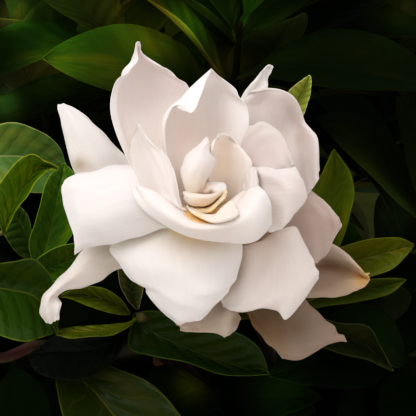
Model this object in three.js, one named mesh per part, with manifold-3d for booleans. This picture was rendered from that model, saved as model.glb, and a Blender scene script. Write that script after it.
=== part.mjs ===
// Potted gardenia: a double white bloom on a dense, glossy-leaved shrub in a plain clay pot.
// Millimetres, +Z up, the origin at the centre of the pot's foot. The bloom faces -Y and up.
import * as THREE from "three";
import { mergeVertices } from "three/addons/utils/BufferGeometryUtils.js";
import Module from "manifold-3d";

const wasm = await Module();
wasm.setup();

// ---- driving dimensions -------------------------------------------------------------
const POT_HEIGHT = 150;
const POT_RIM_RADIUS = 88;
const POT_RIM_HEIGHT = 25;
const POT_NECK_RADIUS = 80;
const POT_FOOT_RADIUS = 58;
const POT_WALL = 6.5;
const POT_FLOOR = 8;
const DRAIN_RADIUS = 10;
const SOIL_TOP = 129;
const GAP = 0.3; // left between pieces that touch
const PETAL_THICKNESS = 0.7;
const LEAF_THICKNESS = 0.8;
const CANOPY_LEAF_THICKNESS = 1.0;
const BLOOM_CENTRE = new THREE.Vector3(0, -118, 300);
const BLOOM_UNIT = 0.28; // mm for one unit of the bloom's drawing plane
const BLOOM_REACH = 700; // mm from the drawing plane to the point it is drawn from
const BLOOM_TILT = (25 * Math.PI) / 180; // the drawing plane leans back by this much
const TUBE_TOP = [205, 252, -24]; // where the petals leave the corolla tube
const TUBE_AXIS = new THREE.Vector3(0, 0.6, -0.8); // down the tube, from the petals to the calyx

// ---- frames and curves ---------------------------------------------------------------
const PLANE_RIGHT = new THREE.Vector3(1, 0, 0);
const PLANE_UP = new THREE.Vector3(0, Math.sin(BLOOM_TILT), Math.cos(BLOOM_TILT));
const PLANE_BACK = new THREE.Vector3(0, Math.cos(BLOOM_TILT), -Math.sin(BLOOM_TILT));

// A point of the drawing plane: 208, 208 is its centre, the second number grows downwards,
// and h is the height in mm in front of the plane.
function drawn([x, y, h]) {
  const k = ((BLOOM_REACH - h) / BLOOM_REACH) * BLOOM_UNIT;
  return BLOOM_CENTRE.clone()
    .addScaledVector(PLANE_RIGHT, (x - 208) * k)
    .addScaledVector(PLANE_UP, (208 - y) * k)
    .addScaledVector(PLANE_BACK, -h);
}

function catmull(p0, p1, p2, p3, t) {
  const out = new THREE.Vector3();
  for (const c of ["x", "y", "z"])
    out[c] =
      0.5 *
      (2 * p1[c] +
        (-p0[c] + p2[c]) * t +
        (2 * p0[c] - 5 * p1[c] + 4 * p2[c] - p3[c]) * t * t +
        (-p0[c] + 3 * p1[c] - 3 * p2[c] + p3[c]) * t * t * t);
  return out;
}

function resample(points, n) {
  const m = points.length;
  const ext = [
    points[0].clone().multiplyScalar(2).sub(points[1]),
    ...points,
    points[m - 1].clone().multiplyScalar(2).sub(points[m - 2]),
  ];
  return Array.from({ length: n }, (_, i) => {
    const x = (i / (n - 1)) * (m - 1);
    const k = Math.min(Math.floor(x), m - 2);
    return catmull(ext[k], ext[k + 1], ext[k + 2], ext[k + 3], x - k);
  });
}

// A lattice of drawn points, base to tip, as a grid of nu rows and nv columns.
function lattice(rows, nu, nv) {
  const lines = rows.map((row) => resample(row.map(drawn), nv));
  const columns = Array.from({ length: nv }, (_, j) =>
    resample(lines.map((line) => line[j]), nu),
  );
  return Array.from({ length: nu }, (_, i) => columns.map((c) => c[i]));
}

// ---- solids ---------------------------------------------------------------------------
function geometryOf(positions, indices) {
  const g = new THREE.BufferGeometry();
  g.setAttribute("position", new THREE.Float32BufferAttribute(positions, 3));
  g.setIndex(indices);
  return g;
}

function solidOf(geometry) {
  const g = geometry.clone();
  g.deleteAttribute("normal");
  g.deleteAttribute("uv");
  const m = mergeVertices(g, 1e-4);
  return new wasm.Manifold(
    new wasm.Mesh({
      numProp: 3,
      vertProperties: new Float32Array(m.attributes.position.array),
      triVerts: new Uint32Array(m.index.array),
    }),
  );
}

function geometryFrom(solid) {
  const mesh = solid.getMesh();
  const g = geometryOf(Array.from(mesh.vertProperties), Array.from(mesh.triVerts)).toNonIndexed();
  g.computeVertexNormals();
  return g;
}

// The largest separate piece of a solid.
function largest(solid) {
  const pieces = solid.decompose();
  return pieces.reduce((a, b) => (b.volume() > a.volume() ? b : a));
}

// A closed skin of the given thickness about a grid of points; grow widens its margins.
function skin(grid, thickness, grow = 0) {
  const nu = grid.length;
  const nv = grid[0].length;
  let g = grid.map((row) => row.map((p) => p.clone()));
  if (grow) {
    const out = (p, q) => p.clone().sub(q).setLength(grow);
    const src = grid;
    for (let i = 0; i < nu; i++)
      for (const [j, k] of [[0, 1], [nv - 1, nv - 2]])
        if (src[i][j].distanceTo(src[i][k]) > 1e-3) g[i][j].add(out(src[i][j], src[i][k]));
    for (let j = 0; j < nv; j++)
      for (const [i, k] of [[0, 1], [nu - 1, nu - 2]])
        g[i][j].add(out(src[i][j], src[k][j]));
  }
  const normals = grid.map((row, i) =>
    row.map((_, j) => {
      const a = grid[Math.min(i + 1, nu - 1)][j].clone().sub(grid[Math.max(i - 1, 0)][j]);
      const b = grid[i][Math.min(j + 1, nv - 1)].clone().sub(grid[i][Math.max(j - 1, 0)]);
      const n = a.cross(b);
      return n.lengthSq() > 1e-9 ? n.normalize() : null;
    }),
  );
  for (let i = 0; i < nu; i++)
    for (let j = 0; j < nv; j++)
      if (!normals[i][j]) normals[i][j] = (normals[i - 1] ?? normals[i + 1])[j] ?? new THREE.Vector3(0, 0, 1);
  const pos = [];
  const index = [];
  for (const side of [1, -1])
    for (let i = 0; i < nu; i++)
      for (let j = 0; j < nv; j++) {
        const p = g[i][j].clone().addScaledVector(normals[i][j], (side * thickness) / 2);
        pos.push(p.x, p.y, p.z);
      }
  const at = (s, i, j) => s * nu * nv + i * nv + j;
  const quad = (a, b, c, d) => index.push(a, b, c, a, c, d);
  for (let i = 0; i < nu - 1; i++)
    for (let j = 0; j < nv - 1; j++) {
      quad(at(0, i, j), at(0, i + 1, j), at(0, i + 1, j + 1), at(0, i, j + 1));
      quad(at(1, i, j), at(1, i, j + 1), at(1, i + 1, j + 1), at(1, i + 1, j));
    }
  for (let i = 0; i < nu - 1; i++) {
    quad(at(0, i, 0), at(1, i, 0), at(1, i + 1, 0), at(0, i + 1, 0));
    quad(at(0, i, nv - 1), at(0, i + 1, nv - 1), at(1, i + 1, nv - 1), at(1, i, nv - 1));
  }
  for (let j = 0; j < nv - 1; j++) {
    quad(at(0, 0, j), at(0, 0, j + 1), at(1, 0, j + 1), at(1, 0, j));
    quad(at(0, nu - 1, j), at(1, nu - 1, j), at(1, nu - 1, j + 1), at(0, nu - 1, j + 1));
  }
  return solidOf(geometryOf(pos, index));
}

// A round stem that tapers along its points, each [x, y, z, radius].
function stem(points, sides, step, extra = 0) {
  const centres = points.map(([x, y, z]) => new THREE.Vector3(x, y, z));
  const curve = new THREE.CatmullRomCurve3(centres, false, "centripetal");
  const n = Math.max(2, Math.round(curve.getLength() / step) + 1);
  const rings = [];
  let side = new THREE.Vector3(1, 0, 0);
  for (let i = 0; i < n; i++) {
    const t = i / (n - 1);
    const u = curve.getUtoTmapping(t) * (points.length - 1);
    const k = Math.min(Math.floor(u), points.length - 2);
    const r = points[k][3] + (points[k + 1][3] - points[k][3]) * (u - k) + extra;
    const along = curve.getTangentAt(t);
    side = side.clone().addScaledVector(along, -side.dot(along)).normalize();
    const up = along.clone().cross(side);
    const c = curve.getPointAt(t);
    if (i === 0) c.addScaledVector(along, -extra);
    if (i === n - 1) c.addScaledVector(along, extra);
    rings.push(
      Array.from({ length: sides }, (_, a) => {
        const w = (a / sides) * 2 * Math.PI;
        return c.clone().addScaledVector(side, r * Math.cos(w)).addScaledVector(up, r * Math.sin(w));
      }),
    );
  }
  const pos = rings.flat().flatMap((p) => [p.x, p.y, p.z]);
  const index = [];
  for (let i = 0; i < n - 1; i++)
    for (let a = 0; a < sides; a++) {
      const b = (a + 1) % sides;
      const [p, q, r, s] = [i * sides + a, i * sides + b, (i + 1) * sides + b, (i + 1) * sides + a];
      index.push(p, q, r, p, r, s);
    }
  for (let a = 1; a < sides - 1; a++) {
    index.push(0, a + 1, a);
    const e = (n - 1) * sides;
    index.push(e, e + a, e + a + 1);
  }
  return solidOf(geometryOf(pos, index));
}

// Half width of a leaf blade at t, 0 at the twig and 1 at the tip, as a share of its widest.
function bladeShare(t) {
  if (t <= 0.07) return 0.05;
  const s = (t - 0.07) / 0.93;
  return Math.max(0.05 * (1 - s), Math.sin(Math.PI * s ** 1.08) ** 0.82 * (1 - 0.12 * s));
}

// A canopy leaf: foot, direction, face normal, length, width, bend over its length, fold.
function canopyLeaf([bx, by, bz, dx, dy, dz, nx, ny, nz, length, width, bend, fold], thickness) {
  const foot = new THREE.Vector3(bx, by, bz);
  const d = new THREE.Vector3(dx, dy, dz).normalize();
  const n = new THREE.Vector3(nx, ny, nz);
  n.addScaledVector(d, -n.dot(d)).normalize();
  const across = d.clone().cross(n);
  const at = (t) => {
    const f = bend * t;
    return {
      p: foot
        .clone()
        .addScaledVector(d, (length * Math.sin(f)) / bend)
        .addScaledVector(n, (-length * (1 - Math.cos(f))) / bend),
      face: n.clone().multiplyScalar(Math.cos(f)).addScaledVector(d, Math.sin(f)),
    };
  };
  const pos = [];
  const put = (v) => pos.push(v.x, v.y, v.z);
  const stations = [0.26, 0.62];
  put(foot);
  for (const t of stations) {
    const { p, face } = at(t);
    const half = (width / 2) * bladeShare(t);
    const wing = (s) =>
      p
        .clone()
        .addScaledVector(across, s * half * Math.cos(fold))
        .addScaledVector(face, half * Math.sin(fold));
    put(wing(-1));
    put(p.clone().addScaledVector(face, thickness / 2));
    put(wing(1));
    put(p.clone().addScaledVector(face, -thickness / 2));
  }
  put(at(1).p);
  const index = [];
  const m = stations.length;
  for (let i = 0; i < m - 1; i++)
    for (let a = 0; a < 4; a++) {
      const b = (a + 1) % 4;
      const [p, q] = [1 + i * 4, 5 + i * 4];
      index.push(p + a, p + b, q + b, p + a, q + b, q + a);
    }
  const e = 1 + (m - 1) * 4;
  for (let a = 0; a < 4; a++) {
    const b = (a + 1) % 4;
    index.push(0, 1 + b, 1 + a);
    index.push(e + a, e + b, 1 + m * 4);
  }
  const s = solidOf(geometryOf(pos, index));
  return s;
}

function turned(profile, segments) {
  return new THREE.LatheGeometry(profile.map(([r, z]) => new THREE.Vector2(r, z)), segments).rotateX(Math.PI / 2);
}

// ---- the plant's tables ----------------------------------------------------------------
// Each petal and each leaf near the bloom: rows from its base to its tip, each row across it,
// as points of the drawing plane.
const PETALS = {
  outer_petal_1: [
    [[187.0564, 250.7333, -27.6793], [189.4115, 243.99, -28.634], [194.7956, 238.8031, -29.3683]],
    [[150, 232, -28], [158, 215, -30], [165, 200, -33]],
    [[105, 205, -31], [122, 182, -33], [146, 172, -36]],
    [[77, 178, -34], [101, 155, -33], [124, 152.5, -36]],
    [[64, 142, -37], [83, 132, -35], [103, 129.5, -37.5]],
    [[58.6, 118, -39], [69, 113.5, -37.5], [82, 112.2, -39]],
    [[56.8, 106, -40], [59.5, 103.2, -40], [65.5, 103.2, -40]],
  ],
  outer_petal_2: [
    [[187.0564, 253.2667, -27.3207], [189.4115, 260.01, -26.366], [194.7956, 265.1969, -25.6317]],
    [[183, 243, -27], [181, 253, -28], [180, 264, -28]],
    [[142, 236, -22], [140, 251, -22], [144, 268, -26]],
    [[106, 241, -20], [109, 256, -19], [119, 270, -23]],
    [[84, 249, -19], [91, 265, -17], [102, 282.5, -21]],
    [[65, 270.5, -19], [73, 278, -15.5], [84, 289, -20]],
    [[52, 284, -19], [59, 287, -12.5], [68, 290.5, -18]],
    [[42, 297, -19], [48, 298, -11], [59.5, 295, -16.5]],
    [[37.8, 309.5, -19.5], [46, 311, -12.5], [60.5, 305, -12]],
    [[42, 321.5, -19], [49, 324.5, -15], [55.5, 319, -12.5]],
  ],
  outer_petal_3: [
    [[197.8327, 266.6952, -25.4196], [202.966, 267.9174, -25.2465], [208.2766, 267.7523, -25.2699], [213.3017, 266.2145, -25.4876]],
    [[197, 275, -28], [202, 277, -30], [208, 277, -30], [213, 275, -29]],
    [[180, 300, -24], [200, 302, -23], [222, 300, -19], [234, 296, -24]],
    [[176, 320, -24], [200, 319, -22], [228, 312, -14], [240.5, 313, -23]],
    [[177.5, 329, -25], [202, 329, -21.5], [227, 324, -14.5], [242, 322.5, -24]],
    [[182, 332.2, -25], [209, 332.3, -21], [224.5, 338, -17], [236, 333, -23]],
  ],
  outer_petal_4: [
    [[209.5175, 267.5073, -25.3046], [214.4081, 265.6576, -25.5665], [218.4788, 262.6176, -25.9968], [221.3747, 258.6523, -26.5582]],
    [[222, 268, -28], [228, 270, -30], [234, 268, -30], [239, 264, -29]],
    [[239, 300, -25], [256, 300, -27], [276, 295, -27], [294, 288, -28]],
    [[250, 317, -22], [270, 318, -24], [294, 312, -24], [312, 306, -26]],
    [[263, 337, -20], [282, 336, -21.5], [305, 331, -21], [329, 321, -25]],
    [[275, 349, -19], [292, 350, -19.5], [316, 342, -20], [341, 331.5, -24]],
    [[282.5, 359, -19], [301, 359, -19], [327, 345.5, -21], [347, 338, -22.5]],
  ],
  outer_petal_5: [
    [[222.7006, 249.0903, -27.9119], [222.9859, 252.6339, -27.4103], [222.3867, 256.1463, -26.913], [220.9324, 259.4548, -26.4446], [218.6945, 262.3967, -26.0281]],
    [[236, 252, -29], [239, 257, -31], [239, 264, -33], [239, 268, -32], [237, 273, -30]],
    [[285, 244, -28], [289, 252, -30], [290, 264, -36], [288, 280, -34], [283, 293, -31]],
    [[318, 240, -27], [322, 249, -28], [324, 262, -36], [322, 278, -33], [317, 296.5, -31]],
    [[343, 249.5, -27], [344, 257, -27], [344, 265.5, -34], [343, 280, -30.5], [338, 295.5, -30]],
    [[358, 265, -27], [358, 268, -26.5], [357.5, 272.5, -30.5], [357.5, 281, -28], [353, 291.5, -28]],
    [[366.5, 275, -26], [367.5, 277, -26], [368, 280, -27], [367.5, 283, -27], [364, 288, -27.5]],
  ],
  outer_petal_6: [
    [[205.7962, 235.9957, -29.7658], [213.4505, 237.8552, -29.5025], [219.4628, 242.463, -28.8502]],
    [[214, 226, -30], [222, 222, -32], [230, 220, -31]],
    [[222, 180, -36], [235, 175, -38], [248, 170, -38]],
    [[232, 135, -40], [248, 128, -42], [263, 125, -42]],
    [[242.5, 97, -42], [254.5, 94, -44], [267, 92, -43]],
    [[256, 79.8, -42], [261.5, 79, -43.5], [267, 80, -43]],
    [[262.8, 70, -41], [267, 70, -42.5], [270.8, 71.8, -42]],
    [[267.6, 65.3, -40.5], [270.3, 64.6, -41], [273.2, 67, -41]],
  ],
  second_petal_1: [
    [[193.3273, 244.344, -26.5839], [196.1117, 241.8038, -26.9435], [199.5682, 240.0347, -27.194], [203.4355, 239.1703, -27.3163], [207.421, 239.2762, -27.3014]],
    [[172, 228, -18], [178, 224, -21], [186, 220, -23], [194, 217, -22], [200, 215, -20]],
    [[142, 185, -12], [151, 178, -18], [164, 172, -22], [178, 166, -21], [192, 163, -19]],
    [[126.5, 152, -13], [137, 148, -19], [154, 140, -24], [176, 132, -24], [198, 132, -21]],
    [[116.8, 119, -14], [124.5, 116, -21], [146, 108, -26], [172, 101, -26], [195, 105, -22]],
    [[116.5, 92, -15], [122.5, 89, -21], [141, 80, -26], [166, 79, -24], [187.5, 88.5, -21]],
    [[122.5, 80, -15], [123.5, 77, -20], [140, 71, -25], [161, 71, -23.5], [179, 80.7, -20.5]],
    [[131, 73, -13.5], [124.4, 70.6, -19], [138.5, 64.5, -23.5], [154, 65, -22], [170, 72.7, -20]],
    [[138, 61.5, -14.5], [132.3, 60.2, -18.5], [137, 56, -20], [142.5, 55.5, -19], [148.5, 60, -19]],
    [[136, 51.3, -15], [135.3, 50.8, -16.7], [137.9, 50.3, -17.5], [139.6, 50.3, -17], [141.2, 51.6, -17]],
    [[136.2, 44.4, -14], [137, 42.3, -14.2], [138.3, 41.8, -14.5], [139.6, 42.4, -14.8], [140.6, 45, -15]],
  ],
  second_petal_2: [
    [[193.2117, 244.4856, -26.5638], [190.9642, 248.7607, -25.9586], [190.5943, 253.4692, -25.292], [192.1514, 257.9811, -24.6532]],
    [[178, 222, -16], [174, 228, -14], [175, 235, -14], [180, 241, -16]],
    [[155, 172, -13], [150, 190, -5], [152, 212, -2], [168, 228, -4]],
    [[128, 161, -13], [124, 183, -4], [126, 212, -1], [140, 238.5, -6]],
    [[100, 167, -14], [97, 190, -6], [102, 219, -2], [114, 245, -8]],
    [[76, 172.5, -15], [75, 192, -10], [83, 222, -5], [94, 247.5, -9]],
    [[64, 179, -15], [64.5, 200, -13], [74, 230, -8], [80, 252, -10]],
    [[61, 185.5, -15], [63.5, 204, -14], [72, 230, -9], [75.5, 255.7, -10]],
  ],
  second_petal_3: [
    [[194.4627, 260.865, -24.245], [197.5741, 263.0842, -23.9308], [201.2471, 264.4653, -23.7353], [205.2039, 264.9037, -23.6732], [209.1453, 264.3664, -23.7492]],
    [[188, 258, -17], [195, 262, -19], [203, 264, -20], [211, 264, -19], [218, 261, -17]],
    [[150, 228, -13], [171, 226, -9], [193, 230, -6], [217, 236, -6], [238, 238, -8]],
    [[110.5, 245, -14], [141, 241, -9], [176, 243, -3], [212, 249, -1], [243, 250, -6]],
    [[117.5, 264, -12.5], [146, 264, -5], [180, 269, -1], [213, 272, -1], [241.5, 265, -6]],
    [[129.5, 281, -12.5], [152, 282, -6], [183, 289, -1.6], [212, 289, -0.6], [237, 279, -6]],
    [[142.3, 287.2, -12.8], [156, 291, -6.8], [183.5, 299, -2.4], [209, 298, -1.4], [231.5, 288.5, -6.6]],
    [[144.5, 294.8, -13.4], [159.5, 299, -8], [184, 307, -3.6], [206, 305.5, -2.6], [225.5, 296.5, -7]],
    [[155.5, 308.5, -14.5], [167, 311.5, -10.5], [183, 315.5, -6], [201, 313.5, -4.8], [215, 307, -8]],
    [[168.5, 316, -15.2], [174, 320.5, -12], [183, 321.5, -8.2], [197, 318.5, -6.8], [207, 316, -9.2]],
    [[175.5, 322.5, -16], [178.5, 325.3, -13], [186, 324.3, -10], [195, 321.8, -8], [202, 319.3, -10]],
  ],
  second_petal_4: [
    [[205.857, 264.8824, -23.6762], [209.0048, 264.403, -23.7441], [211.9583, 263.322, -23.8971], [214.5743, 261.6917, -24.1279], [216.7258, 259.5914, -24.4253], [218.3086, 257.1228, -24.7747]],
    [[220, 263, -18], [226, 264, -19], [231, 263, -19], [236, 261, -19], [240, 257, -18], [243, 254, -18]],
    [[226, 250, -14], [240, 248, -10], [254, 244, -9], [266, 240, -9], [279, 232, -9], [291.5, 225, -12]],
    [[226, 270, -14], [245, 270, -9], [262, 264, -6], [276, 258, -5], [292, 248, -6], [307, 246, -10]],
    [[222, 290, -14.5], [243, 290, -9], [260, 286, -6], [277, 280, -4.5], [296, 270, -5], [315, 262, -9]],
    [[221, 304, -15], [241, 305, -11], [257, 302, -7.5], [275, 300, -5], [296, 292, -5], [319.3, 273, -9]],
    [[224, 310, -16], [242, 313, -12.5], [256, 310, -9.5], [276, 311, -8], [288.5, 319.3, -8], [320.8, 279.5, -10]],
  ],
  second_petal_5: [
    [[218.2861, 246.8311, -26.2318], [219.4858, 251.4287, -25.5809], [218.7477, 256.1028, -24.9192], [216.1706, 260.2279, -24.3351]],
    [[240, 232, -17], [243, 240, -19], [245, 247, -19], [244, 254, -17]],
    [[275, 192, -15], [285, 213, -18], [290, 237, -18], [285, 260, -17]],
    [[297, 181, -17.5], [308, 206, -17], [312, 234, -18], [307, 262, -20]],
    [[314, 190.5, -18], [325, 213, -16.5], [326, 235, -18.5], [319, 264, -21]],
    [[328, 205, -18], [335.5, 216.5, -16.5], [334, 233, -18.5], [325, 255, -21]],
    [[334.5, 212, -18], [341.5, 223, -17], [338.3, 233, -18.5], [329.5, 247, -20.5]],
  ],
  second_petal_6: [
    [[208.3575, 239.4457, -27.2773], [211.3639, 240.4043, -27.1416], [214.0616, 241.9254, -26.9263], [216.3198, 243.9352, -26.6418], [218.0288, 246.3361, -26.3019], [219.1059, 249.0118, -25.923]],
    [[216, 222, -18], [222, 222, -21], [228, 224, -22], [232, 226, -22], [235, 229, -20], [238, 233, -18]],
    [[230, 165, -13], [245, 165, -19], [262, 172, -22], [272, 180, -21.5], [281, 191, -19], [290, 206, -16]],
    [[238, 125, -16], [256, 128, -21], [277, 138, -24], [288, 150, -23], [298, 166, -20], [305, 194, -16]],
    [[242, 106, -18], [261, 106, -22], [283, 113, -21.5], [294.5, 130, -24], [305, 149, -19], [312, 187, -15]],
    [[246.5, 97, -19], [269, 92, -20], [289, 98.5, -18], [300, 122, -21], [311.5, 138, -15.5], [317, 178, -14]],
    [[253.5, 94, -19], [271.5, 89.8, -19], [292, 97, -16.5], [303.5, 123, -19], [315.2, 136.5, -14.5], [319.3, 170, -14]],
  ],
  third_petal_1: [
    [[198.1582, 244.3341, -24.5853], [200.5476, 243.0478, -24.7674], [203.2238, 242.3385, -24.8678], [206.0146, 242.2517, -24.8801], [208.7399, 242.7932, -24.8034], [211.2243, 243.928, -24.6428]],
    [[184, 226, -12], [188, 223, -13], [195, 219, -16], [204, 217, -17], [214, 218, -16], [222, 222, -13]],
    [[172, 182, -3], [171, 178, -5], [183, 174, -10], [207, 170, -13], [229, 172, -12], [242, 178, -10.5]],
    [[167, 146, -4], [164.5, 142, -6.5], [179, 137, -12.5], [206, 132, -16], [231, 136, -13], [247, 145, -10.6]],
    [[168, 122, -4], [164.5, 119.5, -6.5], [179, 114, -12], [205, 108, -16], [231, 108, -13.6], [249, 119, -10.2]],
    [[176.5, 108.5, -2], [170.5, 107.5, -6], [183, 102, -11], [206, 97, -15], [228.5, 96, -13.5], [243.2, 104.5, -10]],
    [[192, 115, 3], [178.3, 103.3, -3.5], [189, 95, -9], [206, 90, -13.5], [225.5, 89, -13], [238.8, 95.5, -10]],
    [[200, 99, 0], [190, 90.5, -4], [197, 85.5, -8], [208, 82.5, -11], [220, 81.5, -11.5], [231.5, 86, -10]],
    [[205.5, 83, -3], [202.5, 77.8, -6], [206, 76, -8], [211, 75, -9], [215, 75.3, -9.5], [219.5, 76.8, -9.5]],
    [[210.3, 71.6, -7], [210.3, 70, -7], [211, 69.2, -7], [211.7, 69.2, -7], [212.4, 69.9, -7], [213, 71.2, -7]],
  ],
  third_petal_2: [
    [[209.3931, 243.0246, -24.7707], [213.1548, 245.4297, -24.4302], [215.4707, 248.9997, -23.9248], [215.9301, 253.1016, -23.344]],
    [[220, 222, -11], [227, 222, -12], [234, 225, -12], [239, 230, -9]],
    [[234, 181, -9], [246, 181, -7.6], [256, 184, -6.2], [264, 194, -4]],
    [[239, 151, -9], [251, 150, -7.6], [267, 154, -6], [284, 174, -3]],
    [[243.3, 136, -8.6], [256, 132, -7.4], [276, 140, -6.2], [292, 165, -3.5]],
    [[249.8, 128, -7.8], [262.5, 121.9, -7.4], [282, 133.5, -7.5], [297, 164, -5]],
  ],
  third_petal_3: [
    [[213.3693, 245.647, -24.3994], [215.5657, 249.2763, -23.8856], [215.8888, 253.3885, -23.3034], [214.2813, 257.2545, -22.7561]],
    [[232, 222, -4], [235, 227, -5], [237, 232, -6], [238, 238, -7]],
    [[249, 174, -2.5], [252, 195, 0.5], [255, 213, 1.5], [256, 231, 0]],
    [[258.5, 167, 1.3], [266, 183, 3.6], [272, 206, 4], [270, 233, 2]],
    [[276, 168.8, 4.6], [286, 182, 6.8], [290, 203, 6.5], [281, 230, 3]],
    [[292.5, 167.3, 3.8], [301, 181.5, 5], [303.5, 198, 4.5], [288, 223, 3]],
    [[298, 170, 1.5], [304.5, 187, 2.2], [306.8, 199, 1.5], [295, 213, 1]],
  ],
  third_petal_4: [
    [[215.6515, 249.5552, -23.8461], [215.199, 255.6674, -22.9808], [210.7539, 260.3439, -22.3187]],
    [[227, 230, -7], [231, 235, -7], [234, 240, -8]],
    [[239, 205, -2], [246, 213, 1], [254, 224, -1]],
    [[241.5, 190, 1.5], [251, 197, 5.4], [260, 204, 5.5]],
    [[245, 177.5, 1.8], [251.5, 179, 5], [258.3, 182, 5.4]],
    [[249.3, 167.8, 1], [253, 166.2, 3], [256.8, 168.4, 3]],
  ],
  third_petal_5: [
    [[197.2953, 258.9874, -22.5108], [199.5205, 260.4889, -22.2982], [202.0988, 261.4434, -22.1631], [204.8641, 261.7893, -22.1141], [207.6381, 261.5043, -22.1545], [210.2422, 260.6068, -22.2815]],
    [[184, 234, -7], [192, 237, -6], [203, 239, -5], [215, 239, -5], [226, 236, -6], [234, 231, -8]],
    [[161, 199, -2], [175, 204, 0], [195, 207, 2.5], [215, 209, 3.5], [231, 202, 2], [243, 192, -1]],
    [[153, 193, 1], [169, 202.5, 5], [193, 218, 9.5], [219.5, 220, 11], [237.5, 203.5, 8], [250, 186, 3]],
    [[147, 185.3, 2.5], [165, 201.6, 8.3], [191, 222.8, 13.2], [219.5, 224.5, 14.8], [242, 203.5, 11], [256.5, 183, 6]],
    [[137, 185.6, 3], [155.5, 206.5, 9.2], [188.5, 227.6, 14.2], [222.5, 229.5, 15], [250, 214, 15.6], [266, 191.5, 10]],
    [[131.5, 189, 2], [149.5, 211.5, 7.2], [185.5, 232.8, 10.4], [225, 238, 11], [256, 229, 14.2], [272, 206, 10.4]],
    [[130.5, 192.5, 1], [147, 213.5, 5], [184, 235.5, 6.3], [226, 243.6, 6.5], [255, 242, 10], [273.5, 226, 7.6]],
  ],
  third_petal_6: [
    [[194.7627, 255.5818, -22.9929], [194.0136, 251.5139, -23.5688], [195.2124, 247.5321, -24.1325], [198.1465, 244.3424, -24.5841]],
    [[178, 228, -9], [180, 223, -10], [184, 218, -10], [190, 214, -9]],
    [[152, 206, -2], [161, 204, 2], [172, 206, 6], [185.8, 213, 8]],
    [[136, 188, -7], [149, 188, 0], [163, 190, 5.5], [179.6, 200, 8.2]],
    [[130, 170, -10.5], [142, 169, -3.5], [158, 169, 3.5], [174.4, 175, 6]],
    [[129.5, 152, -12], [138.5, 150.5, -6], [151, 150.5, 0], [166.8, 158, 3.2]],
    [[133, 138, -12], [138, 136.5, -6], [144.5, 138, -1.5], [151.5, 142.5, 1]],
    [[136.6, 127.5, -4], [137.4, 124.6, -3], [139, 124.3, -2], [141, 127.3, -2]],
  ],
  inner_petal_1: [
    [[200.3831, 247.9279, -22.5765], [202.5911, 246.6269, -22.7607], [205.1988, 246.2177, -22.8186], [207.7736, 246.7681, -22.7407]],
    [[193, 216, -4], [197, 214, -1], [202, 213, 0], [206, 214, -3]],
    [[184.5, 190, 5], [190.5, 191.5, 9], [198, 191, 9], [205, 188, 6]],
    [[180.2, 176.5, 5], [187.5, 176.5, 10.5], [198.5, 176.5, 10.5], [209.3, 176.7, 6]],
    [[182, 163.5, 4], [189, 163, 9.4], [204, 163, 9.4], [217, 161.3, 4]],
    [[187.5, 154, 3], [194, 152, 6.6], [203, 151, 7.6], [212, 153, 4.5]],
    [[199.5, 145.3, 3], [203, 142.5, 4], [207, 142.5, 4.5], [210, 145.5, 3]],
    [[204.3, 138.8, 3], [205.7, 137.3, 3], [207.2, 137.3, 3], [208.4, 139.2, 3]],
  ],
  inner_petal_2: [
    [[204.4042, 246.2394, -22.8156], [205.9994, 246.2838, -22.8093], [207.5343, 246.6728, -22.7542], [208.9165, 247.383, -22.6536], [210.0625, 248.3716, -22.5137], [210.9034, 249.5789, -22.3428]],
    [[205, 217, -6], [206.5, 217, -6.5], [210, 216, -9], [216, 215, -10], [223, 216, -9], [230, 218, -7]],
    [[205, 187, 0], [207, 187.5, 1.3], [212, 186, -4.5], [223, 184, -6.5], [236, 184, -5.5], [248, 186, -3]],
    [[210.4, 156.5, 3.2], [212, 157.5, 4.9], [214.8, 159, -3], [225, 160, -6.8], [239, 162, -5.8], [251.3, 165, -2]],
    [[211, 148.2, 4], [213, 147.5, 5.8], [215.4, 147, -1], [224, 147, -6], [235.5, 149, -6.5], [245.3, 153, -4.2]],
    [[212.8, 141.3, 3.6], [214.9, 140.4, 5.4], [217.2, 140, 0.5], [224, 139, -4.2], [231.5, 140.6, -6.4], [238.3, 145, -6]],
    [[217.2, 136.9, 2.8], [218.6, 136.1, 4.2], [219.9, 134.9, 1.8], [223.2, 133.8, -1], [227, 134, -3.5], [231.5, 137.6, -5.5]],
  ],
  inner_petal_3: [
    [[201.2477, 247.2762, -22.6688], [202.6542, 246.6049, -22.7638], [204.202, 246.2588, -22.8128], [205.798, 246.2588, -22.8128], [207.3458, 246.6049, -22.7638], [208.7523, 247.2762, -22.6688]],
    [[200, 213, 0], [202, 211, 0], [205, 209, 0], [208, 208, 0], [211, 209, 0], [213, 212, 0]],
    [[194, 199, 6], [199, 196, 6.5], [206, 194.5, 7], [213, 194, 7], [219, 194.5, 6], [222, 197, 5]],
    [[191, 191, 6.5], [198, 189, 6.5], [206, 187.3, 6.3], [215, 187, 6], [223, 188.5, 5], [226.5, 192, 4.5]],
    [[195, 184.8, 6], [201, 183, 5], [207.5, 181.6, 4], [216, 180.7, 3], [224, 182.3, 3], [227.5, 187, 3.5]],
  ],
  inner_petal_4: [
    [[200.7994, 256.4147, -21.375], [202.499, 257.3396, -21.2441], [204.4335, 257.763, -21.1841], [206.4212, 257.645, -21.2008], [208.2754, 256.9968, -21.2926]],
    [[197, 222, -4], [201, 224, -3], [205, 225, -3], [210, 224, -3], [214, 221, -4]],
    [[185, 203, 2], [191, 205.5, 4.5], [200, 206.6, 6.2], [209.5, 204, 5.5], [217.5, 196.5, 3]],
    [[183.3, 200.5, 5.6], [190.5, 203.8, 8.3], [201, 205.4, 9.6], [212, 202.3, 9], [221.2, 195, 6]],
    [[182.4, 194, 7], [190, 196.5, 10], [201, 198.3, 11.3], [212.5, 196.8, 10.7], [222.8, 191.3, 7.4]],
    [[183, 190, 6], [191.5, 191.7, 8.8], [202, 193.2, 10], [212.5, 193, 9.6], [222, 189, 7]],
  ],
  inner_petal_5: [
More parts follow.
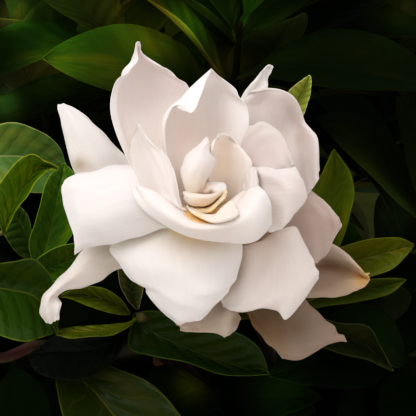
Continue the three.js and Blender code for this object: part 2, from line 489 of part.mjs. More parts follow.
    [[204.4042, 257.7606, -21.1844], [205.9994, 257.7162, -21.1907], [207.5343, 257.3272, -21.2458], [208.9165, 256.617, -21.3464], [210.0625, 255.6284, -21.4863], [210.9034, 254.4211, -21.6572]],
    [[198, 227, -5], [204, 229, -4], [211, 228, -4], [218, 224, -4], [224, 217, -4], [227, 208, -5]],
    [[188.5, 205, 2.6], [197, 208.4, 4.8], [204.5, 209.6, 6.4], [212, 206, 6.4], [219.6, 198, 5], [225.8, 190, 3]],
    [[187, 206.2, 5.7], [196, 210.3, 8.8], [204, 212.4, 10.8], [212.6, 209.8, 11.2], [221, 201.6, 9.8], [227.6, 194.4, 7.3]],
    [[187, 204.8, 5.3], [196, 208.6, 8.2], [203.5, 209.7, 10], [210.2, 207.5, 10.2], [217.6, 199.6, 8.9], [224.8, 191.6, 6.8]],
  ],
  inner_petal_6: [
    [[202.7493, 257.4271, -21.2317], [204.303, 257.7516, -21.1857], [205.8988, 257.7294, -21.1889], [207.4404, 257.3618, -21.2409], [208.8348, 256.6709, -21.3387], [209.9981, 255.6985, -21.4764]],
    [[200, 230, -6], [205, 231, -6], [210, 231, -6], [216, 229, -6], [223, 226, -6], [229, 218, -7]],
    [[188, 205.4, 3.2], [195, 210.4, 5.6], [204, 214.4, 8.6], [214.4, 214.8, 10.5], [226, 210.6, 10], [234, 206, 8.2]],
    [[186.5, 207.4, 8], [194.6, 214, 11.2], [204, 218.8, 13.7], [214.8, 222, 15.5], [228.6, 219.4, 16.4], [239, 216, 16]],
    [[186.2, 206.6, 8.3], [194, 212.4, 11.6], [202.3, 216.8, 13.9], [212.1, 220, 15.5], [225.8, 213.8, 15.9], [236, 206.5, 14.4]],
    [[185.8, 205, 7.6], [193.5, 210.4, 10.8], [201.5, 214.3, 12.8], [210.3, 216.5, 14], [220, 208.2, 14.2], [230.3, 198.4, 12]],
  ],
};

const LEAVES = {
  leaf_left_upper: [
    [[-57, 166, -64], [-56, 169, -65], [-57, 172, -64]],
    [[-30, 136, -55], [-32, 160, -60], [-30, 178, -56]],
    [[-4, 125.5, -50], [-6, 156, -57], [-2, 186, -53]],
    [[19, 123, -49], [20, 156, -57], [24, 192, -54]],
    [[42, 132, -51], [42, 160, -58], [47, 192, -56]],
    [[60, 148, -55], [58, 166, -59], [61, 186, -58]],
    [[67, 168, -59], [67.5, 172, -60], [68, 176, -60]],
  ],
  leaf_left_front: [
    [[2, 231, -38], [4, 232, -39], [6, 231, -38]],
    [[-7, 201, -31], [10, 213, -36], [17, 209, -32]],
    [[0, 180, -28], [19, 195, -34], [28, 194, -29]],
    [[14, 163.5, -27], [28, 181, -34], [37, 181, -29]],
    [[33, 153.5, -28], [37, 168, -34], [44, 171.5, -31]],
    [[47, 161, -31], [50, 166, -34], [52, 169.5, -33]],
    [[56.5, 168.5, -34], [57.5, 169.3, -34.5], [58, 170, -34]],
  ],
  leaf_left_inner: [
    [[34, 268, -47], [37, 270, -48], [40, 269, -47]],
    [[29, 244, -42], [46, 247, -47], [66, 243, -43]],
    [[36, 219, -40], [53, 220, -47], [80, 217, -42]],
    [[42, 196, -41], [58, 195, -47], [82, 195, -43]],
    [[48, 178, -43], [62, 177, -48], [76, 176, -46]],
    [[62, 164, -49], [64, 163, -49], [66, 164, -49]],
  ],
  leaf_left_small: [
    [[14, 287, -45], [15, 289, -46], [16, 291, -45]],
    [[36, 259.5, -37], [42, 272, -42], [46, 283, -38]],
    [[48, 251.8, -35], [58, 265, -41], [66, 280, -37]],
    [[60, 246.2, -34], [74, 258, -40], [88, 271, -36]],
    [[75, 243, -34], [88, 250, -38], [100, 258, -36]],
    [[104, 246, -38], [105, 247, -38], [106, 248, -38]],
  ],
  leaf_left_dark: [
    [[33, 263, -51], [36, 262, -52], [39, 260, -51]],
    [[16, 252, -46], [29, 243, -51], [34, 238, -48]],
    [[6, 238, -44], [20, 224, -51], [28, 217, -48]],
    [[2, 226, -46], [11, 213, -50], [20, 206, -48]],
    [[3, 199, -49], [4.5, 198, -49], [6, 198, -49]],
  ],
  leaf_left_broad: [
    [[-72, 296, -44], [-71, 298, -45], [-70, 301, -44]],
    [[-42, 270, -33], [-42, 288, -38], [-46, 314, -31]],
    [[-14, 267, -27], [-12, 287, -34], [-17, 327, -23]],
    [[11, 261.5, -25], [10, 290, -33], [5, 338, -19]],
    [[36, 260, -26], [33, 296, -33], [25, 342, -19]],
    [[56, 288, -30], [47, 312, -34], [42, 337.3, -24]],
    [[58, 329.5, -33], [57.5, 331.5, -33], [56.5, 332.8, -33]],
  ],
  leaf_under_curl: [
    [[136, 317, -45], [137, 318.5, -45], [136, 320, -45]],
    [[128, 322, -43], [127, 325.5, -41], [127, 327.5, -38]],
    [[112, 324, -41], [112, 329.5, -39], [111, 335, -33]],
    [[92, 325, -40], [92, 332, -38], [91, 337.6, -31]],
    [[73, 327, -40], [73, 332.5, -38], [73, 338, -32]],
    [[59, 330, -38], [58, 333, -37], [60, 336, -36]],
    [[56.8, 333, -37], [56.5, 333.7, -37], [57, 334.3, -37]],
  ],
  leaf_olive: [
    [[129, 311, -47], [130, 313, -48], [129, 315, -47]],
    [[121, 299, -42], [120, 307, -46], [117, 314.5, -42]],
    [[105, 289, -38], [103, 299, -43], [98, 309.8, -38]],
    [[84, 286, -36.5], [84, 294.5, -40.5], [82, 303.2, -36.5]],
    [[70, 290, -34.5], [70, 294.5, -36.5], [68, 298.3, -34.5]],
    [[61, 295.8, -33.5], [60.5, 296.5, -33.5], [61, 297.3, -33.5]],
  ],
  leaf_centre_small: [
    [[135, 308, -49], [137, 309, -50], [139, 309, -49]],
    [[126, 298, -45], [133, 297, -49], [141, 300, -46]],
    [[120, 284, -41], [130, 281, -47], [143, 287, -43]],
    [[118, 266, -39], [127, 262, -45], [139, 268, -42]],
    [[121, 247, -40], [124, 246, -42], [127, 247, -41]],
  ],
  leaf_lower_left: [
    [[80, 338, -62], [82, 337, -63], [84, 337, -62]],
    [[57, 366, -52], [76, 370, -57], [103, 362, -54]],
    [[57.5, 392, -45], [97, 395, -52], [150, 383, -48]],
    [[66, 424, -40], [119, 422, -49], [182, 418, -44]],
    [[92, 455, -39], [143, 450, -48], [196, 452, -43]],
    [[150, 482, -45], [168, 480, -48], [190, 478, -46]],
    [[186, 494, -48], [187, 495, -48], [188, 495, -48]],
  ],
  leaf_lower_shadow: [
    [[134, 325, -55], [135, 327, -56], [134, 329, -55]],
    [[112, 333, -52], [108, 346, -54], [112, 362, -49]],
    [[86, 336.5, -50], [80, 352, -51], [84, 379, -46]],
    [[60, 333.5, -48], [56, 352, -49], [56, 379, -45]],
    [[42, 344, -47], [40, 354, -48], [36, 371, -46]],
    [[28.7, 354.5, -48], [28, 356, -48], [28.6, 357.5, -48]],
  ],
  leaf_lower_centre: [
    [[135, 313, -51], [134.5, 315, -52], [133, 317, -51]],
    [[152, 311, -47], [142, 326, -52], [129, 347, -47]],
    [[182, 316, -43], [165, 338.5, -49], [152, 355.5, -43]],
    [[214, 324, -38], [192, 350, -45], [186, 361.5, -38]],
    [[244, 335, -34], [222, 361, -41], [219, 374, -34]],
    [[260, 350, -33], [249, 367, -37], [246, 376.8, -33]],
    [[268.3, 372.5, -34], [269, 374, -34], [268, 375, -34]],
  ],
  leaf_young: [
    [[286, 131, -62], [288, 132, -63], [290, 132, -62]],
    [[283, 112, -58], [292, 113, -62], [303, 116, -59]],
    [[286, 95.5, -56], [299, 97, -60], [308.5, 100, -57]],
    [[296, 84.5, -54], [305, 85, -57], [311.3, 87, -55]],
    [[308, 76, -54], [309.5, 75.5, -54], [311, 77, -54]],
  ],
  leaf_right: [
    [[214, 316, -60], [216, 318, -61], [218, 320, -60]],
    [[252, 288, -48], [256, 301, -54], [262, 317, -50]],
    [[295, 264, -41], [302, 281, -47], [312, 300, -43]],
    [[342, 246.3, -38], [349, 262, -43], [352, 283, -39]],
    [[370, 237.8, -37], [377, 254, -42], [375, 275, -38]],
    [[393, 237.3, -38], [397, 249, -41], [394, 267.5, -38]],
    [[406, 239.5, -39], [407, 246, -41], [407, 255, -40]],
    [[413.2, 244, -41], [413.8, 245.3, -41], [413.5, 246.5, -41]],
  ],
  leaf_right_lower: [
    [[262, 317, -72], [263, 319, -73], [264, 321, -72]],
    [[300, 291, -66], [306, 299, -70], [311, 309, -66]],
    [[338, 284.5, -62], [346, 292, -66], [352, 302.5, -62]],
    [[374, 279, -60], [380, 286, -63], [386, 295.5, -60]],
    [[405, 279, -61], [406, 280, -61], [405, 281.5, -61]],
  ],
  leaf_right_upper: [
    [[329, 262, -86], [331, 264, -87], [333, 263, -86]],
    [[311, 228, -80], [331, 228, -85], [347, 226, -81]],
    [[311, 196, -78], [332, 196, -84], [354, 191, -79]],
    [[323, 170, -78], [335, 170, -82], [349, 171, -79]],
    [[332.5, 150.5, -79], [334, 149.5, -79], [335.5, 150.5, -79]],
  ],
  leaf_right_dark: [
    [[258, 318, -64], [259, 320, -65], [258, 322, -64]],
    [[296, 311, -55], [297, 325, -61], [296, 340, -56]],
    [[336, 322, -52], [335, 336, -58], [334, 351, -52]],
    [[366, 326, -51], [363, 343, -57], [362, 358.5, -51]],
    [[381, 346, -52], [380, 356, -55], [380, 365.5, -52]],
    [[392, 369.5, -53], [393, 370.5, -53], [393, 371.5, -53]],
  ],
};

// Trunk, limbs and green twigs, in mm: x, y, z, radius.
const STEMS = [
  [[0, 0, 96, 3.2], [0.5, 0, 112, 7.6], [0, 0, 128, 7.4], [-2, 1, 145, 6.9], [1, 3, 160, 6.5], [3, 2, 176, 6.3]],
  [[3, 2, 172, 4.2], [-1, -16, 184, 3.75], [-8, -36, 203, 3.16], [-12, -55, 224, 2.58], [-15, -74, 242, 2.04], [-20.37, -87.39, 249.69, 1.7]],
  [[-20.37, -87.39, 249.69, 1.7], [-16.84, -84.6, 248.58, 1.72], [-10.9, -80.42, 245.72, 1.75], [-6.37, -77.83, 247.51, 1.77], [-2.07, -78.43, 247.11, 1.78], [-0.87, -80.63, 250.31, 1.8]],
  [[-12, -55, 224, 2.3], [-27.53, -62.72, 224.52, 2.15], [-34.89, -71.28, 229.83, 2.03], [-45.11, -79.84, 235.12, 1.91], [-52.45, -83.12, 237.57, 1.83], [-62.82, -87.3, 235.7, 1.73], [-74.4, -89.93, 241.89, 1.61], [-82.58, -87.65, 251.51, 1.5], [-84.56, -86.64, 256.04, 1.45], [-85.09, -80.43, 264.63, 1.36], [-83.73, -70.86, 275.69, 1.23], [-80.54, -61.48, 286.34, 1.1]],
  [[-85.09, -80.43, 264.63, 1.1], [-77.09, -80.33, 269.58, 1.03], [-67.76, -83.05, 273.21, 0.96], [-60.6, -85.71, 276.95, 0.9]],
  [[-83.72, -86.95, 254.18, 1.2], [-74.1, -87.02, 255.22, 1.12], [-65.14, -86.26, 256.85, 1.04], [-57.93, -86.08, 258.43, 0.97], [-51.46, -82.34, 262.9, 0.9]],
  [[-27.53, -62.72, 224.52, 1.3], [-33.35, -70.62, 231.23, 1.09], [-38.15, -77.67, 237.42, 0.9]],
  [[4, 3, 174, 2.8], [12, -12, 188, 2.48], [20, -30, 206, 2.09], [15.6, -60.53, 233.95, 1.48], [20.85, -61.78, 236.01, 1.4], [28.85, -54.06, 238.35, 1.23], [35.93, -47.84, 242.24, 1.08], [38.72, -46.73, 246.97, 1]],
  [[15.6, -60.53, 233.95, 1.2], [16.06, -67.49, 237.95, 1.04], [15.61, -73.57, 241.47, 0.9]],
  [[20.85, -61.78, 236.01, 1], [17.32, -66.34, 238.04, 0.8]],
  [[-5.87, -77.93, 247.71, 1.5], [1.23, -72.17, 242.12, 1.4], [6.16, -65.23, 247.53, 1.3], [12.97, -55.62, 263.41, 1.12], [19.71, -50.26, 279.63, 0.95], [24.42, -51.1, 294.4, 0.8]],
  [[3, 2, 170, 3.4], [22.42, -0.09, 193.2, 2.72], [46.16, -2.63, 214, 2]],
  [[3, 2, 170, 3.4], [18.73, 16.37, 197.34, 2.72], [37.96, 33.94, 223.2, 2]],
  [[3, 2, 170, 3.4], [1.76, 22.87, 200.04, 2.72], [0.24, 48.37, 229.2, 2]],
  [[3, 2, 170, 3.4], [-12.98, 15.68, 196.44, 2.72], [-32.52, 32.4, 221.2, 2]],
  [[3, 2, 170, 3.4], [-17.5, -0.09, 192.12, 2.72], [-42.56, -2.63, 211.6, 2]],
  [[3, 2, 170, 3.4], [17.78, -9.25, 185.64, 2.72], [35.84, -23, 197.2, 2]],
  [[3, 2, 170, 3.4], [19.05, 6.86, 182.94, 2.71], [38.67, 12.79, 191.2, 2]],
  [[3, 2, 170, 3.4], [7.49, 21.5, 186.54, 2.72], [12.98, 45.33, 199.2, 2]],
  [[3, 2, 170, 3.4], [-13.75, 12.08, 184.2, 2.72], [-34.23, 24.4, 194, 2]],
  [[3, 2, 170, 3.4], [-12.86, -9.25, 184.74, 2.72], [-32.24, -23, 195.2, 2]],
  [[3, 2, 170, 4], [8.19, 8.45, 206.88, 3.01], [14.53, 16.33, 244.4, 2]],
  [[3, 2, 170, 4], [-5.18, 10.36, 208.14, 3.02], [-15.17, 20.57, 247.2, 2]],
  [[3, 2, 170, 4], [4.23, -3.89, 204, 3], [5.73, -11.08, 238, 2]],
  [[3, 2, 170, 3.4], [2.79, -6.63, 181.32, 2.65], [2.53, -17.19, 187.6, 2]],
];

// The twig of each leafy branch, in mm, and the leaves that it bears.
const TWIGS = [
  [[46.46, -2.67, 214.26], [55.46, -3.63, 222.15], [78.69, -5.23, 242.31], [110.91, -9.59, 262]],
  [[38.17, 34.13, 223.48], [44.45, 39.87, 231.94], [61.61, 56.63, 256.27], [90.39, 81.85, 285]],
  [[0.22, 48.64, 229.5], [-0.25, 56.53, 238.53], [-1.66, 87.3, 268.27], [-3.91, 117.93, 300]],
  [[-32.74, 32.58, 221.48], [-39.3, 38.2, 229.8], [-61.13, 56.76, 256.81], [-85.8, 77.99, 280]],
  [[-42.88, -2.67, 211.84], [-52.32, -3.63, 219.19], [-76.58, -8.92, 238.83], [-110.91, -9.59, 256]],
  [[36.13, -23.21, 197.38], [44.63, -29.69, 202.83], [62.7, -45.88, 212.32], [85.11, -60.49, 220]],
  [[39.03, 12.9, 191.35], [49.68, 16.12, 195.83], [59.9, 17.07, 197.65], [92.18, 28.98, 205]],
  [[13.06, 45.67, 199.38], [15.45, 56.06, 204.9], [19.8, 74.19, 218.01], [27.95, 110.32, 225]],
  [[-34.54, 24.59, 194.15], [-44.06, 30.32, 198.71], [-61.83, 40.73, 200.53], [-90.07, 58, 212]],
  [[-32.54, -23.21, 195.36], [-41.5, -29.56, 200.2], [-60.44, -42, 210.52], [-85.11, -60.49, 215]],
  [[14.59, 16.41, 244.79], [16.55, 18.84, 256.37], [18.62, 25.68, 293.46], [31.82, 37.82, 338]],
  [[-15.27, 20.67, 247.58], [-18.15, 23.62, 258.85], [-31.27, 37.73, 298.87], [-42.43, 48.43, 345]],
  [[5.75, -11.16, 238.39], [6.27, -13.65, 250.12], [7.7, -18.28, 283.44], [9.84, -30.71, 322]],
  [[2.52, -17.53, 187.8], [2.26, -27.84, 193.94], [1.83, -31.42, 197.09], [1.81, -45.97, 196]],
];

const CANOPY = [
  [
    [55.97, -3.67, 222.6, 0.5673, -0.7885, 0.2376, -0.0161, 0.2779, 0.9605, 58.6, 25.5, 0.528, 0.35],
    [55.97, -3.67, 222.6, 0.4407, 0.8437, 0.3065, 0.12, -0.3937, 0.9114, 68.4, 29.1, 0.852, 0.262],
    [65.62, -4.22, 231.49, 0.9797, -0.1943, 0.0487, -0.0641, -0.0735, 0.9952, 72.3, 31.7, 0.805, 0.207],
    [65.62, -4.22, 231.49, -0.2025, 0.0035, 0.9793, 0.9364, -0.2918, 0.1947, 72, 33.2, 0.708, 0.19],
    [75.26, -4.89, 239.73, 0.4977, -0.7218, 0.481, 0.0239, 0.5657, 0.8242, 69.5, 28.8, 0.731, 0.341],
    [75.26, -4.89, 239.73, 0.5258, 0.757, 0.3879, -0.1726, -0.3516, 0.9201, 69.9, 29.6, 0.483, 0.167],
    [86.11, -6.13, 247.26, 0.9486, -0.1277, -0.2895, 0.2976, 0.0487, 0.9535, 70.7, 31.2, 0.466, 0.321],
    [86.11, -6.13, 247.26, 0.1283, 0.0181, 0.9916, 0.8831, 0.4529, -0.1225, 59.8, 24.3, 0.58, 0.223],
    [98.43, -7.83, 254.64, 0.7337, -0.62, 0.2781, 0.2247, 0.6076, 0.7618, 61.2, 28.7, 0.474, 0.173],
    [98.43, -7.83, 254.64, 0.6998, 0.3192, 0.639, -0.5527, -0.3248, 0.7675, 64.1, 26.7, 0.919, 0.346],
    [107.85, -9.17, 260.16, 0.9851, -0.165, -0.0489, 0.061, 0.069, 0.9957, 52.1, 24.3, 0.471, 0.232],
    [107.85, -9.17, 260.16, 0.2208, 0.2867, 0.9322, 0.8068, -0.5907, -0.0094, 57.5, 27, 0.519, 0.271],
    [109.21, -9.35, 260.98, 0.4575, -0.6916, 0.5589, -0.0613, 0.6025, 0.7958, 45.5, 18.2, 0.62, 0.317],
    [86.11, -6.13, 247.26, 0.5798, 0.6275, 0.5197, -0.2197, -0.4938, 0.8414, 50, 21.9, 0.741, 0.29],
    [72.74, -4.69, 237.7, -0.2953, -0.3397, 0.8929, 0.9554, -0.1069, 0.2753, 66.6, 30.3, 0.665, 0.132],
    [51.31, -3.25, 218.53, 0.7092, -0.6808, -0.1831, 0.0246, -0.2357, 0.9715, 55.6, 25.6, 0.851, 0.15],
    [75.26, -4.89, 239.73, -0.1229, -0.2358, 0.964, 0.8922, -0.4516, 0.0033, 60.6, 29, 0.305, 0.127],
  ],
  [
    [45.1, 40.5, 232.86, 0.8552, 0.0268, 0.5177, -0.5183, 0.0261, 0.8548, 58, 24.1, 0.599, 0.255],
    [45.1, 40.5, 232.86, -0.3189, 0.7959, 0.5146, 0.6474, -0.2136, 0.7316, 56.9, 23.9, 0.649, 0.356],
    [50.94, 46.35, 241.8, 0.5057, 0.8599, 0.0696, -0.0395, -0.0575, 0.9976, 65, 26.7, 0.833, 0.344],
    [50.94, 46.35, 241.8, -0.2246, -0.3116, 0.9233, 0.619, 0.6862, 0.3821, 59, 27.6, 0.999, 0.357],
    [58.62, 53.85, 252.63, 0.9236, 0.1432, 0.3556, -0.3808, 0.2361, 0.894, 65, 26.7, 0.802, 0.176],
    [58.62, 53.85, 252.63, -0.2321, 0.8665, 0.4419, 0.5421, -0.262, 0.7984, 57.2, 25.9, 0.716, 0.175],
    [66.33, 60.87, 261.43, 0.5195, 0.8528, 0.0531, 0.2914, -0.2353, 0.9272, 61.2, 25.8, 1.018, 0.183],
    [66.33, 60.87, 261.43, -0.0406, 0.1157, 0.9925, -0.0171, 0.993, -0.1165, 57.6, 23.8, 0.738, 0.29],
    [73.25, 66.94, 268.38, 0.9903, 0.0336, 0.1349, -0.139, 0.2549, 0.9569, 63.3, 26.1, 0.88, 0.201],
    [73.25, 66.94, 268.38, -0.3882, 0.5413, 0.7458, 0.8849, -0.0072, 0.4658, 56.7, 23, 0.861, 0.274],
    [80.64, 73.37, 275.52, 0.3208, 0.9367, -0.1401, 0.503, -0.0431, 0.8632, 66.3, 30.7, 1.036, 0.277],
    [80.64, 73.37, 275.52, 0.3807, 0.1549, 0.9116, 0.7414, -0.6403, -0.2008, 71.2, 31.9, 0.455, 0.331],
    [88.02, 79.78, 282.66, 0.8244, -0.2756, 0.4944, -0.3139, 0.5044, 0.8044, 59.8, 27.1, 0.613, 0.328],
    [88.02, 79.78, 282.66, 0.0524, 0.8064, 0.5891, 0.3143, -0.5732, 0.7567, 58.9, 27.5, 0.687, 0.33],
    [89.18, 80.79, 283.81, 0.8105, 0.5708, 0.1315, -0.0483, -0.1586, 0.9862, 44.6, 18.6, 0.468, 0.176],
    [89.18, 80.79, 283.81, 0.674, 0.6243, -0.395, 0.284, 0.2747, 0.9186, 41.1, 15.9, 0.505, 0.286],
    [50.94, 46.35, 241.8, 0.4464, -0.213, 0.8691, -0.2786, 0.8899, 0.3612, 66.5, 29.3, 0.504, 0.268],
    [58.62, 53.85, 252.63, -0.2986, 0.4101, 0.8618, 0.6565, -0.5671, 0.4974, 57.7, 23.3, 0.922, 0.27],
    [73.25, 66.94, 268.38, -0.4186, 0.8615, 0.2874, 0.0534, -0.2926, 0.9547, 55.8, 24.6, 0.416, 0.28],
    [44.14, 39.58, 231.51, -0.2012, 0.2218, 0.9541, 0.6881, -0.6612, 0.2988, 55.6, 25.9, 0.474, 0.126],
    [39.82, 35.6, 225.66, 0.3664, -0.2155, 0.9051, -0.8489, 0.3208, 0.42, 61.4, 28.1, 0.659, 0.199],
    [60.38, 55.5, 254.82, -0.088, 0.8865, 0.4543, 0.2761, -0.4165, 0.8662, 42.8, 17.2, 0.272, 0.205],
    [80.64, 73.37, 275.52, -0.0107, 0.9392, -0.3431, 0.7422, 0.2374, 0.6267, 59.4, 26.1, 0.559, 0.189],
  ],
  [
    [-0.25, 56.53, 238.53, 0.8109, 0.5847, 0.0238, -0.2711, 0.3393, 0.9008, 60.9, 27.3, 0.901, 0.231],
    [-0.25, 56.53, 238.53, -0.6301, 0.0577, 0.7744, 0.6971, 0.4814, 0.5314, 68.7, 31.5, 0.59, 0.253],
    [-0.69, 66.71, 248.37, -0.4281, 0.8778, 0.215, -0.2428, -0.3409, 0.9082, 72.8, 31.1, 0.699, 0.24],
    [-0.69, 66.71, 248.37, 0.3072, -0.0894, 0.9474, -0.6656, 0.6913, 0.2811, 61.1, 26.4, 0.787, 0.237],
    [-1.14, 77.1, 258.3, 0.5747, 0.8184, -0.0019, -0.1935, 0.1381, 0.9713, 75.2, 31, 0.656, 0.231],
    [-1.14, 77.1, 258.3, -0.5147, 0.3245, 0.7936, 0.404, 0.9082, -0.1094, 73, 30.7, 0.916, 0.347],
    [-1.52, 84.88, 265.86, -0.5832, 0.7857, 0.2062, 0.2253, -0.0874, 0.9704, 64.2, 29.3, 0.966, 0.272],
    [-1.52, 84.88, 265.86, 0.4141, -0.025, 0.9099, -0.8857, 0.2197, 0.4091, 70.5, 29.4, 0.828, 0.287],
    [-2.12, 94.38, 275.46, 0.472, 0.8691, 0.1481, -0.1292, -0.098, 0.9868, 49.5, 22.6, 0.681, 0.334],
    [-2.12, 94.38, 275.46, -0.4776, 0.0991, 0.873, 0.7969, 0.4674, 0.3829, 57.3, 23.7, 0.622, 0.281],
    [-2.82, 103.8, 285.24, -0.4367, 0.899, 0.0337, 0.1768, 0.049, 0.983, 38.7, 21.2, 0.581, 0.244],
    [-2.82, 103.8, 285.24, 0.3783, 0.1934, 0.9052, -0.9193, 0.1928, 0.343, 60.8, 28, 0.856, 0.243],
    [-3.56, 113.22, 295.1, 0.4526, 0.8332, 0.3178, -0.268, -0.2128, 0.9396, 28, 16.8, 0.871, 0.356],
    [-3.56, 113.22, 295.1, -0.5983, 0.2241, 0.7693, 0.7956, 0.0522, 0.6036, 71.8, 30.1, 0.534, 0.175],
    [-3.8, 116.55, 298.56, 0.6065, 0.5139, 0.6067, -0.7139, 0.0162, 0.7, 38.5, 17.2, 0.698, 0.303],
    [-3.8, 116.55, 298.56, -0.5933, 0.7515, 0.2887, 0.2926, -0.1328, 0.947, 25.4, 15.3, 0.598, 0.342],
    [-3.88, 117.52, 299.57, -0.1893, 0.3873, 0.9023, 0.6632, -0.6272, 0.4084, 38.1, 15.7, 0.325, 0.27],
    [-1.14, 77.1, 258.3, 0.3064, -0.1737, 0.9359, -0.8198, 0.4516, 0.3522, 52.1, 24.4, 0.715, 0.222],
    [-2.12, 94.38, 275.46, -0.7503, 0.2586, 0.6084, 0.6542, 0.1578, 0.7397, 43.9, 18.4, 0.806, 0.308],
    [-3.56, 113.22, 295.1, -0.5963, 0.7685, 0.2322, 0.3515, -0.0101, 0.9361, 31.8, 14.1, 0.598, 0.24],
    [-1.81, 89.67, 270.65, 0.7043, 0.7057, -0.0768, -0.0122, 0.1203, 0.9927, 72.3, 33.7, 0.779, 0.149],
    [-1.66, 87.3, 268.27, 0.943, 0.1525, 0.2959, 0.028, -0.922, 0.3861, 49.8, 19.6, 0.12, 0.14],
  ],
  [
    [-39.3, 38.2, 229.8, -0.3315, 0.9225, -0.1977, -0.3054, 0.0933, 0.9476, 65.6, 28, 0.492, 0.286],
    [-39.3, 38.2, 229.8, -0.4294, -0.4969, 0.7541, 0.1664, 0.7772, 0.6069, 67, 31.4, 0.549, 0.277],
    [-47.17, 44.88, 239.92, -0.9794, 0.1484, 0.1368, 0.1535, 0.1078, 0.9823, 69.5, 28.4, 0.822, 0.211],
    [-47.17, 44.88, 239.92, -0.0488, 0.716, 0.6964, -0.3572, -0.6636, 0.6573, 50.6, 23.5, 0.653, 0.255],
    [-55.12, 51.63, 249.89, -0.6695, 0.7323, -0.1248, -0.0809, 0.0951, 0.9922, 60.2, 27.7, 0.569, 0.278],
    [-55.12, 51.63, 249.89, -0.2104, -0.1927, 0.9584, 0.1434, 0.9637, 0.2252, 69.7, 32.7, 0.712, 0.249],
    [-61.13, 56.76, 256.81, -0.99, 0.0565, 0.1292, 0.1218, -0.1182, 0.9855, 58.4, 25.6, 0.601, 0.358],
    [-61.13, 56.76, 256.81, 0.1789, 0.0355, 0.9832, -0.5317, 0.8443, 0.0663, 52.8, 24.5, 0.483, 0.253],
    [-69.14, 63.64, 264.82, -0.2266, 0.9514, -0.2087, -0.2436, 0.1521, 0.9579, 68.4, 31, 0.727, 0.33],
    [-69.14, 63.64, 264.82, -0.3807, -0.1354, 0.9147, -0.0462, 0.9908, 0.1274, 62, 24.8, 0.825, 0.309],
    [-77.47, 70.81, 272.41, -0.993, 0.0966, 0.0674, 0.0744, 0.0707, 0.9947, 69.2, 30.6, 0.76, 0.304],
    [-77.47, 70.81, 272.41, 0.0883, 0.4845, 0.8703, -0.8411, -0.4318, 0.3257, 69.9, 32.4, 0.737, 0.329],
    [-84.55, 76.92, 278.85, -0.3623, 0.9247, -0.1173, -0.1937, 0.0484, 0.9799, 58.3, 22.5, 0.578, 0.283],
    [-84.55, 76.92, 278.85, -0.9299, -0.1418, 0.3395, 0.2692, 0.3666, 0.8906, 58.6, 23, 0.619, 0.249],
    [-85.42, 77.67, 279.66, -0.6312, 0.3715, 0.6809, 0.3916, -0.6051, 0.6932, 35.3, 14.8, 0.636, 0.319],
    [-37.33, 36.52, 227.33, 0.0077, 0.8606, 0.5092, -0.2239, -0.4948, 0.8397, 74.8, 34.1, 0.386, 0.236],
    [-61.13, 56.76, 256.81, -0.1398, 0.7727, 0.6192, -0.0541, -0.6304, 0.7744, 73.2, 31.9, 0.769, 0.241],
    [-59.16, 55.08, 254.63, 0.282, 0.8643, 0.4166, -0.3267, -0.3217, 0.8887, 67.6, 28.8, 0.366, 0.147],
    [-34.7, 34.27, 224, -0.6878, -0.4778, 0.5464, 0.6446, -0.0561, 0.7624, 52.3, 22.3, 0.79, 0.222],
  ],
  [
    [-52.86, -3.73, 219.62, -0.8546, 0.3233, -0.4063, -0.4507, -0.0734, 0.8896, 63.4, 27.3, 0.863, 0.296],
    [-52.86, -3.73, 219.62, 0.0245, -0.4917, 0.8704, -0.3991, 0.7935, 0.4594, 59.5, 26.2, 0.982, 0.233],
    [-62.89, -6.29, 228.4, -0.4831, -0.8634, -0.1452, -0.1708, -0.0697, 0.9828, 55.9, 26.1, 1.044, 0.319],
    [-62.89, -6.29, 228.4, -0.5676, 0.5692, 0.5948, -0.1368, -0.7776, 0.6136, 55.6, 24.4, 0.718, 0.316],
    [-72.96, -8.45, 236.41, -0.9719, 0.1901, -0.1388, -0.1818, -0.2319, 0.9556, 60.3, 24.5, 0.903, 0.218],
    [-72.96, -8.45, 236.41, 0.1895, -0.3866, 0.9026, -0.9627, 0.1079, 0.2483, 57.7, 27.1, 0.571, 0.323],
    [-84.45, -9.41, 243.3, -0.5985, -0.7997, 0.0471, 0.0333, 0.0339, 0.9989, 57.5, 26.7, 0.99, 0.191],
    [-84.45, -9.41, 243.3, -0.6357, 0.5727, 0.5176, 0.1478, -0.5678, 0.8098, 65.3, 28.9, 0.461, 0.342],
    [-97.59, -9.54, 249.67, -0.9744, -0.2024, -0.0978, -0.1038, 0.0192, 0.9944, 70.8, 32.2, 0.768, 0.27],
    [-97.59, -9.54, 249.67, -0.4657, -0.5428, 0.6989, 0.2264, 0.6904, 0.6871, 73.8, 29.9, 0.651, 0.215],
    [-107.65, -9.54, 254.4, -0.7712, -0.5959, 0.2239, -0.0917, 0.452, 0.8873, 65.1, 28.8, 0.876, 0.285],
    [-107.65, -9.54, 254.4, -0.7843, 0.4944, 0.3747, 0.0756, -0.5233, 0.8488, 66.7, 29.2, 0.609, 0.198],
    [-110.37, -9.58, 255.74, -0.6614, 0.2978, 0.6884, 0.5551, -0.4229, 0.7163, 40.4, 15.9, 0.326, 0.226],
    [-52.86, -3.73, 219.62, -0.8959, -0.3822, -0.2265, -0.2138, -0.0762, 0.9739, 67, 29.6, 0.595, 0.352],
    [-97.59, -9.54, 249.67, -0.8859, 0.0007, -0.4638, -0.4599, -0.1305, 0.8783, 68.8, 28.4, 0.481, 0.293],
    [-107.65, -9.54, 254.4, -0.8415, 0.5403, -0.0014, -0.015, -0.0207, 0.9997, 63.6, 28.1, 0.559, 0.25],
  ],
  [
    [45.16, -30.14, 203.12, 0.7648, -0.4849, -0.4242, 0.3407, -0.2544, 0.9051, 58.9, 27.4, 0.548, 0.204],
    [45.16, -30.14, 203.12, 0.2394, -0.2658, 0.9338, 0.0152, 0.9627, 0.2701, 55.3, 24.8, 0.636, 0.237],
    [55, -39.33, 208.62, 0.984, 0.0083, -0.1782, 0.1589, -0.4948, 0.8544, 75, 34.3, 0.561, 0.236],
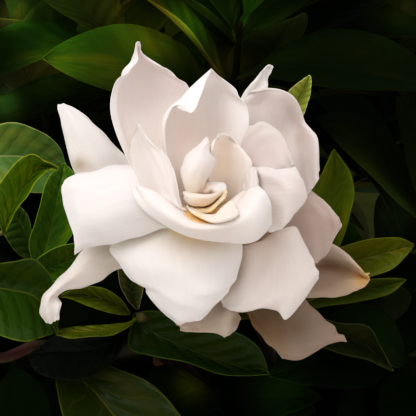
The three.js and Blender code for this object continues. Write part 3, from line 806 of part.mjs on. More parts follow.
    [55, -39.33, 208.62, -0.0648, -0.9957, 0.0656, 0.5176, 0.0227, 0.8553, 62.2, 25.7, 0.71, 0.316],
    [64.28, -47.06, 212.97, 0.5463, -0.5974, -0.5871, 0.3831, -0.4451, 0.8094, 60.5, 25.4, 0.849, 0.338],
    [64.28, -47.06, 212.97, -0.2733, -0.6351, 0.7225, 0.9479, -0.0499, 0.3147, 49.8, 21.1, 1.013, 0.291],
    [74.52, -53.84, 216.56, 0.9597, 0.2442, -0.1392, 0.1484, -0.0196, 0.9887, 55.2, 24.5, 0.5, 0.317],
    [74.52, -53.84, 216.56, 0.148, -0.8275, 0.5416, 0.4727, 0.5402, 0.6962, 70.2, 30.8, 0.496, 0.253],
    [83.48, -59.46, 219.46, 0.8734, -0.487, 0.0046, -0.0612, -0.1003, 0.9931, 57.7, 23.5, 0.483, 0.248],
    [83.48, -59.46, 219.46, 0.8285, 0.0605, 0.5567, -0.3882, -0.6545, 0.6488, 47.2, 20.7, 0.57, 0.322],
    [84.62, -60.18, 219.84, 0.512, -0.4398, 0.7378, 0.4658, 0.8639, 0.1917, 42.3, 16.4, 0.506, 0.194],
    [84.62, -60.18, 219.84, 0.5953, -0.6316, -0.4966, 0.4011, -0.302, 0.8648, 27.8, 11.5, 0.681, 0.184],
    [64.28, -47.06, 212.97, -0.0807, -0.9822, 0.1694, -0.2053, 0.1827, 0.9615, 49.5, 21.7, 1.018, 0.26],
    [42.4, -27.83, 201.53, -0.0845, -0.9963, 0.017, 0.1518, 0.004, 0.9884, 59.3, 25.2, 0.437, 0.247],
    [42.4, -27.83, 201.53, -0.1163, -0.2454, 0.9624, 0.4208, -0.8899, -0.1761, 68.5, 32.7, 0.445, 0.183],
    [39.5, -25.64, 199.66, -0.1558, -0.7346, 0.6604, 0.3716, 0.5758, 0.7282, 57.3, 25.3, 0.612, 0.136],
    [40.36, -26.26, 200.24, 0.9208, -0.0391, -0.388, 0.3515, -0.3478, 0.8692, 46, 19.9, 0.298, 0.285],
    [57.27, -41.38, 209.79, -0.3255, -0.7416, 0.5866, 0.8278, 0.0763, 0.5558, 60.9, 26.2, 0.894, 0.198],
  ],
  [
    [50.11, 16.2, 195.96, 0.7055, 0.606, -0.3675, 0.4337, 0.041, 0.9001, 55.4, 22.5, 0.588, 0.3],
    [50.11, 16.2, 195.96, 0.6783, -0.2844, 0.6775, -0.4004, 0.63, 0.6654, 49.3, 21.4, 0.48, 0.244],
    [65.45, 18.93, 198.88, 0.3892, 0.8438, 0.3695, 0.1233, -0.4453, 0.8868, 59.6, 27.1, 1.044, 0.234],
    [65.45, 18.93, 198.88, 0.9154, -0.311, -0.2557, 0.3823, 0.4722, 0.7943, 64.4, 29.1, 0.953, 0.216],
    [78.52, 23.81, 201.87, 0.7451, 0.5336, -0.4, 0.4462, 0.0468, 0.8937, 68.7, 30.3, 0.733, 0.187],
    [78.52, 23.81, 201.87, 0.7348, 0.1012, 0.6707, -0.5197, -0.5513, 0.6526, 72.1, 31.5, 0.599, 0.161],
    [87.8, 27.35, 204, 0.5619, 0.7004, 0.4402, 0.4277, -0.7015, 0.5701, 62.4, 28.1, 0.585, 0.169],
    [87.8, 27.35, 204, 0.9682, -0.2433, -0.0585, 0.1697, 0.4665, 0.8681, 66.5, 30.8, 0.573, 0.172],
    [90.35, 28.29, 204.58, 0.4935, 0.8504, -0.1824, 0.3812, -0.023, 0.9242, 52, 21, 0.308, 0.342],
    [91.63, 28.78, 204.87, 0.9437, -0.0401, 0.3283, -0.3199, 0.1411, 0.9369, 42.5, 18.4, 0.323, 0.265],
    [78.52, 23.81, 201.87, 0.6435, -0.7622, 0.0705, 0.3274, 0.3573, 0.8747, 44.2, 20.5, 0.572, 0.291],
    [52.97, 16.11, 196.51, 0.3023, -0.9429, -0.1399, 0.1958, -0.0822, 0.9772, 57.4, 24.1, 0.605, 0.187],
    [46.01, 15.17, 194.47, 0.7937, 0.587, 0.1598, 0.1764, -0.4735, 0.863, 55.1, 27.5, 0.71, 0.277],
  ],
  [
    [15.69, 57.07, 205.62, -0.3852, 0.872, -0.3019, -0.2692, 0.2067, 0.9406, 71.3, 30.9, 0.745, 0.194],
    [15.69, 57.07, 205.62, 0.6507, 0.0171, 0.7592, -0.7145, 0.3524, 0.6044, 56, 24, 0.784, 0.263],
    [18.22, 67.48, 214.49, -0.6845, 0.3477, 0.6408, 0.6954, 0.0473, 0.7171, 74.5, 32.2, 0.801, 0.18],
    [18.22, 67.48, 214.49, 0.7171, 0.6852, -0.1277, -0.1484, 0.3291, 0.9325, 61.1, 28.2, 0.978, 0.32],
    [20.77, 78.41, 219.33, -0.25, 0.8629, -0.4393, 0.3119, 0.5012, 0.8071, 73.4, 31.3, 0.604, 0.166],
    [23.33, 89.77, 221.66, -0.6366, 0.6737, 0.3753, 0.6095, 0.1414, 0.7801, 63.1, 27.9, 0.969, 0.26],
    [23.33, 89.77, 221.66, 0.6959, 0.6146, -0.3716, 0.0283, 0.4936, 0.8692, 75.3, 30.8, 0.952, 0.265],
    [26.14, 102.25, 223.61, -0.2124, 0.9396, -0.2682, -0.0349, 0.267, 0.9631, 49.7, 23.3, 0.994, 0.192],
    [26.14, 102.25, 223.61, 0.7948, 0.4758, 0.3766, -0.565, 0.3538, 0.7454, 56.6, 23.4, 0.804, 0.184],
    [27.52, 108.4, 224.67, -0.4601, 0.8611, -0.2165, 0.2102, 0.3425, 0.9157, 36.3, 16.4, 0.445, 0.317],
    [27.52, 108.4, 224.67, -0.3146, 0.7957, 0.5176, 0.3371, -0.4161, 0.8445, 31.6, 16.8, 0.623, 0.348],
    [27.82, 109.74, 224.9, 0.4021, 0.8868, 0.2278, -0.3386, -0.0871, 0.9369, 30.4, 13.2, 0.654, 0.165],
    [15.69, 57.07, 205.62, 0.9662, 0.2538, 0.0451, -0.0953, 0.189, 0.9773, 59.7, 24.9, 0.875, 0.251],
    [23.33, 89.77, 221.66, 0.3367, 0.6444, 0.6866, -0.5523, -0.4554, 0.6983, 46.1, 21.6, 0.973, 0.324],
    [13.98, 49.72, 201.35, 0.0475, 0.6917, -0.7206, 0.1649, 0.7061, 0.6887, 55.2, 25.9, 0.922, 0.248],
    [23.33, 89.77, 221.66, 0.992, 0.1246, 0.0178, 0.1256, -0.9698, -0.2093, 85.6, 37.3, 0.421, 0.24],
    [15.34, 55.56, 204.58, 0.0749, -0.3341, -0.9396, -0.0434, -0.9424, 0.3316, 60.5, 25.4, 0.302, 0.159],
  ],
  [
    [-44.06, 30.32, 198.71, -0.9357, 0.0561, -0.3483, -0.3375, 0.1452, 0.9301, 68.9, 28.3, 0.743, 0.166],
    [-44.06, 30.32, 198.71, -0.1425, 0.9329, 0.3307, -0.5872, -0.3487, 0.7305, 68.8, 28.8, 0.594, 0.226],
    [-57.02, 37.87, 199.52, -0.863, -0.1196, 0.4908, 0.1786, 0.8367, 0.5178, 58.6, 24.9, 0.734, 0.301],
    [-57.02, 37.87, 199.52, -0.3469, 0.7355, -0.582, -0.398, 0.4464, 0.8014, 62.5, 26, 0.644, 0.316],
    [-67.41, 44.11, 202.43, -0.9717, -0.1859, -0.1456, -0.198, 0.3058, 0.9313, 72.9, 31.6, 0.502, 0.315],
    [-67.41, 44.11, 202.43, -0.1987, 0.8104, 0.5512, -0.79, -0.4652, 0.3993, 59.8, 24.5, 0.863, 0.258],
    [-76.95, 49.95, 206.37, -0.9485, -0.1649, 0.2703, 0.1389, 0.5507, 0.8231, 55.1, 25.5, 0.504, 0.318],
    [-76.95, 49.95, 206.37, -0.5102, 0.8043, -0.3045, -0.4314, 0.067, 0.8997, 64, 29.5, 0.898, 0.222],
    [-86.87, 56.04, 210.67, -0.7033, 0.5638, -0.4331, -0.5381, -0.024, 0.8425, 50.2, 23.5, 0.736, 0.296],
    [-86.87, 56.04, 210.67, -0.2351, 0.9305, 0.2807, -0.014, -0.292, 0.9563, 71.2, 33.1, 0.782, 0.165],
    [-88.46, 57.02, 211.32, -0.8242, -0.4236, 0.3759, 0.1437, 0.4856, 0.8623, 42.8, 17, 0.437, 0.336],
    [-89.59, 57.71, 211.8, -0.3678, 0.6827, 0.6313, -0.2057, -0.7218, 0.6608, 35.6, 13.9, 0.613, 0.214],
    [-89.59, 57.71, 211.8, -0.918, 0.378, -0.1201, -0.1274, 0.0058, 0.9918, 28.8, 11.7, 0.608, 0.288],
    [-57.02, 37.87, 199.52, -0.368, 0.226, 0.902, -0.9267, -0.0092, -0.3757, 36.5, 15.2, 0.8, 0.192],
    [-57.02, 37.87, 199.52, -0.9571, 0.116, -0.2654, -0.2324, 0.2392, 0.9427, 54.7, 22.2, 0.842, 0.333],
    [-67.41, 44.11, 202.43, -0.3266, 0.9034, -0.2778, -0.1523, 0.2398, 0.9588, 56.3, 24.9, 0.638, 0.237],
    [-47.25, 32.18, 199.11, -0.3223, 0.5779, -0.7498, -0.7677, 0.3039, 0.5642, 43, 21.2, 0.644, 0.222],
    [-41.39, 28.73, 197.88, -0.007, 0.8213, -0.5705, -0.7099, 0.3978, 0.5813, 66.7, 31.6, 0.983, 0.288],
  ],
  [
    [-41.5, -29.56, 200.2, -0.4652, -0.8833, -0.0578, -0.0518, -0.0381, 0.9979, 62.7, 29.4, 0.558, 0.323],
    [-41.5, -29.56, 200.2, -0.9738, 0.1934, 0.1198, 0.0155, -0.4691, 0.883, 50, 20.8, 0.844, 0.339],
    [-53.33, -37.18, 207.31, -0.0267, -0.4567, 0.8892, -0.7955, 0.5484, 0.2578, 49.2, 21.4, 0.97, 0.218],
    [-53.33, -37.18, 207.31, -0.9162, -0.0134, -0.4004, -0.3928, -0.1666, 0.9044, 53.7, 23.1, 0.564, 0.347],
    [-62.93, -43.78, 211.27, 0.0692, -0.9931, -0.095, -0.4911, -0.1168, 0.8632, 60, 25.3, 0.625, 0.214],
    [-73.83, -51.94, 213.33, -0.6266, -0.1189, 0.7702, 0.6335, -0.6533, 0.4146, 65.4, 26.5, 0.766, 0.241],
    [-73.83, -51.94, 213.33, -0.6018, -0.1597, -0.7825, -0.684, -0.4027, 0.6083, 61.8, 24.8, 0.872, 0.325],
    [-82.33, -58.4, 214.53, -0.2174, -0.9451, -0.2441, -0.2627, -0.1842, 0.9471, 60.9, 26, 1.048, 0.296],
    [-82.33, -58.4, 214.53, -0.7722, -0.3707, 0.516, 0.3225, 0.471, 0.8211, 63.6, 29.2, 0.728, 0.279],
    [-83.52, -59.29, 214.75, 0.0189, -0.9944, 0.1042, -0.5577, 0.076, 0.8265, 43, 16.4, 0.445, 0.214],
    [-84.63, -60.13, 214.92, -0.9172, -0.3967, 0.0379, 0.0628, -0.0499, 0.9968, 31.4, 13.7, 0.636, 0.208],
    [-38.84, -27.74, 198.75, 0.1291, -0.0427, 0.9907, -0.7059, -0.7056, 0.0616, 59.9, 25.2, 0.351, 0.235],
    [-35.97, -25.7, 197.21, 0.2765, -0.4275, 0.8607, -0.9559, -0.2145, 0.2005, 57.1, 26, 0.662, 0.174],
    [-35.97, -25.7, 197.21, -0.9583, 0.2005, -0.2037, -0.2851, -0.6193, 0.7315, 66.1, 28.9, 0.744, 0.195],
    [-35.97, -25.7, 197.21, 0.4705, -0.8169, 0.3337, -0.4717, 0.0867, 0.8775, 42.1, 18.7, 0.375, 0.176],
    [-48.92, -34.34, 204.73, 0.3783, -0.8532, 0.3591, -0.5032, 0.1361, 0.8534, 53.1, 22.7, 0.28, 0.081],
    [-44.93, -31.8, 202.23, 0.0685, -0.3036, 0.9503, -0.6285, -0.7529, -0.1952, 54, 24.9, 0.818, 0.169],
  ],
  [
    [16.55, 18.84, 256.37, -0.4887, 0.6485, 0.5836, 0.5313, -0.3094, 0.7887, 44.6, 18.6, 0.478, 0.222],
    [16.55, 18.84, 256.37, 0.7661, -0.4698, 0.4386, -0.1808, 0.4973, 0.8485, 44.6, 18.5, 0.763, 0.304],
    [16.86, 21.4, 271.35, 0.0332, -0.5045, 0.8628, -0.4192, 0.7766, 0.4703, 70.3, 28.6, 0.496, 0.167],
    [17.38, 23.65, 283.87, -0.5893, 0.4563, 0.6666, 0.437, -0.514, 0.7382, 72.5, 30, 0.727, 0.33],
    [17.38, 23.65, 283.87, 0.6692, 0.155, 0.7268, -0.6939, -0.2196, 0.6858, 65.3, 26.7, 0.87, 0.244],
    [19.27, 26.44, 296.64, -0.4296, -0.1686, 0.8871, 0.8969, 0.0344, 0.4409, 71.9, 29.2, 0.698, 0.24],
    [19.27, 26.44, 296.64, 0.653, -0.0643, 0.7547, -0.7528, 0.0545, 0.656, 43.3, 19, 0.978, 0.334],
    [22.88, 29.96, 310.05, -0.0011, 0.7095, 0.7047, -0.1859, -0.6926, 0.6969, 68.6, 31.9, 1.026, 0.244],
    [22.88, 29.96, 310.05, 0.5454, -0.274, 0.7921, -0.6117, 0.5159, 0.5997, 72.8, 30.6, 0.739, 0.308],
    [26.23, 32.91, 320.53, -0.4016, -0.3237, 0.8567, 0.5995, 0.6143, 0.5131, 60.5, 27.1, 0.745, 0.174],
    [26.23, 32.91, 320.53, 0.3483, 0.5138, 0.7841, -0.0245, -0.8312, 0.5555, 36.2, 16.2, 0.583, 0.193],
    [29.68, 35.9, 331.07, -0.0496, 0.6533, 0.7555, -0.366, -0.7157, 0.5948, 68.6, 30.7, 0.619, 0.22],
    [29.68, 35.9, 331.07, 0.6648, -0.3171, 0.6764, -0.5466, 0.4107, 0.7297, 68, 31.2, 0.458, 0.297],
    [31.25, 37.31, 336.15, -0.5707, 0.332, 0.7511, 0.727, -0.2211, 0.6501, 54.6, 23, 0.456, 0.309],
    [31.25, 37.31, 336.15, -0.0665, -0.4183, 0.9059, 0.3736, 0.8314, 0.4114, 56.2, 24, 0.31, 0.257],
    [31.65, 37.67, 337.45, 0.423, 0.0947, 0.9012, -0.8229, -0.3763, 0.4257, 40.4, 16, 0.663, 0.286],
    [17.38, 23.65, 283.87, -0.5132, -0.1154, 0.8505, 0.8297, 0.1868, 0.526, 56.2, 25.6, 0.565, 0.241],
    [19.27, 26.44, 296.64, 0.0883, 0.8114, 0.5778, 0.652, -0.4856, 0.5823, 53.5, 21.5, 0.476, 0.327],
    [22.88, 29.96, 310.05, 0.7985, -0.2036, 0.5665, -0.5523, 0.1266, 0.824, 58.1, 24.7, 1.043, 0.231],
    [26.23, 32.91, 320.53, 0.1864, -0.3131, 0.9313, 0.1067, 0.9487, 0.2976, 56, 24.9, 0.853, 0.249],
    [17.38, 23.65, 283.87, 0.8479, 0.2677, 0.4577, -0.44, -0.1264, 0.8891, 74.7, 35.4, 0.89, 0.204],
    [16.83, 20.91, 268.44, -0.3523, 0.8934, 0.2786, -0.5395, -0.4371, 0.7196, 28.2, 11, 0.208, 0.201],
  ],
  [
    [-18.15, 23.62, 258.85, -0.3676, -0.5951, 0.7147, 0.0709, 0.7483, 0.6595, 62.3, 26.7, 0.738, 0.237],
    [-18.15, 23.62, 258.85, 0.2651, 0.5493, 0.7924, -0.5106, -0.6172, 0.5987, 53.7, 22.4, 0.667, 0.284],
    [-22.16, 27.97, 270.77, 0.4778, -0.5295, 0.701, -0.3572, 0.6119, 0.7057, 46.7, 19.9, 0.868, 0.348],
    [-22.16, 27.97, 270.77, -0.9175, 0.3947, -0.0489, -0.0014, 0.1197, 0.9928, 43.2, 17.9, 0.965, 0.273],
    [-26.31, 32.48, 282.94, -0.5406, -0.6032, 0.5864, 0.4131, 0.4169, 0.8097, 73.6, 33.8, 0.877, 0.324],
    [-26.31, 32.48, 282.94, 0.315, 0.7414, 0.5925, -0.5143, -0.3913, 0.7631, 58.4, 25.5, 0.743, 0.184],
    [-30.37, 36.8, 295.75, 0.0241, -0.3379, 0.9409, 0.2966, 0.9012, 0.316, 49.1, 21.6, 0.676, 0.293],
    [-33.79, 40.25, 308.35, -0.7294, -0.1639, 0.6642, 0.6696, 0.0276, 0.7422, 60.2, 26.5, 0.596, 0.162],
    [-33.79, 40.25, 308.35, 0.3335, 0.785, 0.522, -0.399, -0.3842, 0.8326, 58.4, 26.2, 0.569, 0.219],
    [-36.97, 43.29, 321.55, 0.3209, -0.2814, 0.9043, -0.7536, 0.5025, 0.4238, 64.6, 27, 0.756, 0.253],
    [-36.97, 43.29, 321.55, -0.6909, 0.5391, 0.4817, 0.419, -0.2444, 0.8745, 65.1, 30.6, 0.53, 0.192],
    [-39.3, 45.47, 331.64, -0.5577, -0.5722, 0.6014, 0.4027, 0.447, 0.7988, 56.7, 24.8, 1.017, 0.225],
    [-39.3, 45.47, 331.64, 0.0375, 0.7731, 0.6332, -0.2998, -0.5958, 0.7451, 73.5, 33.8, 0.736, 0.347],
    [-41.98, 48, 343.1, -0.5082, -0.4721, 0.7203, 0.2805, 0.7001, 0.6567, 60.3, 24.1, 0.466, 0.196],
    [-41.98, 48, 343.1, 0.524, -0.017, 0.8516, -0.8042, 0.3196, 0.5012, 58.4, 23.3, 0.633, 0.244],
    [-42.29, 48.3, 344.43, -0.2013, 0.5759, 0.7924, -0.4478, -0.7736, 0.4485, 41.6, 17.3, 0.513, 0.359],
    [-30.37, 36.8, 295.75, -0.6928, 0.1092, 0.7128, 0.6717, -0.2619, 0.693, 71.1, 29.5, 0.878, 0.198],
    [-36.97, 43.29, 321.55, 0.5229, 0.5206, 0.675, -0.4109, -0.5399, 0.7346, 56.5, 24.9, 0.931, 0.238],
    [-39.3, 45.47, 331.64, -0.2349, -0.543, 0.8062, 0.2076, 0.7822, 0.5874, 60, 26.3, 0.582, 0.251],
    [-22.16, 27.97, 270.77, -0.1416, 0.6697, 0.729, 0.1317, -0.7172, 0.6843, 52.2, 24.7, 0.855, 0.297],
    [-23.16, 29.06, 273.66, -0.9496, -0.2008, 0.2405, 0.2573, -0.0619, 0.9643, 59.7, 25.3, 0.866, 0.145],
    [-27.37, 33.62, 286.15, -0.4615, -0.3489, 0.8156, 0.1983, 0.8556, 0.4782, 57.4, 25.2, 0.547, 0.189],
  ],
  [
    [6.33, -13.85, 251.51, 0.9261, -0.0088, 0.3772, -0.3673, 0.2079, 0.9066, 47.1, 21.8, 1.039, 0.221],
    [6.33, -13.85, 251.51, -0.6483, -0.3702, 0.6653, 0.5568, 0.3655, 0.7459, 67.5, 27.2, 0.561, 0.176],
    [6.88, -15.34, 265.11, 0.5774, -0.4583, 0.6756, -0.6138, 0.3019, 0.7294, 40.4, 18.8, 0.7, 0.329],
    [7.44, -17.16, 278.07, 0.674, -0.1746, 0.7178, -0.6709, 0.2622, 0.6937, 60.7, 26.2, 0.885, 0.318],
    [7.44, -17.16, 278.07, -0.5544, 0.0042, 0.8322, 0.7675, -0.3841, 0.5132, 51.8, 22.4, 0.636, 0.21],
    [8.09, -20.33, 291.04, -0.3665, -0.0158, 0.9303, 0.9302, 0.0167, 0.3667, 62.8, 26.1, 0.747, 0.23],
    [8.09, -20.33, 291.04, 0.5875, -0.511, 0.6275, -0.4084, 0.4822, 0.7751, 38.5, 16.9, 0.702, 0.286],
    [9.45, -28.41, 315.13, -0.3322, 0.2116, 0.9192, 0.7139, -0.5806, 0.3916, 57.2, 25.6, 0.477, 0.318],
    [9.73, -30.07, 320.11, 0.4197, 0.3354, 0.8434, -0.5277, -0.6659, 0.5274, 53.5, 20.4, 0.428, 0.225],
    [6.33, -13.85, 251.51, -0.2656, 0.8629, 0.43, 0.2292, -0.3767, 0.8975, 53.8, 22.8, 0.793, 0.32],
    [7.44, -17.16, 278.07, -0.0857, -0.9603, 0.2654, 0.2953, 0.2299, 0.9273, 41.1, 17.4, 0.798, 0.318],
    [8.27, -21.37, 294.4, -0.8618, -0.2643, 0.433, 0.5068, -0.4104, 0.7581, 63, 30.1, 0.429, 0.244],
    [6.17, -13.26, 247.75, -0.3488, -0.7536, 0.5572, 0.3867, 0.4258, 0.818, 64.6, 30.3, 0.833, 0.24],
    [9.45, -28.41, 315.13, 0.6401, 0.4716, 0.6065, -0.2628, -0.6073, 0.7497, 43.2, 20.5, 0.259, 0.205],
    [8.66, -23.61, 301.24, 0.872, -0.2909, 0.3937, -0.4704, -0.2756, 0.8383, 67.4, 28.7, 0.896, 0.234],
  ],
  [
    [2.26, -27.84, 193.94, 0.4735, 0.2701, 0.8384, -0.7761, -0.3223, 0.5421, 41.9, 19.2, 0.806, 0.318],
    [2.26, -27.84, 193.94, -0.4339, -0.898, -0.0736, 0.3578, -0.2467, 0.9006, 65.5, 27.3, 0.531, 0.292],
    [1.81, -42.07, 196.37, -0.4532, -0.841, 0.2955, -0.1539, 0.4003, 0.9034, 63.2, 27.1, 0.782, 0.197],
    [1.81, -42.07, 196.37, 0.5059, -0.7794, -0.3696, -0.5773, -0.6243, 0.5263, 67.3, 27.6, 0.882, 0.16],
    [1.81, -43.98, 196.2, 0.4789, -0.7146, 0.5099, -0.8616, -0.2714, 0.4289, 48.4, 19.3, 0.582, 0.324],
    [1.81, -45.37, 196.06, -0.0113, -0.988, -0.154, 0.1527, -0.1539, 0.9762, 30.1, 12.4, 0.549, 0.304],
    [2.26, -27.84, 193.94, -0.2958, -0.8589, -0.4182, 0.1509, -0.4743, 0.8673, 59.4, 26, 1.03, 0.231],
    [1.8, -38.01, 196.81, -0.1602, -0.7649, 0.6239, 0.5203, 0.4717, 0.7118, 58.4, 25.8, 0.838, 0.138],
    [1.83, -31.42, 197.09, 0.8642, -0.4951, -0.09, -0.2849, -0.6288, 0.7235, 57.2, 24.5, 0.677, 0.291],
    [1.83, -31.42, 197.09, 0.5116, -0.8014, 0.3099, -0.7193, -0.2021, 0.6647, 51.5, 21.7, 0.317, 0.117],
  ],
];


// ---- materials ---------------------------------------------------------------------------
const finish = (name, color, roughness) => {
  const m = new THREE.MeshStandardMaterial({ color, roughness, metalness: 0 });
  m.name = name;
  return m;
};
const CLAY = finish("terracotta", 0xb56a45, 0.85);
const SOIL = finish("soil", 0x2e2118, 0.95);
const BARK = finish("bark", 0x6b5138, 0.85);
const CALYX = finish("calyx", 0x6f8a3a, 0.5);
const TUBE = finish("corolla_tube", 0xe9e6c8, 0.5);
const PETAL = finish("petal", 0xf0ebe6, 0.5);
const LEAF = finish("leaf", 0x24401a, 0.25);
const LEAF_YOUNG = finish("leaf_young", 0x6d8a24, 0.35);

const plant = new THREE.Group();
plant.name = "potted_gardenia";

function add(name, solidOrGeometry, material, parent = plant) {
  const geometry = solidOrGeometry.isBufferGeometry ? solidOrGeometry : geometryFrom(solidOrGeometry);
  const mesh = new THREE.Mesh(geometry, material);
  mesh.name = name;
  parent.add(mesh);
  return mesh;
}

// ---- pot and soil ---------------------------------------------------------------------------
const neckAt = (z) => POT_FOOT_RADIUS + ((POT_NECK_RADIUS - POT_FOOT_RADIUS) * z) / (POT_HEIGHT - POT_RIM_HEIGHT);
const potProfile = [
  [DRAIN_RADIUS, 0],
  [POT_FOOT_RADIUS - 2, 0],
  [POT_FOOT_RADIUS, 2.5],
  [neckAt(POT_HEIGHT - POT_RIM_HEIGHT) - 0.4, POT_HEIGHT - POT_RIM_HEIGHT],
  [POT_RIM_RADIUS - 2.6, POT_HEIGHT - POT_RIM_HEIGHT],
  [POT_RIM_RADIUS - 1.6, POT_HEIGHT - POT_RIM_HEIGHT + 1.6],
  [POT_RIM_RADIUS, POT_HEIGHT - 3],
  [POT_RIM_RADIUS - 2, POT_HEIGHT],
  [POT_NECK_RADIUS - 0.5, POT_HEIGHT],
  [POT_NECK_RADIUS - 2, POT_HEIGHT - 2.5],
  [neckAt(POT_HEIGHT - POT_RIM_HEIGHT) - POT_WALL, POT_HEIGHT - POT_RIM_HEIGHT - 4],
  [neckAt(POT_FLOOR) - POT_WALL, POT_FLOOR],
  [DRAIN_RADIUS, POT_FLOOR],
  [DRAIN_RADIUS, 0],
];
const pot = turned(potProfile, 44);
const holder = new THREE.Group();
holder.name = "holder";
plant.add(holder);
add("pot", pot, CLAY, holder);

// The soil's side follows the inside of the pot's wall.
const innerAt = (z) => {
  const z1 = POT_HEIGHT - POT_RIM_HEIGHT - 4;
  const r0 = neckAt(POT_FLOOR) - POT_WALL;
  const r1 = neckAt(POT_HEIGHT - POT_RIM_HEIGHT) - POT_WALL;
  if (z <= z1) return r0 + ((r1 - r0) * (z - POT_FLOOR)) / (z1 - POT_FLOOR);
  return r1 + ((POT_NECK_RADIUS - 2 - r1) * (z - z1)) / (POT_HEIGHT - 2.5 - z1);
};
const soilBody = solidOf(
  turned(
    [
      [0, POT_FLOOR + GAP],
      [innerAt(POT_FLOOR) - GAP - 0.3, POT_FLOOR + GAP],
      [innerAt(POT_HEIGHT - POT_RIM_HEIGHT - 4) - GAP - 0.3, POT_HEIGHT - POT_RIM_HEIGHT - 4],
      [innerAt(SOIL_TOP - 3) - GAP - 0.3, SOIL_TOP - 3],
      [innerAt(SOIL_TOP) - 5, SOIL_TOP - 0.6],
      [45, SOIL_TOP + 0.6],
      [0, SOIL_TOP + 1.2],
    ],
    32,
  ),
);
const root = stem(STEMS[0], 10, 9, GAP);
add("potting_soil", soilBody.subtract(root), SOIL, holder);

// ---- stems ----------------------------------------------------------------------------------
const sidesFor = (s) => (Math.max(...s.map((p) => p[3])) > 4.5 ? 10 : Math.max(...s.map((p) => p[3])) > 2.4 ? 6 : 5);
const reach = (s) => s.slice(1).reduce((l, p, k) => l + Math.hypot(p[0] - s[k][0], p[1] - s[k][1], p[2] - s[k][2]), 0);
const stepFor = (s) => (Math.max(...s.map((p) => p[3])) > 4.5 ? 10 : reach(s) < 45 ? 6 : 16);
let wood = stem(STEMS[0], sidesFor(STEMS[0]), 9);
for (const s of STEMS.slice(1)) wood = wood.add(stem(s, sidesFor(s), stepFor(s)));
add("woody_stem", largest(wood), BARK);
const woodRoom = STEMS.map((s) => stem(s, sidesFor(s), stepFor(s), GAP));

// ---- calyx and corolla tube, turned about the tube's axis ----------------------------------------
const tubeTop = drawn(TUBE_TOP);
const toTube = new THREE.Matrix4().compose(
  tubeTop,
  new THREE.Quaternion().setFromUnitVectors(new THREE.Vector3(0, 0, 1), TUBE_AXIS),
  new THREE.Vector3(1, 1, 1),
);
const tubeProfile = (e) => [
  [0, 3.5 - e],
  [4.6 + e, 3.5 - e],
  [3.4 + e, 8],
  [2.7 + e, 16],
  [2.4 + e, 23.4 + e],
  [0, 23.4 + e],
];
const calyxProfile = (e) => [
  [0, 24 - e],
  [2.9 + e, 24 - e],
  [4.2 + e, 26],
  [4.4 + e, 30],
  [3.6 + e, 34.5],
  [2.3 + e, 36.6 + e],
  [0, 36.6 + e],
];
const about = (profile, segments) => turned(profile, segments).applyMatrix4(toTube);
const tube = solidOf(about(tubeProfile(0), 10));
const tubeRoom = solidOf(about(tubeProfile(GAP), 10));
// The calyx carries six narrow green teeth that stand out round the foot of the tube.
let calyx = solidOf(about(calyxProfile(0), 12));
let calyxRoom = solidOf(about(calyxProfile(GAP), 12));
for (let i = 0; i < 6; i++) {
  const a = (i / 6) * 2 * Math.PI + 0.4;
  const arm = (r, z) => new THREE.Vector3(r * Math.cos(a), r * Math.sin(a), z).applyMatrix4(toTube);
  const path = [arm(2.6, 28.5), arm(6.0, 22), arm(8.6, 11.5)];
  const radii = [1.3, 1.0, 0.4];
  const points = path.map((p, k) => [p.x, p.y, p.z, radii[k]]);
  calyx = calyx.add(stem(points, 4, 9));
  calyxRoom = calyxRoom.add(stem(points, 4, 9, GAP));
}
for (const room of woodRoom) calyx = calyx.subtract(room);
const bloom = new THREE.Group();
bloom.name = "bloom";
plant.add(bloom);
add("calyx", largest(calyx), CALYX, bloom);
add("corolla_tube", tube, TUBE, bloom);

// ---- petals: each is cut back from the ones placed before it ---------------------------------------
const placed = [tubeRoom, calyxRoom, ...woodRoom];
const near = (a, b) => {
  const p = a.boundingBox();
  const q = b.boundingBox();
  return [0, 1, 2].every((k) => p.min[k] < q.max[k] && q.min[k] < p.max[k]);
};
function clear(solid) {
  for (const other of placed) if (near(solid, other)) solid = solid.subtract(other);
  return largest(solid);
}
const PETAL_ORDER = Object.keys(PETALS);
for (const name of PETAL_ORDER) {
  const fine = name.startsWith("inner") ? [6, 4] : name.startsWith("third") ? [7, 5] : [6, 5];
  const grid = lattice(PETALS[name], fine[0], fine[1]);
  add(name, clear(skin(grid, PETAL_THICKNESS)), PETAL, bloom);
  placed.push(skin(grid, PETAL_THICKNESS + 2 * GAP, GAP));
}

// ---- leaves round the bloom -------------------------------------------------------------------------
for (const name of Object.keys(LEAVES)) {
  const grid = lattice(LEAVES[name], 7, 3);
  add(name, clear(skin(grid, LEAF_THICKNESS)), name.endsWith("young") || name.endsWith("curl") ? LEAF_YOUNG : LEAF, plant);
  placed.push(skin(grid, LEAF_THICKNESS + 2 * GAP, GAP));
}

// ---- leafy branches of the canopy ---------------------------------------------------------------------
TWIGS.forEach((points, i) => {
  const n = points.length - 1;
  let branch = stem(points.map((p, k) => [...p, 1.9 - (0.9 * k) / n]), 5, 17);
  for (const leaf of CANOPY[i]) branch = branch.add(canopyLeaf(leaf, CANOPY_LEAF_THICKNESS));
  branch = clear(branch);
  add(`leafy_branch_${i + 1}`, branch, LEAF, plant);
  placed.push(branch);
});

export default plant;
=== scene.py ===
import bpy, math
import numpy as np
from mathutils import Vector, Matrix


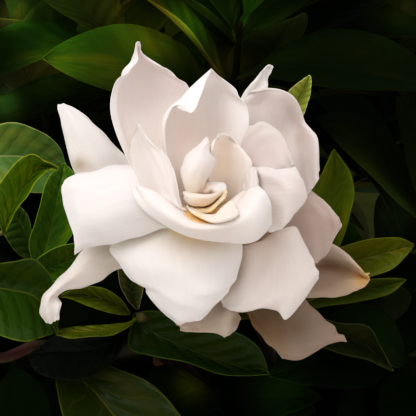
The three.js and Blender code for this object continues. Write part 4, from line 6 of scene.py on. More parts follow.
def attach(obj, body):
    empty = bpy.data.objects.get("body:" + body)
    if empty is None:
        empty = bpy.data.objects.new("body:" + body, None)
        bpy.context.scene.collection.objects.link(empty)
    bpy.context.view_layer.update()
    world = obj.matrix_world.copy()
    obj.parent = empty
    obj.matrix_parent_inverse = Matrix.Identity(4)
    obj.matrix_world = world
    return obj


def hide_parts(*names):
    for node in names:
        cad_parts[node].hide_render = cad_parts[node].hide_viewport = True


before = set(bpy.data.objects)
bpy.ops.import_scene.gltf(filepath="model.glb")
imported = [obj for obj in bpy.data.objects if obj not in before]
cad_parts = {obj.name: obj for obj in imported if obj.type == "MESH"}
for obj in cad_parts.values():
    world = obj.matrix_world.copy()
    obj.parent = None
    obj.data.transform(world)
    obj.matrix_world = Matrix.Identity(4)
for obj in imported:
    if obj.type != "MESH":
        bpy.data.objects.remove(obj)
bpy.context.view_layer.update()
MM = 0.001

# ---------------------------------------------------------------- drawing plane of the bloom
UNIT, REACH, TILT = 0.28, 700.0, math.radians(25)
CENTRE = np.array([0.0, -118.0, 300.0])
RIGHT = np.array([1.0, 0.0, 0.0])
UP = np.array([0.0, math.sin(TILT), math.cos(TILT)])
BACK = np.array([0.0, math.cos(TILT), -math.sin(TILT)])
FRONT = -BACK
TUBE_TOP = (205, 252, -24)
TUBE_AXIS = np.array([0.0, 0.6, -0.8])


def drawn(q):
    """(..., 3) points (x, y, h) of the drawing plane to mm."""
    q = np.asarray(q, float)
    k = (REACH - q[..., 2:3]) / REACH * UNIT
    return CENTRE + (q[..., 0:1] - 208) * k * RIGHT + (208 - q[..., 1:2]) * k * UP - q[..., 2:3] * BACK


def plane_of(p):
    """mm to (x, y, h) of the drawing plane."""
    v = p - CENTRE
    h = -(v @ BACK)
    k = (REACH - h) / REACH * UNIT
    return np.stack([208 + (v @ RIGHT) / k, 208 - (v @ UP) / k, h], -1)


def weights(m, xs):
    """Catmull-Rom weights of m control points at parameters xs in 0..1."""
    W = np.zeros((len(xs), m))
    for r, x in enumerate(xs):
        x = x * (m - 1)
        k = min(int(x), m - 2)
        t = x - k
        b = [(-t + 2 * t * t - t ** 3) / 2, (2 - 5 * t * t + 3 * t ** 3) / 2,
             (t + 4 * t * t - 3 * t ** 3) / 2, (-t * t + t ** 3) / 2]
        for j, w in enumerate(b):
            i = k + j - 1
            if i < 0:
                W[r, 0] += 2 * w; W[r, 1] -= w
            elif i > m - 1:
                W[r, m - 1] += 2 * w; W[r, m - 2] -= w
            else:
                W[r, i] += w
    return W


def lattice(rows, us, vs):
    """Rows of drawn control points, base to tip, as a grid in mm."""
    L = drawn(np.array(rows))
    return np.einsum("ur,rck,vc->uvk", weights(L.shape[0], us), L, weights(L.shape[1], vs))


def grid_normals(G):
    a = np.gradient(G, axis=0)
    b = np.gradient(G, axis=1)
    n = np.cross(a, b)
    l = np.linalg.norm(n, axis=-1, keepdims=True)
    bad = l[..., 0] < 1e-7
    n = n / np.maximum(l, 1e-9)
    for i in range(1, n.shape[0]):
        n[i][bad[i]] = n[i - 1][bad[i]]
    return n


def smooth(a, b, x):
    t = np.clip((x - a) / (b - a), 0, 1)
    return t * t * (3 - 2 * t)


class Waves:
    """A smooth random field of two numbers: a sum of a few waves."""

    def __init__(self, seed, n=7, lo=1.0, hi=3.5):
        r = np.random.default_rng(seed)
        self.k = r.normal(0, 1, (n, 2))
        self.k *= (r.uniform(lo, hi, (n, 1)) * 2 * math.pi) / np.linalg.norm(self.k, axis=1, keepdims=True)
        self.p = r.uniform(0, 2 * math.pi, n)
        self.n = n

    def __call__(self, x, y):
        return sum(np.sin(self.k[i, 0] * x + self.k[i, 1] * y + self.p[i]) for i in range(self.n)) / math.sqrt(self.n)


def shell(G, N, thick, loops=False):
    """Closed skin about a grid. thick (nu, nv) in mm. Returns verts, faces and, per vertex, its grid row, column and side."""
    nu, nv = G.shape[:2]
    top = G + N * thick[..., None] / 2
    bot = G - N * thick[..., None] / 2
    V = [top.reshape(-1, 3), bot.reshape(-1, 3)]
    n = nu * nv
    i, j = np.meshgrid(np.arange(nu - 1), np.arange(nv - 1), indexing="ij")
    a = (i * nv + j).ravel(); b = a + 1; c = a + nv + 1; d = a + nv
    F = [np.stack([a, d, c, b], 1), np.stack([a + n, b + n, c + n, d + n], 1)]
    ring = [k for k in range(nv)] + [r * nv + nv - 1 for r in range(1, nu)] + \
           [(nu - 1) * nv + k for k in range(nv - 2, -1, -1)] + [r * nv for r in range(nu - 2, 0, -1)]
    ring = np.array(ring)
    nxt = np.roll(ring, -1)
    # a rounded rim: one more line of points just outside the margin
    P = G.reshape(-1, 3)
    cen = P[ring]
    tang = np.roll(cen, -1, 0) - np.roll(cen, 1, 0)
    tang /= np.maximum(np.linalg.norm(tang, axis=1, keepdims=True), 1e-9)
    out = np.cross(tang, N.reshape(-1, 3)[ring])
    inner = np.array([min(max(r // nv, 1), nu - 2) * nv + min(max(r % nv, 1), nv - 2) for r in ring])
    s = np.sign(((cen - P[inner]) * out).sum(1, keepdims=True)); s[s == 0] = 1
    rim = cen + out * s * (thick.reshape(-1)[ring] * 0.42)[:, None]
    V.append(rim)
    m = 2 * n + np.arange(len(ring)); mn = np.roll(m, -1)
    F.append(np.stack([ring, nxt, mn, m], 1))
    F.append(np.stack([m, mn, nxt + n, ring + n], 1))
    idx = np.concatenate([np.arange(n), np.arange(n), ring])
    side = np.concatenate([np.ones(n), -np.ones(n), np.zeros(len(ring))])
    return np.concatenate(V), np.concatenate(F), idx, side


def mesh_of(name, V, F, attrs=None, smooth_on=True):
    me = bpy.data.meshes.new(name)
    me.from_pydata((V * MM).tolist(), [], [tuple(int(k) for k in f) for f in F])
    me.update()
    import bmesh
    bm = bmesh.new(); bm.from_mesh(me)
    bmesh.ops.recalc_face_normals(bm, faces=bm.faces)
    bm.to_mesh(me); bm.free()
    if smooth_on:
        me.shade_smooth()
    for k, a in (attrs or {}).items():
        a = np.asarray(a, np.float32)
        if a.ndim == 2:
            at = me.attributes.new(k, "FLOAT_COLOR", "POINT")
            c = np.ones((len(a), 4), np.float32); c[:, :3] = a
            at.data.foreach_set("color", c.ravel())
        else:
            at = me.attributes.new(k, "FLOAT", "POINT")
            at.data.foreach_set("value", a)
    ob = bpy.data.objects.new(name, me)
    bpy.context.scene.collection.objects.link(ob)
    return ob


def piece(ob, mat, slot, *nodes):
    ob.data.materials.clear()
    ob.data.materials.append(mat)
    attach(ob, "root")
    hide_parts(*nodes)
    return ob


# ---------------------------------------------------------------- material helpers
class Mat:
    def __init__(self, name):
        self.m = bpy.data.materials.new(name)
        self.m.use_nodes = True
        self.t = self.m.node_tree
        self.b = self.t.nodes["Principled BSDF"]
        self.out = self.t.nodes["Material Output"]

    def n(self, kind, **kw):
        nd = self.t.nodes.new(kind)
        for k, v in kw.items():
            setattr(nd, k, v)
        return nd

    def put(self, sock, v):
        if isinstance(v, (int, float)):
            sock.default_value = v
        elif isinstance(v, (tuple, list)):
            sock.default_value = (*v, 1) if len(v) == 3 and len(sock.default_value) == 4 else v
        else:
            self.t.links.new(v, sock)

    def set(self, name, v):
        self.put(self.b.inputs[name], v)

    def attr(self, name, color=False):
        a = self.n("ShaderNodeAttribute", attribute_name=name)
        return a.outputs["Color" if color else "Fac"]

    def math(self, op, a, b=0.0, c=0.0, clamp=False):
        nd = self.n("ShaderNodeMath", operation=op, use_clamp=clamp)
        self.put(nd.inputs[0], a); self.put(nd.inputs[1], b)
        if len(nd.inputs) > 2:
            self.put(nd.inputs[2], c)
        return nd.outputs[0]

    def mix(self, fac, a, b, blend="MIX"):
        nd = self.n("ShaderNodeMix", data_type="RGBA", blend_type=blend)
        self.put(nd.inputs["Factor"], fac)
        self.put(nd.inputs[6], a); self.put(nd.inputs[7], b)
        return nd.outputs[2]

    def coord(self, kind="Object"):
        return self.n("ShaderNodeTexCoord").outputs[kind]

    def mapping(self, vec, scale=(1, 1, 1), loc=(0, 0, 0)):
        nd = self.n("ShaderNodeMapping")
        self.put(nd.inputs[0], vec)
        nd.inputs["Scale"].default_value = scale
        nd.inputs["Location"].default_value = loc
        return nd.outputs[0]

    def xyz(self, x, y, z=0.0):
        nd = self.n("ShaderNodeCombineXYZ")
        self.put(nd.inputs[0], x); self.put(nd.inputs[1], y); self.put(nd.inputs[2], z)
        return nd.outputs[0]

    def noise(self, vec, scale, detail=3.0, rough=0.5, distort=0.0):
        nd = self.n("ShaderNodeTexNoise")
        self.put(nd.inputs["Vector"], vec)
        nd.inputs["Scale"].default_value = scale
        nd.inputs["Detail"].default_value = detail
        nd.inputs["Roughness"].default_value = rough
        nd.inputs["Distortion"].default_value = distort
        return nd.outputs["Fac"]

    def voronoi(self, vec, scale, feature="F1"):
        nd = self.n("ShaderNodeTexVoronoi", feature=feature)
        self.put(nd.inputs["Vector"], vec)
        nd.inputs["Scale"].default_value = scale
        return nd.outputs["Distance"]

    def ramp(self, fac, stops):
        nd = self.n("ShaderNodeValToRGB")
        self.put(nd.inputs[0], fac)
        e = nd.color_ramp.elements
        while len(e) < len(stops):
            e.new(0.5)
        for el, (p, c) in zip(e, stops):
            el.position = p
            el.color = (*c, 1) if isinstance(c, tuple) else (c, c, c, 1)
        return nd.outputs[0]

    def range(self, v, a, b, c=0.0, d=1.0, smoothstep=False):
        nd = self.n("ShaderNodeMapRange", interpolation_type="SMOOTHSTEP" if smoothstep else "LINEAR")
        self.put(nd.inputs[0], v)
        for k, q in zip((1, 2, 3, 4), (a, b, c, d)):
            nd.inputs[k].default_value = q
        return nd.outputs[0]

    def bump(self, height, dist, strength=1.0, normal=None):
        nd = self.n("ShaderNodeBump")
        self.put(nd.inputs["Height"], height)
        nd.inputs["Distance"].default_value = dist
        nd.inputs["Strength"].default_value = strength
        if normal is not None:
            self.put(nd.inputs["Normal"], normal)
        return nd.outputs[0]


def petal_material():
    m = Mat("petal_waxy_ivory")
    u, v, s = m.attr("u"), m.attr("v"), m.attr("seed")
    vein = m.noise(m.xyz(m.math("MULTIPLY", u, 1.6), m.math("MULTIPLY", v, 9.0), s), 2.2, 3.0, 0.55)
    blot = m.noise(m.coord(), 95.0, 3.0, 0.55)
    fine = m.noise(m.coord(), 900.0, 2.0, 0.6)
    base = m.mix(m.range(vein, 0.42, 0.66, 0, 0.30), PETAL_WHITE, PETAL_VEIN)
    base = m.mix(m.range(blot, 0.45, 0.75, 0, 0.28), base, PETAL_BLUSH)
    base = m.mix(1.0, base, m.attr("tint", True), "MULTIPLY")
    m.set("Base Color", base)
    m.set("Roughness", m.range(blot, 0.3, 0.7, 0.44, 0.58))
    m.set("Specular IOR Level", 0.32)
    m.set("Subsurface Weight", 0.3)
    m.set("Subsurface Radius", (1.0, 0.72, 0.55))
    m.set("Subsurface Scale", 0.0012)
    m.set("Sheen Weight", 0.06)
    m.set("Sheen Roughness", 0.4)
    h = m.math("ADD", m.math("MULTIPLY", vein, 1.0), m.math("MULTIPLY", fine, 0.12))
    m.set("Normal", m.bump(h, 0.00022, 0.55))
    return m.m


def leaf_material(name, dark, mid, olive, margin, vein_col, under, rough=(0.2, 0.34), margin_w=0.045, gloss=0.16):
    m = Mat(name)
    u, v, s, side = m.attr("u"), m.attr("v"), m.attr("seed"), m.attr("side")
    clear = m.math("SUBTRACT", 1.0, m.math("MULTIPLY", m.attr("calm"), 0.85))
    av = m.math("ABSOLUTE", v)
    blot = m.noise(m.coord(), 60.0, 3.0, 0.55)
    cell = m.noise(m.coord(), 1500.0, 2.0, 0.6)
    # side veins leave the midrib and sweep forward
    q = m.math("SUBTRACT", m.math("MULTIPLY", u, 8.5), m.math("MULTIPLY", m.math("POWER", av, 0.8), 1.5))
    q = m.math("ADD", q, m.math("MULTIPLY", m.noise(m.xyz(u, v, s), 3.0, 1.0), 0.5))
    saw = m.math("ABSOLUTE", m.math("SUBTRACT", m.math("FRACT", q), 0.5))
    lat = m.math("SUBTRACT", 1.0, m.range(saw, 0.0, 0.10, 0, 1, True))
    lat = m.math("MULTIPLY", lat, m.range(av, 0.75, 1.0, 1, 0))
    rib = m.math("SUBTRACT", 1.0, m.range(m.math("ADD", av, m.math("MULTIPLY", u, 0.02)), 0.015, 0.062, 0, 1, True))
    quilt = m.math("MULTIPLY", m.range(saw, 0.0, 0.5, 0, 1, True), m.range(av, 0.03, 0.25, 0, 1))
    fineq = m.voronoi(m.xyz(m.math("MULTIPLY", u, 34.0), m.math("MULTIPLY", v, 12.0), s), 1.0)
    col = m.mix(m.math("ADD", m.math("MULTIPLY", blot, 0.75), m.math("MULTIPLY", s, 0.35), 0, True), dark, mid)
    col = m.mix(m.range(m.noise(m.xyz(m.math("MULTIPLY", u, 1.5), m.math("MULTIPLY", v, 1.2), s), 1.6, 2.0), 0.5, 0.8, 0, 0.75), col, olive)
    col = m.mix(m.math("MULTIPLY", m.math("MULTIPLY", lat, LATERAL), clear), col, vein_col)
    col = m.mix(m.math("MULTIPLY", m.math("MULTIPLY", rib, MIDRIB), clear), col, vein_col)
    und = m.mix(m.math("MULTIPLY", rib, 0.6), under, vein_col)
    und = m.mix(m.math("MULTIPLY", lat, 0.35), und, vein_col)
    up = m.range(side, -0.3, 0.3)
    col = m.mix(up, und, col)
    edge = m.math("MULTIPLY", m.range(m.attr("edge"), 0.0, margin_w, 1, 0, True), EDGE)
    edge = m.math("MULTIPLY", edge, clear)
    col = m.mix(edge, col, margin)
    col = m.mix(1.0, col, m.attr("tint", True), "MULTIPLY")
    m.set("Base Color", col)
    r = m.range(m.noise(m.coord(), 140.0, 3.0), 0.3, 0.7, rough[0], rough[1])
    r = m.math("ADD", m.math("MULTIPLY", m.math("SUBTRACT", 1.0, up), 0.28), r)
    r = m.math("ADD", m.math("MULTIPLY", m.attr("calm"), 0.25), r)
    m.set("Roughness", r)
    m.set("Specular IOR Level", gloss)
    h = m.math("ADD", m.math("MULTIPLY", quilt, 0.8), m.math("MULTIPLY", cell, 0.05))
    h = m.math("ADD", h, m.math("MULTIPLY", fineq, 0.14))
    h = m.math("SUBTRACT", h, m.math("MULTIPLY", rib, 0.5))
    m.set("Normal", m.bump(h, 0.0005, 0.75))
    return m.m


def terracotta_material():
    m = Mat("fired_clay")
    c = m.coord()
    big = m.noise(c, 16.0, 4.0, 0.55)
    fine = m.noise(c, 260.0, 4.0, 0.6)
    grit = m.voronoi(c, 900.0)
    z = m.n("ShaderNodeSeparateXYZ"); m.put(z.inputs[0], c)
    rings = m.noise(m.xyz(0.0, 0.0, m.math("MULTIPLY", z.outputs[2], 1.0)), 420.0, 2.0, 0.5)
    col = m.ramp(m.math("ADD", m.math("MULTIPLY", big, 0.7), m.math("MULTIPLY", fine, 0.3)),
                 [(0.28, (0.30, 0.105, 0.050)), (0.5, (0.46, 0.185, 0.092)), (0.72, (0.56, 0.27, 0.155))])
    # lime bloom in soft patches, more of it low down
    lime = m.noise(m.mapping(c, (1, 1, 0.45)), 34.0, 5.0, 0.62, 0.6)
    lime = m.math("MULTIPLY", m.range(lime, 0.52, 0.78, 0, 0.62), m.range(z.outputs[2], 0.0, 0.13, 1.0, 0.35))
    col = m.mix(lime, col, (0.66, 0.53, 0.43))
    dark = m.range(z.outputs[2], 0.0, 0.018, 0.35, 0.0)
    col = m.mix(dark, col, (0.16, 0.07, 0.04))
    col = m.mix(m.range(grit, 0.0, 0.12, 0.35, 0.0), col, (0.22, 0.09, 0.05))
    m.set("Base Color", col)
    m.set("Roughness", m.range(fine, 0.3, 0.7, 0.78, 0.92))
    m.set("Specular IOR Level", 0.3)
    h = m.math("ADD", m.math("MULTIPLY", rings, 0.6), m.math("MULTIPLY", fine, 0.35))
    h = m.math("SUBTRACT", h, m.math("MULTIPLY", m.range(grit, 0.0, 0.2, 1, 0), 0.4))
    m.set("Normal", m.bump(h, 0.0006, 0.6))
    return m.m


def soil_material():
    m = Mat("bark_and_peat")
    c = m.coord()
    a = m.noise(c, 120.0, 5.0, 0.65)
    b = m.noise(c, 700.0, 3.0, 0.6)
    col = m.ramp(a, [(0.3, (0.012, 0.007, 0.004)), (0.55, (0.045, 0.026, 0.014)), (0.75, (0.10, 0.058, 0.03))])
    col = m.mix(1.0, col, m.attr("tint", True), "MULTIPLY")
    m.set("Base Color", col)
    m.set("Roughness", 0.93)
    m.set("Specular IOR Level", 0.25)
    m.set("Normal", m.bump(m.math("ADD", a, m.math("MULTIPLY", b, 0.4)), 0.0012, 0.8))
    return m.m


def bark_material():
    m = Mat("bark_to_green_twig")
    c = m.coord()
    young = m.attr("young")
    streak = m.noise(m.mapping(c, (1, 1, 0.25)), 420.0, 4.0, 0.6)
    blot = m.noise(c, 70.0, 3.0, 0.55)
    old = m.ramp(streak, [(0.3, (0.055, 0.036, 0.022)), (0.55, (0.14, 0.098, 0.062)), (0.78, (0.25, 0.195, 0.135))])
    new = m.ramp(blot, [(0.35, (0.10, 0.115, 0.022)), (0.6, (0.19, 0.15, 0.045)), (0.8, (0.20, 0.085, 0.035))])
    col = m.mix(young, old, new)
    col = m.mix(1.0, col, m.attr("tint", True), "MULTIPLY")
    m.set("Base Color", col)
    m.set("Roughness", m.range(young, 0, 1, 0.85, 0.5))
    m.set("Specular IOR Level", 0.4)
    m.set("Normal", m.bump(streak, 0.0007, 0.7))
    return m.m


def soft_green(name, a, b, rough=0.42, sss=0.15):
    m = Mat(name)
    c = m.coord()
    n1 = m.noise(c, 160.0, 3.0, 0.55)
    u = m.attr("u")
    col = m.mix(m.math("ADD", m.math("MULTIPLY", n1, 0.4), m.math("MULTIPLY", u, 0.6), 0, True), a, b)
    m.set("Base Color", col)
    m.set("Roughness", rough)
    m.set("Subsurface Weight", sss)
    m.set("Subsurface Radius", (0.6, 0.8, 0.3))
    m.set("Subsurface Scale", 0.0015)
    m.set("Normal", m.bump(m.noise(c, 900.0, 3.0), 0.0003, 0.5))
    return m.m


LATERAL, MIDRIB, EDGE = 0.16, 0.5, 0.38
PETAL_WHITE = (0.905, 0.865, 0.845)
PETAL_VEIN = (0.88, 0.81, 0.78)
PETAL_BLUSH = (0.88, 0.81, 0.78)

# ---------------------------------------------------------------- tables
PETALS = {
    "outer_petal_1": [
        [(187.0564, 250.7333, -27.6793), (189.4115, 243.99, -28.634), (194.7956, 238.8031, -29.3683)],
        [(150, 232, -28), (158, 215, -30), (165, 200, -33)],
        [(105, 205, -31), (122, 182, -33), (146, 172, -36)],
        [(77, 178, -34), (101, 155, -33), (124, 152.5, -36)],
        [(64, 142, -37), (83, 132, -35), (103, 129.5, -37.5)],
        [(58.6, 118, -39), (69, 113.5, -37.5), (82, 112.2, -39)],
        [(56.8, 106, -40), (59.5, 103.2, -40), (65.5, 103.2, -40)],
    ],
    "outer_petal_2": [
        [(187.0564, 253.2667, -27.3207), (189.4115, 260.01, -26.366), (194.7956, 265.1969, -25.6317)],
        [(183, 243, -27), (181, 253, -28), (180, 264, -28)],
        [(142, 236, -22), (140, 251, -22), (144, 268, -26)],
        [(106, 241, -20), (109, 256, -19), (119, 270, -23)],
        [(84, 249, -19), (91, 265, -17), (102, 282.5, -21)],
        [(65, 270.5, -19), (73, 278, -15.5), (84, 289, -20)],
        [(52, 284, -19), (59, 287, -12.5), (68, 290.5, -18)],
        [(42, 297, -19), (48, 298, -11), (59.5, 295, -16.5)],
        [(37.8, 309.5, -19.5), (46, 311, -12.5), (60.5, 305, -12)],
        [(42, 321.5, -19), (49, 324.5, -15), (55.5, 319, -12.5)],
    ],
    "outer_petal_3": [
        [(197.8327, 266.6952, -25.4196), (202.966, 267.9174, -25.2465), (208.2766, 267.7523, -25.2699), (213.3017, 266.2145, -25.4876)],
        [(197, 275, -28), (202, 277, -30), (208, 277, -30), (213, 275, -29)],
        [(180, 300, -24), (200, 302, -23), (222, 300, -19), (234, 296, -24)],
        [(176, 320, -24), (200, 319, -22), (228, 312, -14), (240.5, 313, -23)],
        [(177.5, 329, -25), (202, 329, -21.5), (227, 324, -14.5), (242, 322.5, -24)],
        [(182, 332.2, -25), (209, 332.3, -21), (224.5, 338, -17), (236, 333, -23)],
    ],
    "outer_petal_4": [
        [(209.5175, 267.5073, -25.3046), (214.4081, 265.6576, -25.5665), (218.4788, 262.6176, -25.9968), (221.3747, 258.6523, -26.5582)],
        [(222, 268, -28), (228, 270, -30), (234, 268, -30), (239, 264, -29)],
        [(239, 300, -25), (256, 300, -27), (276, 295, -27), (294, 288, -28)],
        [(250, 317, -22), (270, 318, -24), (294, 312, -24), (312, 306, -26)],
        [(263, 337, -20), (282, 336, -21.5), (305, 331, -21), (329, 321, -25)],
        [(275, 349, -19), (292, 350, -19.5), (316, 342, -20), (341, 331.5, -24)],
        [(282.5, 359, -19), (301, 359, -19), (327, 345.5, -21), (347, 338, -22.5)],
    ],
    "outer_petal_5": [
        [(222.7006, 249.0903, -27.9119), (222.9859, 252.6339, -27.4103), (222.3867, 256.1463, -26.913), (220.9324, 259.4548, -26.4446), (218.6945, 262.3967, -26.0281)],
        [(236, 252, -29), (239, 257, -31), (239, 264, -33), (239, 268, -32), (237, 273, -30)],
        [(285, 244, -28), (289, 252, -30), (290, 264, -36), (288, 280, -34), (283, 293, -31)],
        [(318, 240, -27), (322, 249, -28), (324, 262, -36), (322, 278, -33), (317, 296.5, -31)],
        [(343, 249.5, -27), (344, 257, -27), (344, 265.5, -34), (343, 280, -30.5), (338, 295.5, -30)],
        [(358, 265, -27), (358, 268, -26.5), (357.5, 272.5, -30.5), (357.5, 281, -28), (353, 291.5, -28)],
        [(366.5, 275, -26), (367.5, 277, -26), (368, 280, -27), (367.5, 283, -27), (364, 288, -27.5)],
    ],
    "outer_petal_6": [
        [(205.7962, 235.9957, -29.7658), (213.4505, 237.8552, -29.5025), (219.4628, 242.463, -28.8502)],
        [(214, 226, -30), (222, 222, -32), (230, 220, -31)],
        [(222, 180, -36), (235, 175, -38), (248, 170, -38)],
        [(232, 135, -40), (248, 128, -42), (263, 125, -42)],
        [(242.5, 97, -42), (254.5, 94, -44), (267, 92, -43)],
        [(256, 79.8, -42), (261.5, 79, -43.5), (267, 80, -43)],
        [(262.8, 70, -41), (267, 70, -42.5), (270.8, 71.8, -42)],
        [(267.6, 65.3, -40.5), (270.3, 64.6, -41), (273.2, 67, -41)],
    ],
    "second_petal_1": [
        [(193.3273, 244.344, -26.5839), (196.1117, 241.8038, -26.9435), (199.5682, 240.0347, -27.194), (203.4355, 239.1703, -27.3163), (207.421, 239.2762, -27.3014)],
        [(172, 228, -18), (178, 224, -21), (186, 220, -23), (194, 217, -22), (200, 215, -20)],
        [(142, 185, -12), (151, 178, -18), (164, 172, -22), (178, 166, -21), (192, 163, -19)],
        [(126.5, 152, -13), (137, 148, -19), (154, 140, -24), (176, 132, -24), (198, 132, -21)],
        [(116.8, 119, -14), (124.5, 116, -21), (146, 108, -26), (172, 101, -26), (195, 105, -22)],
        [(116.5, 92, -15), (122.5, 89, -21), (141, 80, -26), (166, 79, -24), (187.5, 88.5, -21)],
        [(122.5, 80, -15), (123.5, 77, -20), (140, 71, -25), (161, 71, -23.5), (179, 80.7, -20.5)],
        [(131, 73, -13.5), (124.4, 70.6, -19), (138.5, 64.5, -23.5), (154, 65, -22), (170, 72.7, -20)],
        [(138, 61.5, -14.5), (132.3, 60.2, -18.5), (137, 56, -20), (142.5, 55.5, -19), (148.5, 60, -19)],
        [(136, 51.3, -15), (135.3, 50.8, -16.7), (137.9, 50.3, -17.5), (139.6, 50.3, -17), (141.2, 51.6, -17)],
        [(136.2, 44.4, -14), (137, 42.3, -14.2), (138.3, 41.8, -14.5), (139.6, 42.4, -14.8), (140.6, 45, -15)],
    ],
    "second_petal_2": [
        [(193.2117, 244.4856, -26.5638), (190.9642, 248.7607, -25.9586), (190.5943, 253.4692, -25.292), (192.1514, 257.9811, -24.6532)],
        [(178, 222, -16), (174, 228, -14), (175, 235, -14), (180, 241, -16)],
        [(155, 172, -13), (150, 190, -5), (152, 212, -2), (168, 228, -4)],
        [(128, 161, -13), (124, 183, -4), (126, 212, -1), (140, 238.5, -6)],
        [(100, 167, -14), (97, 190, -6), (102, 219, -2), (114, 245, -8)],
        [(76, 172.5, -15), (75, 192, -10), (83, 222, -5), (94, 247.5, -9)],
        [(64, 179, -15), (64.5, 200, -13), (74, 230, -8), (80, 252, -10)],
        [(61, 185.5, -15), (63.5, 204, -14), (72, 230, -9), (75.5, 255.7, -10)],
    ],
    "second_petal_3": [
        [(194.4627, 260.865, -24.245), (197.5741, 263.0842, -23.9308), (201.2471, 264.4653, -23.7353), (205.2039, 264.9037, -23.6732), (209.1453, 264.3664, -23.7492)],
        [(188, 258, -17), (195, 262, -19), (203, 264, -20), (211, 264, -19), (218, 261, -17)],
        [(150, 228, -13), (171, 226, -9), (193, 230, -6), (217, 236, -6), (238, 238, -8)],
        [(110.5, 245, -14), (141, 241, -9), (176, 243, -3), (212, 249, -1), (243, 250, -6)],
        [(117.5, 264, -12.5), (146, 264, -5), (180, 269, -1), (213, 272, -1), (241.5, 265, -6)],
        [(129.5, 281, -12.5), (152, 282, -6), (183, 289, -1.6), (212, 289, -0.6), (237, 279, -6)],
        [(142.3, 287.2, -12.8), (156, 291, -6.8), (183.5, 299, -2.4), (209, 298, -1.4), (231.5, 288.5, -6.6)],
        [(144.5, 294.8, -13.4), (159.5, 299, -8), (184, 307, -3.6), (206, 305.5, -2.6), (225.5, 296.5, -7)],
        [(155.5, 308.5, -14.5), (167, 311.5, -10.5), (183, 315.5, -6), (201, 313.5, -4.8), (215, 307, -8)],
        [(168.5, 316, -15.2), (174, 320.5, -12), (183, 321.5, -8.2), (197, 318.5, -6.8), (207, 316, -9.2)],
        [(175.5, 322.5, -16), (178.5, 325.3, -13), (186, 324.3, -10), (195, 321.8, -8), (202, 319.3, -10)],
    ],
    "second_petal_4": [
        [(205.857, 264.8824, -23.6762), (209.0048, 264.403, -23.7441), (211.9583, 263.322, -23.8971), (214.5743, 261.6917, -24.1279), (216.7258, 259.5914, -24.4253), (218.3086, 257.1228, -24.7747)],
        [(220, 263, -18), (226, 264, -19), (231, 263, -19), (236, 261, -19), (240, 257, -18), (243, 254, -18)],
        [(226, 250, -14), (240, 248, -10), (254, 244, -9), (266, 240, -9), (279, 232, -9), (291.5, 225, -12)],
        [(226, 270, -14), (245, 270, -9), (262, 264, -6), (276, 258, -5), (292, 248, -6), (307, 246, -10)],
        [(222, 290, -14.5), (243, 290, -9), (260, 286, -6), (277, 280, -4.5), (296, 270, -5), (315, 262, -9)],
        [(221, 304, -15), (241, 305, -11), (257, 302, -7.5), (275, 300, -5), (296, 292, -5), (319.3, 273, -9)],
        [(224, 310, -16), (242, 313, -12.5), (256, 310, -9.5), (276, 311, -8), (288.5, 319.3, -8), (320.8, 279.5, -10)],
    ],
    "second_petal_5": [
        [(218.2861, 246.8311, -26.2318), (219.4858, 251.4287, -25.5809), (218.7477, 256.1028, -24.9192), (216.1706, 260.2279, -24.3351)],
        [(240, 232, -17), (243, 240, -19), (245, 247, -19), (244, 254, -17)],
        [(275, 192, -15), (285, 213, -18), (290, 237, -18), (285, 260, -17)],
        [(297, 181, -17.5), (308, 206, -17), (312, 234, -18), (307, 262, -20)],
        [(314, 190.5, -18), (325, 213, -16.5), (326, 235, -18.5), (319, 264, -21)],
        [(328, 205, -18), (335.5, 216.5, -16.5), (334, 233, -18.5), (325, 255, -21)],
        [(334.5, 212, -18), (341.5, 223, -17), (338.3, 233, -18.5), (329.5, 247, -20.5)],
    ],
    "second_petal_6": [
        [(208.3575, 239.4457, -27.2773), (211.3639, 240.4043, -27.1416), (214.0616, 241.9254, -26.9263), (216.3198, 243.9352, -26.6418), (218.0288, 246.3361, -26.3019), (219.1059, 249.0118, -25.923)],
        [(216, 222, -18), (222, 222, -21), (228, 224, -22), (232, 226, -22), (235, 229, -20), (238, 233, -18)],
        [(230, 165, -13), (245, 165, -19), (262, 172, -22), (272, 180, -21.5), (281, 191, -19), (290, 206, -16)],
        [(238, 125, -16), (256, 128, -21), (277, 138, -24), (288, 150, -23), (298, 166, -20), (305, 194, -16)],
        [(242, 106, -18), (261, 106, -22), (283, 113, -21.5), (294.5, 130, -24), (305, 149, -19), (312, 187, -15)],
        [(246.5, 97, -19), (269, 92, -20), (289, 98.5, -18), (300, 122, -21), (311.5, 138, -15.5), (317, 178, -14)],
        [(253.5, 94, -19), (271.5, 89.8, -19), (292, 97, -16.5), (303.5, 123, -19), (315.2, 136.5, -14.5), (319.3, 170, -14)],
    ],
    "third_petal_1": [
        [(198.1582, 244.3341, -24.5853), (200.5476, 243.0478, -24.7674), (203.2238, 242.3385, -24.8678), (206.0146, 242.2517, -24.8801), (208.7399, 242.7932, -24.8034), (211.2243, 243.928, -24.6428)],
        [(184, 226, -12), (188, 223, -13), (195, 219, -16), (204, 217, -17), (214, 218, -16), (222, 222, -13)],
        [(172, 182, -3), (171, 178, -5), (183, 174, -10), (207, 170, -13), (229, 172, -12), (242, 178, -10.5)],
        [(167, 146, -4), (164.5, 142, -6.5), (179, 137, -12.5), (206, 132, -16), (231, 136, -13), (247, 145, -10.6)],
        [(168, 122, -4), (164.5, 119.5, -6.5), (179, 114, -12), (205, 108, -16), (231, 108, -13.6), (249, 119, -10.2)],
        [(176.5, 108.5, -2), (170.5, 107.5, -6), (183, 102, -11), (206, 97, -15), (228.5, 96, -13.5), (243.2, 104.5, -10)],
        [(192, 115, 3), (178.3, 103.3, -3.5), (189, 95, -9), (206, 90, -13.5), (225.5, 89, -13), (238.8, 95.5, -10)],
        [(200, 99, 0), (190, 90.5, -4), (197, 85.5, -8), (208, 82.5, -11), (220, 81.5, -11.5), (231.5, 86, -10)],
        [(205.5, 83, -3), (202.5, 77.8, -6), (206, 76, -8), (211, 75, -9), (215, 75.3, -9.5), (219.5, 76.8, -9.5)],
